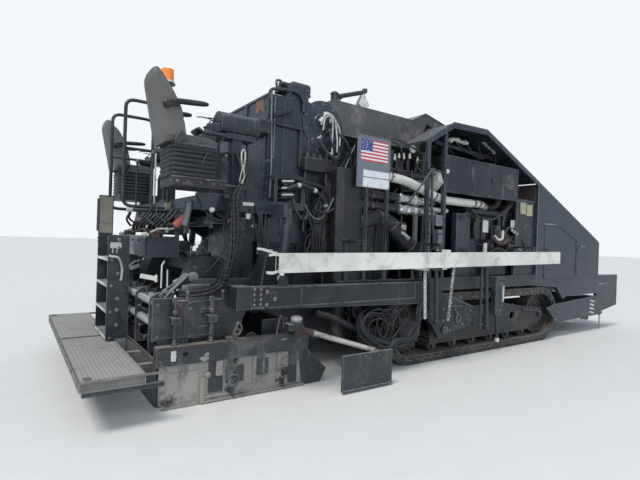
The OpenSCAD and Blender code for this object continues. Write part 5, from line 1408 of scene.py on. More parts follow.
s = Shape()
for x in (-4.2, -3.85):
    s.turned((x, -1.33, 0.58), UP, [(0.034, 0), (0.034, 0.02), (0.022, 0.024), (0.022, 0.05)], 6)
    s.turned((x, -1.33, 0.87), UP, [(0.026, 0), (0.03, 0.006), (0.03, 0.03), (0.022, 0.036)], 14)
    s.turned((x + 0.11, -1.33, 1.045), UP, [(0.012, 0), (0.019, 0.008), (0.019, 0.03), (0.012, 0.036)], 12)
    s.ring((x, -1.33, 0.995), LEFT, 0.024, 0.006, 16, 6)
s.hose([(-3.64, -1.36, 0.59), (-3.635, -1.4, 0.68), (-3.6, -1.41, 0.76), (-3.56, -1.4, 0.7),
        (-3.59, -1.39, 0.64), (-3.64, -1.39, 0.66)], 0.011, 0.012)
s.ring((-3.605, -1.385, 0.665), (0, 1, 0.2), 0.032, 0.009, 18, 6)
s.hose([(-3.14, -1.36, 0.59), (-3.13, -1.375, 0.7), (-3.11, -1.38, 0.79), (-3.07, -1.38, 0.75),
        (-3.06, -1.37, 0.66)], 0.011, 0.012)
s.box((-3.7, -1.37, 0.58), (-3.58, -1.31, 0.62), 0.006)
s.both("gate_cranks", "end_gate_*", "worn_steel")

p0, p1 = V((-2.96, -1.5, 0.66)), V((-2.12, -1.78, 0.4))

s = Shape()
for t0, t1, r in ((0.2, 0.97, 0.0285), (0.19, 0.215, 0.034)):
    s.tube([p0.lerp(p1, t0), p0.lerp(p1, t1)], r, 16)
s.turned((-3.022, -1.56, 0.762), UP, [(0.045, -0.02), (0.056, 0.0), (0.062, 0.015), (0.055, 0.038),
                                      (0.035, 0.046)], 9)
s.both("wing_tube_white", "end_gate_*", "alloy", "tube_white")

s = Shape()
s.tube([p0.lerp(p1, -0.02), p0.lerp(p1, 0.19)], 0.0335, 16)
s.bolts([p0.lerp(p1, 0.06) + V((0, -0.033, 0))], RIGHT, 0.014)
s.box((-3.03, -1.54, 0.59), (-2.9, -1.46, 0.7), 0.012)
s.both("wing_tube_rusty", "end_gate_*", "gate_steel", "rust")

s = Shape()
s.tube([(-2.6, -1.834, 0.03), (-1.9, -1.834, 0.03)], 0.012, 6)
s.bolts(grid((-2.3, -2.1), -1.83, 0.36), RIGHT, 0.011)
s.turned((-3.022, -1.56, 0.62), UP, [(0.03, 0), (0.03, 0.1), (0.066, 0.115), (0.066, 0.135), (0.04, 0.14)],
         16)
s.box((-3.13, -1.6, 0.66), (-2.98, -1.5, 0.74), 0.012)
s.both("wing_trim", "end_gate_*", "screed_steel")

# Tow arms and their plates
s = Shape()
for x in (-3.47, -3.4):
    s.bolts(grid(x, ARM_Y, (0.935, 0.985, 1.035, 1.085)), RIGHT, 0.01)
s.bolts(at_y(ARM_Y, ((-3.33, 1.06), (-3.24, 0.98), (-3.33, 0.93), (-0.62, 0.72), (-0.48, 0.62),
                     (-0.62, 0.56), (-0.48, 0.42))), RIGHT, 0.014)
s.box((-3.502, -1.486, 0.895), (-3.36, -1.479, 0.915), 0.003)
s.box((-3.502, -1.486, 1.1), (-3.36, -1.479, 1.117), 0.003)
s.turned((-0.598, -1.492, 0.442), RIGHT, [(0.036, 0), (0.055, 0.0), (0.055, 0.012), (0.03, 0.016),
                                          (0.03, 0.03), (0.02, 0.034)], 24)
s.both("tow_arm_bolts", "screed", "worn_steel")

s = Shape()
for x, w in ((-2.93, 0.02), (-1.2, 0.02), (-0.8, 0.02)):
    s.box((x, -1.4835, 0.9), (x + w, -1.479, 1.105), 0.002)
s.box((-3.3, -1.4835, 1.093), (-0.85, -1.479, 1.107), 0.002)
s.box((-3.3, -1.4835, 0.893), (-1.18, -1.479, 0.905), 0.002)
s.box((-3.29, -1.482, 1.0), (-3.22, -1.4795, 1.055), 0.002)
s.both("tow_arm_seams", "screed", "slate_paint")

# A dark sheet in the tow arm's slot: painted shade of the opening
s = Shape()
s.box((-3.275, -1.4835, 1.012), (-3.235, -1.48, 1.045), 0.001)
s.both("tow_arm_slot", "screed", "black_rubber")

# A guard over the left housing, and the lower hoses between the housings
s = Shape()
s.box((-4.26, 1.15, 1.0), (-3.92, 1.162, 1.33), 0.004)
s.bolts(grid((-4.22, -3.96), 1.15, (1.05, 1.28)), RIGHT, 0.012)
s.done("housing_guard", "screed", "screed_steel")

s = Shape()
for k in range(6):
    y = -0.95 + 0.3 * k
    s.hose([(-4.1, y, 0.6), (-4.14, y + 0.05, 0.8), (-4.08, y + 0.12, 0.98), (-3.95, y + 0.2, 0.99),
            (-3.86, y + 0.22, 0.8)], 0.016, 0.04)
s.done("screed_lines", "screed", "black_rubber")

# Sheet behind the landing, on the screed
s = Shape()
s.plate("x", -3.752, -3.744, [(-0.34, 1.2), (0.62, 1.2), (0.62, 1.52), (-0.18, 1.54), (-0.34, 1.46)])
s.hose([(-3.78, -0.3, 1.3), (-3.79, 0.0, 1.38), (-3.78, 0.3, 1.32), (-3.79, 0.58, 1.4)], 0.018, 0.05)
s.hose([(-3.78, -0.25, 1.42), (-3.79, 0.1, 1.48), (-3.78, 0.55, 1.45)], 0.012, 0.05)
s.done("screed_sheet", "screed", "screed_steel")

# What hangs at the deck's rear and right side
s = Shape()
s.box((-4.296, -0.595, 1.565), (-4.288, 0.845, 1.585), 0.002)
s.fixed("landing_light_strip", "slate_paint", "plate_grey")

s = Shape()
s.bolts(grid(-4.29, (-0.52, -0.2, 0.1, 0.45, 0.78), 1.53), BACK, 0.011)
s.box((-4.305, -0.58, 1.36), (-4.291, -0.5, 1.56), 0.006)
s.box((-4.305, 0.4, 1.38), (-4.291, 0.8, 1.5), 0.006)
s.fixed("landing_bolts", "rail_steel")

s = Shape()
s.turned((-4.28, -0.615, 1.61), AHEAD, [(0.03, 0), (0.036, 0.005), (0.036, 0.12), (0.03, 0.13)], 16)
s.box((-4.26, -0.66, 1.56), (-4.18, -0.56, 1.6), 0.006)
s.fixed_pair("travel_motor", "engine_iron", "rust")

s = Shape()
s.turned((-4.29, -0.6, 1.6), (-1, 0.2, 0), [(0.016, 0), (0.022, 0.01), (0.022, 0.04), (0.012, 0.06)], 12)
s.turned((-4.1, -0.62, 1.62), UP, [(0.012, 0), (0.02, 0.01), (0.02, 0.04), (0.01, 0.06)], 10)
s.hose([(-4.27, -0.64, 1.62), (-4.2, -0.68, 1.66), (-4.12, -0.72, 1.66), (-4.06, -0.74, 1.67)], 0.01, 0.02)
s.turned((-3.86, -1.26, 1.86), RIGHT, [(0.02, 0), (0.028, 0.01), (0.024, 0.03), (0.014, 0.04)], 14)
s.box((-3.47, -1.235, 1.79), (-3.42, -1.205, 1.85), 0.006)
s.box((-3.4, -1.23, 1.71), (-3.35, -1.205, 1.74), 0.004)
s.bar((-3.285, -1.215, 1.475), (-3.14, -1.22, 1.47), 0.02, 0.012)
s.fixed_pair("pale_couplings", "alloy", "pale")

s = Shape()
s.tube([(-4.05, -1.05, 1.7), (-4.01, -1.08, 1.93)], 0.03, 12)
s.fixed_pair("leaning_tube", "slate_paint", "plate_grey")

s = Shape()
s.tube([(-4.1, -0.92, 1.7), (-4.02, -0.99, 1.8)], 0.036, 12)
s.fixed_pair("red_sleeve", "slate_paint", "red")

s = Shape()
s.bar((-3.852, -1.215, 1.87), (-3.84, -1.215, 1.68), 0.035, 0.012)
s.bar((-3.3, -1.215, 1.87), (-3.3, -1.215, 1.5), 0.05, 0.012)
s.box((-3.34, -1.245, 1.42), (-3.22, -1.205, 1.5), 0.01)
s.box((-3.62, -1.245, 1.66), (-3.48, -1.17, 1.8), 0.01)
s.tube([(-3.62, -1.22, 1.73), (-3.86, -1.22, 1.74)], 0.012, 8)
s.turned((-3.86, -1.22, 1.74), BACK, [(0.02, 0), (0.034, 0.02), (0.034, 0.04), (0.016, 0.06)], 14)
s.bolts(at_y(-1.245, [(-3.59, 1.69), (-3.51, 1.69), (-3.51, 1.77), (-3.25, 1.45)]), RIGHT, 0.01)
s.fixed_pair("hanging_brackets", "dark_paint")

# Big hose bundle: from the console down to each screed housing, which moves on the tow pins
bundle = [(-3.6, -1.3, 2.46), (-3.57, -1.33, 2.3), (-3.56, -1.34, 2.15), (-3.64, -1.34, 2.0),
          (-3.645, -1.34, 1.78), (-3.65, -1.33, 1.5), (-3.68, -1.3, 1.32), (-3.72, -1.22, 1.12),
          (-3.8, -1.16, 1.02)]


def screed_hose(name, pts, r):
    """A hose, one each side, running down towards the screed."""
    s = Shape().hose(pts, r)
    for side, sign in (("_right", 1), ("_left", -1)):
        o = bpy.data.objects.new(name + side, s.mesh(sign < 0))
        scene.collection.objects.link(o)
        o.data.materials.append(FINISH["black_rubber"])
        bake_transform(o)


for k, a in enumerate(angles(6)):
    off = [V((cos(a + 0.5 * i), sin(a + 0.5 * i), 0)) * 0.034 for i in range(len(bundle))]
    line = [V(p) + q for p, q in zip(bundle, off)]
    screed_hose("bundle_%d" % k, line, 0.014 + 0.004 * (k % 2))
wrap = curve(bundle, 0.005)
around = frames(wrap)
spiral = []
for i in range(len(wrap) // 3, len(wrap), 2):
    n, m = around[i]
    spiral.append(wrap[i] + (n * cos(i * 0.42) + m * sin(i * 0.42)) * 0.054)
screed_hose("bundle_spiral", spiral, 0.006)
screed_hose("screed_cable", [(-3.66, -1.22, 1.88), (-3.72, -1.24, 1.7), (-3.7, -1.25, 1.52),
                             (-3.78, -1.24, 1.35), (-3.88, -1.15, 1.2), (-3.9, -1.08, 1.05)], 0.01)
screed_hose("tow_hose", [(-3.2, -1.21, 1.6), (-3.24, -1.26, 1.42), (-3.3, -1.33, 1.26),
                         (-3.34, -1.37, 1.14), (-3.36, -1.395, 1.05)], 0.014)

s = Shape()
s.hose(at_y(-1.4, [(-3.62, 2.33), (-3.625, 2.42), (-3.605, 2.468), (-3.585, 2.42), (-3.59, 2.33),
                   (-3.605, 2.3), (-3.62, 2.33)]), 0.008, 0.02)
s.tube([(-3.603, -1.4, 2.3), (-3.585, -1.4, 2.2), (-3.612, -1.395, 2.13)], 0.008, 8)
s.tube([(-3.603, -1.4, 2.3), (-3.625, -1.395, 2.21), (-3.632, -1.39, 2.15)], 0.006, 8)
s.turned((-3.603, -1.4, 2.285), UP, [(0.012, 0), (0.017, 0.005), (0.017, 0.03), (0.01, 0.035)], 10)
s.fixed_pair("bundle_straps", "alloy", "pale")

s = Shape()
s.hose([(-3.61, -1.24, 1.92), (-3.6, -1.3, 1.84), (-3.7, -1.3, 1.76), (-3.66, -1.3, 1.7),
        (-3.58, -1.28, 1.73)], 0.006, 0.02, 6)
s.fixed_pair("hanging_wire", "worn_steel")

for k, pts in enumerate((((-4.26, -0.5, 1.97), (-4.24, -0.52, 1.88), (-4.28, -0.5, 1.78),
                          (-4.22, -0.56, 1.7)),
                         ((-4.2, -0.62, 1.9), (-4.22, -0.66, 1.8), (-4.14, -0.7, 1.74), (-4.1, -0.84, 1.7)),
                         ((-3.99, -0.8, 1.86), (-4.04, -0.84, 1.76), (-4.0, -0.95, 1.72),
                          (-3.92, -1.05, 1.74)),
                         ((-3.42, -1.2, 1.9), (-3.4, -1.25, 1.78), (-3.36, -1.25, 1.66),
                          (-3.3, -1.23, 1.52)),
                         ((-3.36, -1.2, 1.93), (-3.33, -1.26, 1.8), (-3.29, -1.27, 1.66),
                          (-3.26, -1.235, 1.5)),
                         ((-3.9, -1.2, 1.88), (-3.88, -1.25, 1.8), (-3.76, -1.26, 1.76),
                          (-3.62, -1.22, 1.8)))):
    Shape().hose(pts, 0.013, 0.02).fixed_pair("deck_hose_%d" % k, "black_rubber")

# Surge hopper
s = Shape()
s.hose([(-3.13, -1.02, 3.16), (-3.13, -1.03, 3.25), (-3.05, -1.03, 3.285), (-2.83, -1.03, 3.305),
        (-2.74, -1.03, 3.28), (-2.69, -1.03, 3.2), (-2.685, -1.02, 3.1)], 0.019, n=10)
s.bar((-3.1, -1.03, 2.975), (-2.85, -1.03, 3.085), 0.05, 0.075, 0.004)
s.box((-3.31, -1.1, 2.75), (-3.14, -0.95, 2.9), 0.01)
s.tube([(-3.15, -1.03, 2.9), (-2.7, -1.03, 2.885)], 0.018, 8)
s.box((-2.735, -1.04, 2.44), (-2.69, -1.005, 2.9), 0.004)
s.bolts(at_y(-1.1, [(-3.27, 2.78), (-3.18, 2.78), (-3.27, 2.87), (-3.18, 2.87)]), RIGHT, 0.009)
s.turned((-2.95, -0.9, 3.395), AHEAD, [(0.03, 0), (0.042, 0.01), (0.042, 0.13), (0.03, 0.14)], 16)
s.box((-2.82, -0.97, 3.335), (-2.545, -0.82, 3.455), 0.025)
s.box((-2.97, -0.98, 3.3), (-2.56, -0.81, 3.335), 0.006)
s.hose([(-2.96, -0.95, 3.42), (-3.03, -0.98, 3.4), (-3.04, -1.0, 3.33), (-3.0, -1.02, 3.28)], 0.014, 0.02)
s.fixed("grab_loop", "rail_steel")

s = Shape()
s.bar((-3.155, -0.98, 2.06), (-3.155, -1.0, 2.44), 0.045, 0.02)
s.bar((-3.16, -0.9, 2.44), (-3.16, -1.1, 2.45), 0.04, 0.02)
s.plate("x", -3.15, -3.137, [(-0.74, 2.8), (-0.98, 2.8), (-0.98, 2.96), (-0.86, 3.0)])
s.box((-3.19, -0.98, 2.76), (-3.137, -0.74, 2.8), 0.006)
s.box((-3.147, -1.0, 3.2), (-3.137, 1.0, 3.232), 0.003)
s.box((-3.15, -0.98, 2.1), (-3.137, -0.94, 2.75), 0.004)
for y in (-0.45, 0.0, 0.45):
    s.box((-3.155, y - 0.02, 2.02), (-3.137, y + 0.02, 3.2), 0.004)
s.bolts(grid(-3.137, (-0.9, -0.25, 0.25, 0.9), (2.15, 2.6, 3.1)), BACK, 0.011)
s.fixed("hopper_rear_fittings", "slate_paint")

s = Shape().plate("x", -3.1385, -3.1362, [(-0.69, 3.205), (-0.8, 3.2), (-0.885, 3.18), (-0.9, 3.05),
                                          (-0.84, 3.06), (-0.8, 3.09), (-0.76, 3.05), (-0.69, 3.06)])
s.fixed("hopper_worn_patch", "slate_paint", "orange")

s = Shape()
s.hose([(-3.12, -1.04, 3.24), (-3.12, -1.05, 2.9), (-3.11, -1.06, 2.5), (-3.12, -1.07, 2.05)], 0.011, 0.04)
s.tube([(-3.07, -1.03, 2.5), (-3.07, -1.03, 3.2)], 0.008, 8)
s.fixed("pale_conduit", "rail_steel", "plate_grey")

s = Shape()
s.box((-2.9, -1.006, 3.21), (-2.59, -0.86, 3.238), 0.004)
s.bolts(grid((-2.86, -2.62), -1.0, (3.28, 3.36)), RIGHT, 0.01)
for x in (-3.1, -2.95, -2.6, -2.48):
    s.box((x, -1.012, 1.62), (x + 0.03, -0.999, 3.18 if x < -2.55 else 2.96), 0.004)
s.bolts([(x + 0.015, -1.012, z) for x in (-3.1, -2.95, -2.6) for z in (1.8, 2.4, 2.9, 3.1)], RIGHT, 0.01)
s.fixed("hopper_side_ribs", "slate_paint")

s = Shape()
for x in (-3.1, -2.95, -2.6, -2.48):
    s.box((x, 0.999, 1.62), (x + 0.03, 1.012, 3.18 if x < -2.55 else 2.96), 0.004)
s.bolts([(x + 0.015, 1.012, z) for x in (-3.1, -2.95, -2.6) for z in (1.8, 2.4, 2.9, 3.1)], LEFT, 0.01)
s.box((-2.9, 0.999, 2.0), (-2.65, 1.05, 2.3), 0.01)
s.fixed("hopper_left_ribs", "slate_paint")

# Hoses coiled in the basket, some with pale bands
for k in range(5):
    r = 0.145 - 0.012 * (k % 2)
    s = Shape().tube(coil((-2.94 + 0.012 * k, -1.1 + 0.004 * k, 2.04 + 0.052 * k),
                          (0.08 * (k % 3 - 1), 0.1, 1), r * 0.62, 1.0, 0.02, k, 20), 0.021, 8)
    s.fixed("basket_coil_%d" % k, "black_rubber")

s = Shape()
s.hose([(-2.98, -1.2, 2.15), (-2.85, -1.24, 2.2), (-2.7, -1.23, 2.19), (-2.52, -1.2, 2.12),
        (-2.43, -1.18, 2.0), (-2.46, -1.17, 1.85), (-2.6, -1.16, 1.8)], 0.024)
s.hose([(-2.8, -1.16, 2.25), (-2.66, -1.2, 2.24), (-2.48, -1.2, 2.2), (-2.37, -1.18, 2.08),
        (-2.4, -1.14, 1.88)], 0.018)
s.hose([(-2.9, -1.21, 2.05), (-2.88, -1.26, 1.9), (-2.78, -1.27, 1.82), (-2.7, -1.22, 1.92)], 0.018)
s.fixed("basket_hoses", "black_rubber")

s = Shape()
for p, d in (((-2.85, -1.24, 2.2), (1, 0, 0.1)), ((-2.62, -1.222, 2.165), (1, 0.1, -0.35)),
             ((-2.435, -1.18, 2.01), (0.1, 0, -1))):
    s.turned(p, d, [(0.0245, -0.02), (0.026, -0.018), (0.026, 0.018), (0.0245, 0.02)], 14)
s.fixed("basket_hose_bands", "alloy", "pale")

# Head shaft discs: bolts, motor lines and silver couplings
s = Shape()
for x, y, d in ((-2.4, -1.017, -1), (-2.315, 0.925, 1)):
    s.bolts([(x + 0.245 * cos(a), y, HEAD_Z + 0.245 * sin(a))
             for a in [TURN * (k + 0.5) / 10 for k in range(10)]], (0, d, 0), 0.01)
s.bolts([(-2.315 + 0.07 * i, -1.11, HEAD_Z + z) for i in (-0.6, 0.6) for z in (-0.08, 0.05)], RIGHT, 0.011)
s.turned((-2.315, 0.925, HEAD_Z), LEFT, [(0.1, 0), (0.1, 0.03), (0.06, 0.05), (0.06, 0.08)], 24)
s.fixed("head_bolts", "worn_steel")

s = Shape()
s.turned((-2.4, -1.003, HEAD_Z), RIGHT, [(0.282, 0), (0.285, 0.002), (0.285, 0.012), (0.28, 0.014),
                                         (0.13, 0.014), (0.125, 0.02), (0.05, 0.02)], 56)
s.fixed("head_cover", "slate_paint")

s = Shape()
for pts in (((-2.5, -1.13, 2.96), (-2.49, -1.17, 3.06), (-2.42, -1.18, 3.09), (-2.34, -1.18, 3.03),
             (-2.29, -1.17, 2.82), (-2.27, -1.15, 2.66)),
            ((-2.47, -1.13, 2.9), (-2.47, -1.16, 3.03), (-2.42, -1.17, 3.07), (-2.37, -1.18, 3.02),
             (-2.36, -1.17, 2.8), (-2.34, -1.15, 2.6)),
            ((-2.38, -1.13, 3.04), (-2.31, -1.17, 3.01), (-2.25, -1.17, 2.9), (-2.24, -1.16, 2.74))):
    s.hose(pts, 0.01, 0.02)
s.fixed("head_pale_hoses", "white_rubber", "pale")

s = Shape()
for x, z, a in ((-2.47, 3.09, 0.4), (-2.38, 3.02, 0.0), (-2.52, 2.99, 1.2), (-2.29, 2.59, 0.2),
                (-2.54, 2.78, 0.9), (-2.41, 2.63, 0.1)):
    d = V((cos(a), -0.3, sin(a)))
    s.turned((x, -1.13, z), d, [(0.012, 0), (0.022, 0.006), (0.022, 0.03), (0.014, 0.034), (0.014, 0.06)],
             10)
s.fixed("head_couplings", "bar_steel", "pale")
for k, pts in enumerate((((-1.86, -1.12, 2.78), (-2.02, -1.16, 2.5), (-2.16, -1.19, 2.22),
                          (-2.28, -1.21, 2.02), (-2.46, -1.22, 1.92), (-2.62, -1.2, 1.96)),
                         ((-2.36, -1.13, 2.9), (-2.38, -1.16, 2.8), (-2.34, -1.16, 2.7),
                          (-2.32, -1.14, 2.62), (-2.34, -1.13, 2.52)),
                         ((-2.3, -1.13, 2.93), (-2.2, -1.22, 2.8), (-2.12, -1.22, 2.66),
                          (-2.08, -1.2, 2.5)),
                         ((-2.05, -0.9, 2.85), (-2.16, -1.0, 2.6), (-2.3, -1.05, 2.3), (-2.45, -1.08, 2.1),
                          (-2.6, -1.1, 1.7)),
                         ((-1.95, -0.85, 2.9), (-2.1, -0.95, 2.62), (-2.22, -1.0, 2.2), (-2.35, -1.02, 1.8),
                          (-2.5, -1.05, 1.4)),
                         ((-2.54, -1.14, 2.78), (-2.48, -1.24, 2.62), (-2.36, -1.26, 2.56),
                          (-2.27, -1.2, 2.64)))):
    Shape().hose(pts, 0.015 + 0.003 * (k % 2)).fixed("head_hose_%d" % k, "black_rubber")

s = Shape()
s.box((-2.7, -1.13, 2.4), (-2.3, -1.01, 2.56), 0.01)
s.tube([(-2.36, -1.06, 1.0), (-2.36, -1.06, 2.42)], 0.025, 8)
s.tube([(-2.66, -1.06, 1.7), (-2.66, -1.06, 2.42)], 0.02, 8)
for x in (-2.64, -2.55, -2.46, -2.37):
    s.turned((x, -1.07, 2.56), UP, [(0.03, 0), (0.03, 0.03), (0.016, 0.035), (0.016, 0.06)], 8)
s.fixed("valve_block", "engine_iron")

# Jib: rope, swivel and hook block
s = Shape()
s.turned((-2.1, JIB_Y, 3.476), UP, [(0.055, 0), (0.058, 0.01), (0.04, 0.03), (0.02, 0.04)], 20)
s.tube([(-2.05, JIB_Y, 3.4), (-1.9, JIB_Y, 3.53)], 0.012, 8)
s.box((-1.625, -0.865, 3.6), (-1.575, -0.795, 3.66), 0.008)
s.done("jib_fittings", "jib", "dark_paint")

s = Shape()
s.tube([(-1.6, JIB_Y, 3.62), (-1.64, JIB_Y, 3.57)], 0.006, 6)
s.done("jib_rope", "jib", "worn_steel")

s = Shape()
for y in (-0.868, -0.8):
    s.plate("y", y, y + 0.01, [(-1.64, 3.585), (-1.672, 3.53), (-1.705, 3.47), (-1.715, 3.42),
                               (-1.675, 3.4), (-1.665, 3.33), (-1.6, 3.33), (-1.592, 3.4), (-1.545, 3.425),
                               (-1.56, 3.47), (-1.6, 3.53)])
s.turned((-1.632, -0.86, 3.45), LEFT, [(0.05, 0), (0.07, 0.006), (0.055, 0.03), (0.07, 0.054),
                                       (0.05, 0.06)], 22)
s.turned((-1.632, -0.878, 3.45), LEFT, [(0.02, 0), (0.02, 0.096)], 10)
s.done("hook_block", "jib", "slate_paint", "pale")

s = Shape()
s.hose(at_y(JIB_Y, [(-1.635, 3.34), (-1.635, 3.315), (-1.61, 3.298), (-1.585, 3.31), (-1.585, 3.335)]),
       0.009, 0.01)
s.done("hook", "jib", "worn_steel")

# Beacon ring and mast
s = Shape()
s.turned((BEACON_X, BEACON_Y, 1.99), UP, [(0.05, 0.0), (0.05, 0.01), (0.03, 0.014), (0.03, 0.03)], 20)
s.turned((BEACON_X, BEACON_Y, 3.36), UP, [(0.02, 0), (0.04, 0.02), (0.06, 0.05)], 18)
s.hose(at_y(BEACON_Y, [(-3.955, 2.0), (-3.952, 2.6), (-3.953, 3.38)]), 0.005, 0.1, 6)
for z in (2.2, 2.7, 3.2):
    s.turned((BEACON_X, BEACON_Y, z), UP,
             [(0.0145, 0), (0.0185, 0.002), (0.0185, 0.014), (0.0145, 0.016)], 14)
s.fixed("beacon_trim", "dark_paint")

# Thin pole, lines and cross members between deck and landing
s = Shape().tube([(-4.005, 0.3, 1.985), (-4.005, 0.3, 2.64)], 0.011, 10)
s.turned((-4.005, 0.3, 1.985), UP, [(0.03, 0), (0.03, 0.008), (0.012, 0.012)], 14)
s.fixed("deck_pole", "alloy", "pale")

s = Shape()
s.box((-4.02, -0.95, 1.79), (-3.98, 1.1, 1.86), 0.006)
s.box((-3.86, -1.15, 1.7), (-3.8, 1.15, 1.8), 0.006)
for y in (-0.9, -0.35, 0.25, 0.9):
    s.box((-4.0, y, 1.62), (-3.95, y + 0.05, 1.8), 0.005)
s.box((-4.05, -0.3, 1.6), (-3.78, 0.2, 1.72), 0.012)
s.box((-4.12, 0.45, 1.62), (-3.9, 0.75, 1.8), 0.012)
s.turned((-3.95, -0.62, 1.66), UP, [(0.06, 0), (0.07, 0.01), (0.07, 0.14), (0.05, 0.16)], 20)
s.fixed("under_deck_parts", "dark_paint")

s = Shape()
for k in range(8):
    y = -0.75 + 0.2 * k
    s.hose([(-4.02, y, 1.88), (-4.1, y - 0.03, 1.78), (-4.16, y + 0.05, 1.7), (-4.1, y + 0.14, 1.65),
            (-4.0, y + 0.18, 1.68)], 0.012 + 0.003 * (k % 3))
s.hose([(-4.22, -0.3, 1.62), (-4.18, 0.1, 1.66), (-4.22, 0.4, 1.62), (-4.16, 0.7, 1.68), (-4.08, 0.9, 1.8)],
       0.015, 0.04)
s.fixed("under_deck_lines", "black_rubber")

s = Shape()
for x, y, z in ((-4.14, -0.42, 1.66), (-4.16, -0.02, 1.67), (-4.15, 0.37, 1.67), (-4.2, 0.62, 1.63),
                (-4.05, -0.7, 1.7)):
    s.turned((x, y, z), (0.3, 0.6, 0.5), [(0.012, 0), (0.02, 0.006), (0.02, 0.035), (0.012, 0.045)], 10)
s.fixed("under_deck_fittings", "bar_steel", "pale")

s = Shape()
for z in (2.08, 2.155, 2.23):
    s.tube([(-3.045, -1.205, z), (-2.9, -1.208, z + 0.014)], 0.012, 8)
s.fixed("basket_pale_lines", "alloy", "pale")

# A near-black sheet of painted shade on the hopper's side beside the tunnel, and the lines hanging there
# Painted shade: a near-black sheet laid on the hopper's side wall where it lies in shadow
s = Shape()
s.plate("y", -1.01, -1.002, [(-2.74, 1.0), (-2.425, 1.0), (-2.425, 2.66), (-2.55, 2.7), (-2.66, 2.72),
                             (-2.74, 2.6), (-2.66, 2.1)])
s.fixed("hopper_dark_plate", "engine_iron")

s = Shape()
rnd = random.Random(11)
for k in range(9):
    o = 0.022 * k
    s.hose([(-2.03 + o * 0.4, -1.1, 2.76), (-2.14 - o, -1.12, 2.52 - o), (-2.29 - o, -1.14, 2.2 - 0.5 * o),
            (-2.42 - o * 0.6, -1.14, 1.95 - rnd.uniform(0, 0.25)),
            (-2.5 - o, -1.12, 1.6 - rnd.uniform(0, 0.2)), (-2.46 - o * 1.2, -1.1, 1.25)],
           0.006 + 0.003 * (k % 3), 0.06, 6)
for k in range(5):
    o = 0.045 * k
    s.hose([(-2.7 + o, -1.1, 1.95), (-2.62 + o, -1.15, 1.8 - o), (-2.58 + o, -1.16, 1.55),
            (-2.66 + o, -1.14, 1.28)], 0.012, 0.06, 6)
s.fixed("tunnel_lines", "black_rubber")

s = Shape().hose([(-2.0, -1.16, 2.79), (-2.14, -1.18, 2.53), (-2.29, -1.2, 2.21), (-2.41, -1.2, 1.96),
                  (-2.54, -1.2, 1.84), (-2.66, -1.2, 1.89), (-2.72, -1.18, 2.0)], 0.008, 0.04)
s.fixed("tunnel_grey_line", "black_rubber", "plate_grey")


# Hopper sides, doors and front
def roof_line(x):
    """Height of the slope that runs down from the roof along the hopper side."""
    return 2.71 - (2.71 - 1.74) / 2.284 * (x - 1.855)


RIVET = [(0.009, 0), (0.008, 0.004), (0.004, 0.006)]

s = Shape()
for k in range(27):
    x = 1.93 + 0.082 * k
    z = roof_line(x) - 0.055
    s.turned((x, FACE_Y, z), RIGHT, RIVET, 8)
for k in range(12):
    s.turned((1.885, FACE_Y, 1.05 + 0.14 * k), RIGHT, RIVET, 8)
    s.turned((4.105, FACE_Y, 0.8 + 0.078 * k), RIGHT, RIVET, 8)
for x, z in ((2.0, 1.0), (2.3, 0.965), (2.6, 0.93), (3.45, 0.76), (3.75, 0.76), (4.0, 0.76), (3.6, 1.4),
             (3.6, 1.55), (4.2, 1.05), (4.4, 1.05), (4.6, 1.05), (4.8, 1.05), (4.94, 1.02), (4.94, 0.8),
             (4.94, 0.55), (4.3, 0.42), (4.6, 0.44)):
    s.bolts([(x, FACE_Y, z)], RIGHT, 0.011)
s.fixed_pair("side_rivets", "slate_paint")

s = Shape()
a, b = (1.855, 2.712), (4.139, 1.742)
s.bar((a[0], -1.352, a[1]), (b[0], -1.352, b[1]), 0.062, 0.008, 0.002)
s.box((4.132, -1.384, 1.1), (4.142, -1.32, 1.745), 0.002)
s.box((1.85, -1.384, 0.96), (1.858, -1.372, 2.7), 0.002)
s.box((4.14, -1.385, 1.078), (5.006, -1.318, 1.092), 0.003)
s.box((5.001, -1.385, 0.475), (5.008, -1.318, 1.09), 0.002)
s.bar((4.24, -1.3835, 0.362), (5.0, -1.3835, 0.468), 0.008, 0.02, 0.002)
s.box((4.16, -1.388, 0.9), (4.55, -1.379, 0.93), 0.003)
s.box((3.35, -1.4, 1.62), (3.5, -1.378, 1.66), 0.006)
s.tube([(3.37, -1.4, 1.64), (3.37, -1.43, 1.64), (3.48, -1.43, 1.64), (3.48, -1.4, 1.64)], 0.009, 8)
s.fixed_pair("side_edges", "slate_paint", "plate_grey")

door = [(2.095, 1.075), (3.225, 1.075), (3.225, 1.738), (2.555, 1.995), (2.095, 1.995)]

s = Shape()
for a, b in zip(door, door[1:] + door[:1]):
    s.bar((a[0], -1.382, a[1]), (b[0], -1.382, b[1]), 0.006, 0.016, 0.001)
s.bolts(at_y(FACE_Y, ((2.13, 1.12), (2.13, 1.95), (2.5, 1.95), (2.9, 1.83), (2.6, 1.11), (3.0, 1.11))),
        RIGHT, 0.009)
s.box((2.12, -1.402, 1.48), (2.19, -1.379, 1.6), 0.008)
s.tube([(2.155, -1.395, 1.5), (2.155, -1.42, 1.5), (2.155, -1.42, 1.58), (2.155, -1.395, 1.58)], 0.008, 8)
s.box((2.45, -1.3835, 1.3), (2.95, -1.3795, 1.5), 0.002)
s.both("door_trim", "side_door_*", "slate_paint")

s = Shape()
for z in (1.13, 1.56):
    s.box((3.27, -1.391, z + 0.005), (3.32, -1.38, z + 0.055), 0.003)
    s.bolts([(3.345, FACE_Y, z + 0.03)], RIGHT, 0.009)
s.fixed_pair("hinge_plates", "slate_paint")

s = Shape()
s.box((5.003, -1.378, 0.56), (5.0075, -1.322, 0.98), 0.002)
s.fixed_pair("front_edge_band", "slate_paint", "pale")

s = Shape()
for k in range(4):
    z = 0.37 + 0.075 * k
    s.plate("y", -1.3962, -1.3938, [(3.8, z), (3.98, z - 0.035), (3.98, z), (3.8, z + 0.03)])
s.fixed_pair("small_chevrons", "slate_paint", "pale")

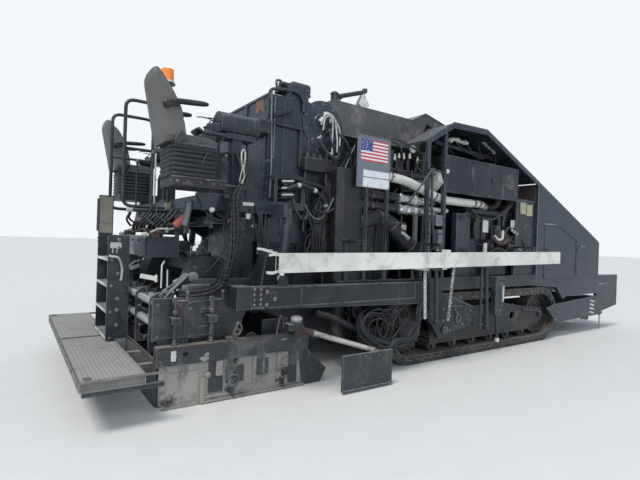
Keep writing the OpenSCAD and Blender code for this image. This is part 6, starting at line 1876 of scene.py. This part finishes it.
s = Shape()
for k in range(9):
    z = 0.275 - 0.029 * k
    s.ring((4.3, -1.362, z), AHEAD if k % 2 else LEFT, 0.014, 0.005, 12, 6)
for x in (3.58, 3.66, 3.72, 3.8):
    s.turned((x, -1.352, 0.29), DOWN, [(0.02, 0), (0.03, 0.012), (0.022, 0.04 + 0.02 * (x > 3.7))], 8)
s.box((4.27, -1.375, 0.285), (4.33, -1.345, 0.31), 0.004)
s.fixed_pair("safety_chain", "worn_steel")

s = Shape()
s.plate("y", -1.394, -1.384, [(2.2, 0.555), (2.45, 0.6), (4.1, 0.69), (4.16, 0.55), (4.17, 0.31),
                              (2.72, 0.275), (2.45, 0.36)])
s.box((4.0, -1.386, 0.4), (4.08, -0.952, 0.56), 0.006)
s.box((2.62, -1.386, 0.38), (2.72, -0.952, 0.52), 0.006)
s.box((4.16, -1.39, 0.31), (4.36, -1.33, 0.36), 0.006)
s.bolts(at_y(-1.394, ((2.4, 0.47), (2.6, 0.44), (2.6, 0.54), (3.95, 0.4), (3.95, 0.62))), RIGHT, 0.016)
s.fixed_pair("push_arm_skin", "slate_paint")

# Push arms, beam and rollers
s = Shape()
s.bolts(at_y(-0.95, ((2.68, 0.45), (2.68, 0.55), (3.2, 0.5), (4.5, 0.5), (4.7, 0.5))), RIGHT, 0.015)
s.bolts(grid(4.598, (-1.22, -0.9, -0.3), (0.46, 0.58)), BACK, 0.014)
s.bolts(grid(4.7, (-1.22, -1.15), (0.46, 0.58)), AHEAD, 0.014)
s.box((2.68, -0.955, 0.4), (4.7, -0.949, 0.42), 0.002)
s.fixed_pair("push_beam_bolts", "worn_steel")
for side in ("right", "left"):
    s = Shape()
    for y in (-0.16, -1.02):
        s.turned((4.904, y, 0.51), LEFT, [(0.0955, -0.006), (0.097, -0.004), (0.097, 0.004),
                                          (0.0955, 0.006)], 40)
    s.box((4.895, -0.62, 0.603), (4.913, -0.56, 0.609), 0.001)
    s.done("roller_bands_" + side, "push_roller_" + side, "worn_steel", None, side == "left")

# Hopper floor: slats, chains and the inner walls' ribs
s = Shape()
for k in range(19):
    x = 2.0 + 0.145 * k
    for y in (-0.575, 0.03):
        s.box((x, y, 0.741), (x + 0.045, y + 0.545, 0.765), 0.006)
for y in (-0.6, -0.01, 0.59):
    for k in range(38):
        x = 1.98 + 0.0725 * k
        s.box((x, y - 0.012, 0.742), (x + 0.052, y + 0.022, 0.775), 0.006)
s.fixed("hopper_slats", "conveyor_steel")

s = Shape()
for k in range(6):
    x = 2.1 + 0.38 * k
    z = roof_line(x)
    s.bar((x, -1.255, min(z, 1.68)), (x, -0.635, 0.8), 0.012, 0.05, 0.003)
s.fixed_pair("hopper_wall_seams", "conveyor_steel")

s = Shape()
for y in (-1.0, -0.5, 0.0, 0.5, 1.0):
    s.box((1.915, y - 0.03, 1.52), (1.935, y + 0.03, 2.64), 0.004)
s.box((1.848, -1.31, 2.655), (1.925, 1.31, 2.672), 0.004)
s.box((1.915, -0.66, 1.48), (1.945, 0.66, 1.53), 0.006)
s.bolts(grid(1.915, (-1.15, -0.75, -0.25, 0.25, 0.75, 1.15), (1.7, 2.1, 2.5)), AHEAD, 0.013)
s.fixed("hopper_rear_ribs", "conveyor_steel")

s = Shape()
for k in range(9):
    y = -0.56 + 0.14 * k
    s.box((1.925, y - 0.055, 1.1), (1.931, y + 0.055, 1.49), 0.002)
s.fixed("flow_curtain", "black_rubber")

# Tracks: links, pins, pad bolts
CHAIN_RADIUS = 0.416
SPROCKET_X, IDLER_X, AXLE_Z = -1.115, 2.085, 0.456
RUN = IDLER_X - SPROCKET_X
SHOES = 53
FIRST_PIN = 0.43


def on_loop(d):
    """Point and direction at a distance round the track's chain line."""
    r = CHAIN_RADIUS
    bend = pi * r
    if d < RUN:
        return V((SPROCKET_X + d, 0, AXLE_Z - r)), V(AHEAD)
    if d < RUN + bend:
        a = (d - RUN) / r
        return V((IDLER_X + r * sin(a), 0, AXLE_Z - r * cos(a))), V((cos(a), 0, sin(a)))
    if d < 2 * RUN + bend:
        return V((IDLER_X - (d - RUN - bend), 0, AXLE_Z + r)), V(BACK)
    a = (d - 2 * RUN - bend) / r
    return V((SPROCKET_X - r * sin(a), 0, AXLE_Z + r * cos(a))), V((-cos(a), 0, -sin(a)))


pitch = (2 * RUN + TURN * CHAIN_RADIUS) / SHOES
links, pads = Shape(), Shape()
for i in range(SHOES):
    d = (i + FIRST_PIN) * pitch
    p, t = on_loop(d)
    q = on_loop(d + pitch / 2)[0]
    out = V((t.z, 0, -t.x))
    for y, face in ((-1.3835, -1), (-0.9765, 1)):
        pin = p + V((0, y, 0)) - out * 0.03
        links.turned(pin, (0, face, 0), [(0.03, -0.004), (0.03, 0.0), (0.026, 0.003), (0.012, 0.004)], 12)
        strap = V((0, y - face * 0.001, 0)) - out * 0.03
        links.bar(p + strap + t * 0.02, q + strap + t * 0.03, 0.004, 0.04, 0.001)
    top = p + out * 0.0395
    # The shoes that stand on the ground show no pad bolts
    if d < RUN + 0.1:
        continue
    for y in (-1.33, -1.22, -1.14, -1.03):
        pads.turned(top + V((0, y, 0)), out, [(0.014, -0.002), (0.014, 0.0), (0.008, 0.0008)], 6)
links.both("track_links", "tractor", "track_steel", "track_steel")
pads.both("pad_bolts", "tractor", "track_steel", "worn_steel")

s = Shape()
for x in (-0.55, -0.05, 0.55, 1.15, 1.7):
    s.bolts([(x, -1.33, 0.66 if x < 1.5 else 0.6), (x + 0.12, -1.33, 0.66 if x < 1.5 else 0.6)], RIGHT,
            0.014)
s.ring((0.55, -1.331, 0.48), LEFT, 0.073, 0.006, 26, 6)
s.bolts([(SPROCKET_X + 0.115 * cos(a), -1.3, AXLE_Z + 0.115 * sin(a)) for a in angles(8)], RIGHT, 0.014)
s.turned((SPROCKET_X, -1.3, AXLE_Z), RIGHT, [(0.06, 0), (0.06, 0.02), (0.03, 0.03)], 20)
s.turned((IDLER_X, -1.35, AXLE_Z), RIGHT, [(0.05, 0), (0.05, 0.006), (0.02, 0.012)], 20)
s.tube([(1.55, -1.345, 0.56), (2.0, -1.345, 0.52)], 0.02, 8)
s.fixed_pair("track_frame_bolts", "frame_steel")

# What hangs under the white beam: rods, chains and the tow plates' parts
s = Shape()
for a, b, r in (((-0.888, -1.55, 1.3), (-0.851, -1.55, 0.6), 0.026),
                ((0.102, -1.55, 1.285), (0.1, -1.55, 0.48), 0.02),
                ((0.27, -1.5, 1.285), (0.318, -1.5, 0.425), 0.03),
                ((-0.975, -1.53, 1.27), (-0.95, -1.53, 0.8), 0.012)):
    s.tube([a, b], r, 10)
    s.turned(b, DOWN, [(r * 1.1, 0), (r * 1.5, 0.01), (r * 1.5, 0.05), (r, 0.06)], 12)
s.box((-1.0, -1.6, 1.255), (-0.84, -1.38, 1.28), 0.005)
s.box((0.22, -1.56, 1.285), (0.32, -1.38, 1.31), 0.005)
s.box((-0.66, -1.57, 1.28), (-0.54, -1.38, 1.305), 0.005)
s.box((0.03, -1.6, 1.285), (0.17, -1.38, 1.31), 0.005)
s.fixed("hanging_rods", "rail_steel")
chain = Shape()
for (x0, z0), (x1, z1) in (((-1.096, 1.27), (-1.065, 0.65)), ((-0.522, 1.29), (-0.61, 0.59))):
    for k in range(17):
        x, z = x0 + (x1 - x0) * k / 16, z0 + (z1 - z0) * k / 16
        chain.ring((x, -1.55, z), (1, 0.1, 0) if k % 2 else (0.1, 1, 0), 0.019, 0.0065, 10, 5)
        chain.tube([(x, -1.55, z + 0.018), (x, -1.55, z - 0.018)], 0.009, 5)
chain.box((-1.14, -1.59, 1.255), (-1.05, -1.38, 1.275), 0.005)
chain.fixed("hanging_chains", "bar_steel", "pale")

s = Shape()
s.bolts(at_y(-1.393, ((-0.35, 0.8), (-0.35, 0.5), (-0.15, 0.72), (0.08, 0.65), (0.08, 0.5), (-0.1, 0.46),
                      (-0.35, 0.42))), RIGHT, 0.015)
s.box((-0.4, -1.412, 0.72), (-0.12, -1.392, 0.74), 0.004)
s.hose([(-0.3, -1.4, 0.7), (-0.26, -1.43, 0.62), (-0.3, -1.44, 0.55), (-0.25, -1.44, 0.51),
        (-0.2, -1.44, 0.55), (-0.21, -1.43, 0.61)], 0.013, 0.015)
s.bar((-0.4, -1.4, 0.86), (0.13, -1.4, 0.69), 0.02, 0.03)
s.fixed_pair("tow_plate_parts", "worn_steel")

s = Shape()
s.turned((0.745, -1.428, 0.6), UP, [(0.037, 0), (0.042, 0.004), (0.042, 0.03), (0.037, 0.034)], 18)
s.turned((0.745, -1.428, 1.0), UP, [(0.037, 0), (0.042, 0.004), (0.042, 0.05), (0.037, 0.054)], 18)
s.hose([(0.78, -1.43, 1.03), (0.83, -1.44, 1.0), (0.84, -1.44, 0.85), (0.8, -1.44, 0.7),
        (0.775, -1.43, 0.66)], 0.012, 0.02)
s.bolts(grid((0.625, 0.67), -1.45, (0.62, 1.04)), RIGHT, 0.01)
s.fixed_pair("height_cylinder_trim", "slate_paint", "worn_steel")

s = Shape()
s.tube([(0.715, -1.425, 0.19), (0.7185, -1.425, 0.132)], 0.0335, 14)
s.box((0.795, -1.46, 0.74), (0.815, -1.435, 0.99), 0.003)
s.fixed_pair("height_cylinder_tip", "alloy", "pale")

# Spare hoses and cables that rest on the frame behind the track
for k in range(7):
    c = V((-1.6 - 0.05 * (k % 3), -1.2 - 0.02 * k, 0.72 + 0.03 * (k % 4)))
    pts = []
    for a in [TURN * j / 14 for j in range(15)]:
        wide = 0.3 * (1 + 0.08 * sin(3 * a + k))
        pts.append(c + V((wide * cos(a), 0.05 * sin(2 * a + k), 0.13 * sin(a) - 0.02 * k)))
    s = Shape().hose(pts, 0.012 + 0.003 * (k % 3), 0.04, 7)
    s.fixed("coiled_line_%d" % k, "black_rubber", "braid" if k % 2 else None)

s = Shape()
s.ribbed([(-1.3, -1.34, 0.94), (-1.42, -1.36, 0.88), (-1.56, -1.36, 0.74), (-1.62, -1.36, 0.58),
          (-1.75, -1.32, 0.5), (-2.0, -1.28, 0.55), (-2.3, -1.22, 0.68), (-2.5, -1.15, 0.74)], 0.045,
         0.03, 0.007, 12)
s.fixed("ribbed_line", "black_rubber")

s = Shape()
for x in (-1.95, -1.66, -1.36):
    s.box((x, -1.33, 0.5), (x + 0.03, -1.05, 0.53), 0.004)
    s.box((x, -1.08, 0.5), (x + 0.03, -1.05, 0.96), 0.004)
s.box((-2.0, -1.09, 0.68), (-1.3, -1.05, 0.71), 0.004)
s.fixed("line_hangers", "dark_paint")

# Fender beams, sign frame, roof, cover
s = Shape()
for x in (-2.25, -1.9, -1.45, -1.05, -0.45, 0.35, 0.95, 1.35, 1.75):
    s.bolts([(x, FACE_Y, 1.02), (x, FACE_Y, 1.09)], RIGHT, 0.01)
s.box((-2.35, -1.386, 1.118), (1.853, -1.376, 1.134), 0.003)
s.box((-2.35, -1.386, 0.978), (1.853, -1.378, 0.99), 0.003)
s.fixed_pair("fender_trim", "rail_steel")

s = Shape()
for lo, hi in (((-2.142, -1.384, 2.248), (-1.608, -1.379, 2.258)),
               ((-2.142, -1.384, 2.862), (-1.608, -1.379, 2.872)),
               ((-2.142, -1.384, 2.248), (-2.132, -1.379, 2.872)),
               ((-1.618, -1.384, 2.248), (-1.608, -1.379, 2.872))):
    s.box(lo, hi, 0.002)
s.bolts(grid((-1.965, -1.63), FACE_Y, (2.275, 2.5, 2.845)), RIGHT, 0.006)
s.fixed("sign_edges", "sign_sheet", "plate_grey")

s = Shape()
for x in (-1.985, -1.65):
    s.box((x - 0.02, -1.395, 1.13), (x + 0.06, -1.335, 1.145), 0.003)
    s.box((x + 0.005, -1.385, 1.6), (x + 0.035, -1.378, 2.2), 0.003)
for x in (-2.27, -1.01, 1.18):
    s.bolts(grid(x + 0.02, FACE_Y, (1.3, 1.45, 1.58)), RIGHT, 0.01)
s.box((-2.3, -1.345, 1.6), (-2.2, -1.2, 1.63), 0.004)
s.fixed("post_trim", "rail_steel")

s = Shape()
for x in (-1.65, -0.9):
    s.box((x, -1.385, 1.45), (x + 0.025, -1.36, 1.86 if x < -1 else 1.75), 0.003)
s.box((-1.65, -1.385, 1.84), (-1.3, -1.36, 1.86), 0.003)
s.box((-0.9, -1.385, 1.73), (-0.56, -1.36, 1.75), 0.003)
s.fixed("step_loops", "rail_steel")

s = Shape()
for x in (-2.05, -1.7, -1.3, -0.9):
    s.box((x, -0.904, 2.97), (x + 0.03, -0.897, 3.372), 0.002)
    s.box((x, 0.897, 2.97), (x + 0.03, 0.904, 3.372), 0.002)
    s.box((x, -0.88, 3.379), (x + 0.05, 0.88, 3.392), 0.004)
for y in (-0.903, 0.883):
    s.box((-2.16, y, 3.368), (-0.75, y + 0.02, 3.387), 0.003)
    s.box((-2.1, y, 2.955), (-0.6, y + 0.02, 2.968), 0.003)
s.bolts([(x, -0.9005, 3.34) for x in (-2.0, -1.85, -1.6, -1.45, -1.2, -1.05, -0.8)], RIGHT, 0.009)
s.bolts(grid((-2.0, -1.85, -1.6, -1.45, -1.2, -1.05, -0.8), 0.9005, 3.34), LEFT, 0.009)
s.box((-1.6, -0.3, 3.38), (-1.1, 0.3, 3.42), 0.01)
s.tube(at_y(-0.05, [(-1.45, 3.42), (-1.45, 3.46), (-1.25, 3.46), (-1.25, 3.42)]), 0.01, 8)
s.fixed("cover_ribs", "dusty_paint")

s = Shape()
s.bar((-0.47, -0.904, 3.525), (-0.03, -0.904, 3.427), 0.008, 0.016, 0.002)
s.bar((-0.74, -0.904, 3.382), (-0.465, -0.904, 3.53), 0.008, 0.016, 0.002)
s.bolts(at_y(-0.9, [(-0.46, 3.49), (-0.13, 3.43), (-0.6, 3.42)]), RIGHT, 0.01)
s.fixed("visor_trim", "dusty_paint")

roof = [(-0.935, 2.99), (-0.39, 3.31), (0.38, 3.336), (1.855, 2.71)]

s = Shape()
for (x0, z0), (x1, z1) in zip(roof, roof[1:]):
    for y in (-1.372, 1.372):
        s.bar((x0, y, z0 + 0.003), (x1, y, z1 + 0.003), 0.022, 0.01, 0.002)
    n = max(2, int((x1 - x0) / 0.16))
    for k in range(n):
        t = (k + 0.5) / n
        x, z = x0 + (x1 - x0) * t, z0 + (z1 - z0) * t - 0.04
        s.bolts([(x, FACE_Y, z)], RIGHT, 0.008)
        s.bolts([(x, -FACE_Y, z)], LEFT, 0.008)
for x in (0.45, 0.95, 1.45):
    z = roof_line(x)
    s.bar((x, -1.36, z + 0.004), (x, 1.36, z + 0.004), 0.03, 0.012, 0.002)
for y in (-0.95, 0.95):
    for x in (0.55, 1.1):
        z = roof_line(x + 0.2)
        s.tube([(x, y, z + 0.088), (x, y, z + 0.13), (x + 0.14, y, z + 0.07), (x + 0.14, y, z + 0.02)],
               0.01, 8)
s.fixed("roof_trim", "slate_paint")

s = Shape()
for k in range(9):
    x = 0.5 + 0.075 * k
    z = roof_line(x)
    s.bar((x, -0.35, z + 0.006), (x, 0.35, z + 0.006), 0.03, 0.012, 0.002)
s.fixed("roof_grille", "engine_iron")

# Averaging beam: sleeve, end wires, seams
s = Shape()
s.box((-0.935, -1.762, 1.3), (-0.86, -1.752, 1.53), 0.003)
s.box((-0.98, -1.7, 1.505), (-0.82, -1.62, 1.53), 0.004)
s.box((-3.352, -1.7585, 1.275), (-3.345, -1.682, 1.462), 0.002)
for x, z0 in ((-2.1, 1.29), (-0.2, 1.318), (1.0, 1.336)):
    s.box((x, -1.7585, z0), (x + 0.004, -1.7555, z0 + 0.186), 0.001)
for x in (-2.25, -0.99, 1.2):
    s.bolts([(x, -1.7575, 1.4 + (x + 3.355) * 0.0148)], RIGHT, 0.013)
s.fixed("beam_sleeve", "alloy")

s = Shape()
for pts in (((-3.352, -1.7, 1.458), (-3.43, -1.705, 1.47), (-3.5, -1.7, 1.492), (-3.57, -1.7, 1.5)),
            ((-3.352, -1.74, 1.44), (-3.4, -1.75, 1.448), (-3.47, -1.745, 1.44)),
            ((-3.352, -1.74, 1.29), (-3.42, -1.75, 1.276), (-3.49, -1.745, 1.278)),
            ((-3.352, -1.7, 1.28), (-3.4, -1.7, 1.262), (-3.45, -1.695, 1.27))):
    for a, b in zip(pts, pts[1:]):
        s.bar(a, b, 0.022, 0.006, 0.001)
s.box((-3.362, -1.756, 1.274), (-3.3582, -1.748, 1.458), 0.001)
s.box((-3.362, -1.692, 1.274), (-3.3582, -1.684, 1.458), 0.001)
s.fixed("beam_end_strips", "alloy")

# A dark sheet inside the beam's open end: painted shade of the hollow
s = Shape().box((-3.3602, -1.748, 1.276), (-3.3582, -1.692, 1.456), 0.0005)
s.fixed("beam_end_hollow", "engine_iron")

# Left side: tank lagging, straps, ladder rungs, pipework
s = Shape()
for x in (-2.15, -1.25, -0.35, 0.55, 1.42):
    s.box((x, 1.3185, 1.1), (x + 0.05, 1.3265, 2.58), 0.003)
    s.bolts(grid(x + 0.025, 1.326, (1.2, 1.8, 2.4)), LEFT, 0.01)
for z in (1.32, 2.36):
    s.box((-2.19, 1.3185, z), (1.49, 1.3245, z + 0.04), 0.002)
for x in (-1.6, 0.2):
    s.turned((x, 1.0, 2.619), UP, [(0.22, 0), (0.22, 0.03), (0.2, 0.04), (0.2, 0.07), (0.05, 0.08)], 30)
s.tube(at_y(1.05, [(-0.7, 2.61), (-0.7, 2.78), (0.9, 2.78), (0.9, 2.61)]), 0.03, 10)
s.fixed("tank_straps", "tank_paint")

s = Shape()
for z in (1.25, 1.55, 1.85, 2.15, 2.45):
    s.tube([(-2.203, 1.05, z), (-2.27, 1.05, z), (-2.27, 1.27, z), (-2.203, 1.27, z)], 0.012, 8)
s.hose([(1.5, 1.1, 1.4), (1.62, 1.15, 1.42), (1.68, 1.2, 1.2), (1.66, 1.2, 0.99)], 0.03, n=10)
s.box((0.9, 1.3265, 1.45), (1.2, 1.352, 1.95), 0.01)
s.turned((1.05, 1.352, 1.75), LEFT, [(0.06, 0), (0.06, 0.01), (0.05, 0.014)], 20)
for x in (-1.7, -1.5, -1.3):
    s.turned((x, 1.3265, 1.25), LEFT, [(0.03, 0), (0.03, 0.02), (0.015, 0.03), (0.015, 0.05)], 12)
s.fixed("tank_fittings", "rail_steel")

# Engine's upper side behind the locker, seen from the rear and the top
s = Shape()
s.box((0.25, -1.1, 2.151), (1.3, -0.72, 2.26), 0.012)
for k in range(6):
    s.turned((0.36 + 0.165 * k, -0.9, 2.26), UP, [(0.05, 0), (0.05, 0.02), (0.02, 0.03)], 12)
s.hose(at_y(-0.8, [(0.2, 2.2), (0.05, 2.32), (-0.02, 2.42)]), 0.06, n=12)
s.fixed("engine_top", "engine_iron")

s = Shape()
for x in (-0.46, -0.1):
    s.turned((x, -0.896, 2.56 if x < -0.3 else 2.6), RIGHT, [(0.05, 0), (0.06, 0.004), (0.02, 0.01)], 16)
s.bar((-0.6, -0.894, 2.5), (-0.02, -0.894, 2.6), 0.008, 0.02, 0.002)
s.fixed("air_cleaner_trim", "pale_paint")

# Tangle of old hoses behind the beam, over the rear sprocket, and the drive post beside it
s = Shape()
rnd = random.Random(31)
for k in range(16):
    a, b, c = rnd.uniform(-0.05, 0.05), rnd.uniform(-0.06, 0.06), rnd.uniform(-0.03, 0.02)
    s.hose([(-0.98 + a, -1.43 + c, 0.95 + b), (-1.06 + b, -1.47 + c, 0.72 + a),
            (-1.24 + a, -1.5 + c, 0.47 + b), (-1.5 + b, -1.52 + c, 0.36 + a),
            (-1.78 + a, -1.5 + c, 0.38 + b), (-2.02 + b, -1.46 + c, 0.52 + a),
            (-2.06 + a, -1.42 + c, 0.7 + b)], 0.008 + 0.005 * (k % 3), 0.06, 6)
for k in range(9):
    r = rnd.uniform(0.13, 0.24)
    s.tube(coil((-1.62 + rnd.uniform(-0.3, 0.25), -1.44 - 0.008 * k, 0.56 + rnd.uniform(-0.07, 0.07)),
                (0.1, 1, rnd.uniform(-0.1, 0.1)), r, 1.1, 0.02, rnd.uniform(0, 6), 20), 0.01, 6)
s.fixed_pair("hose_tangle", "black_rubber")

s = Shape()
s.turned((-2.09, -1.02, 0.4), UP, [(0.07, 0), (0.085, 0.01), (0.085, 0.45), (0.07, 0.47)], 24)
s.box((-2.22, -1.08, 0.86), (-1.96, -0.9, 0.92), 0.01)
s.bolts([(-2.2, -1.08, 0.89), (-1.98, -1.08, 0.89)], RIGHT, 0.012)
s.fixed_pair("drive_post", "frame_steel")
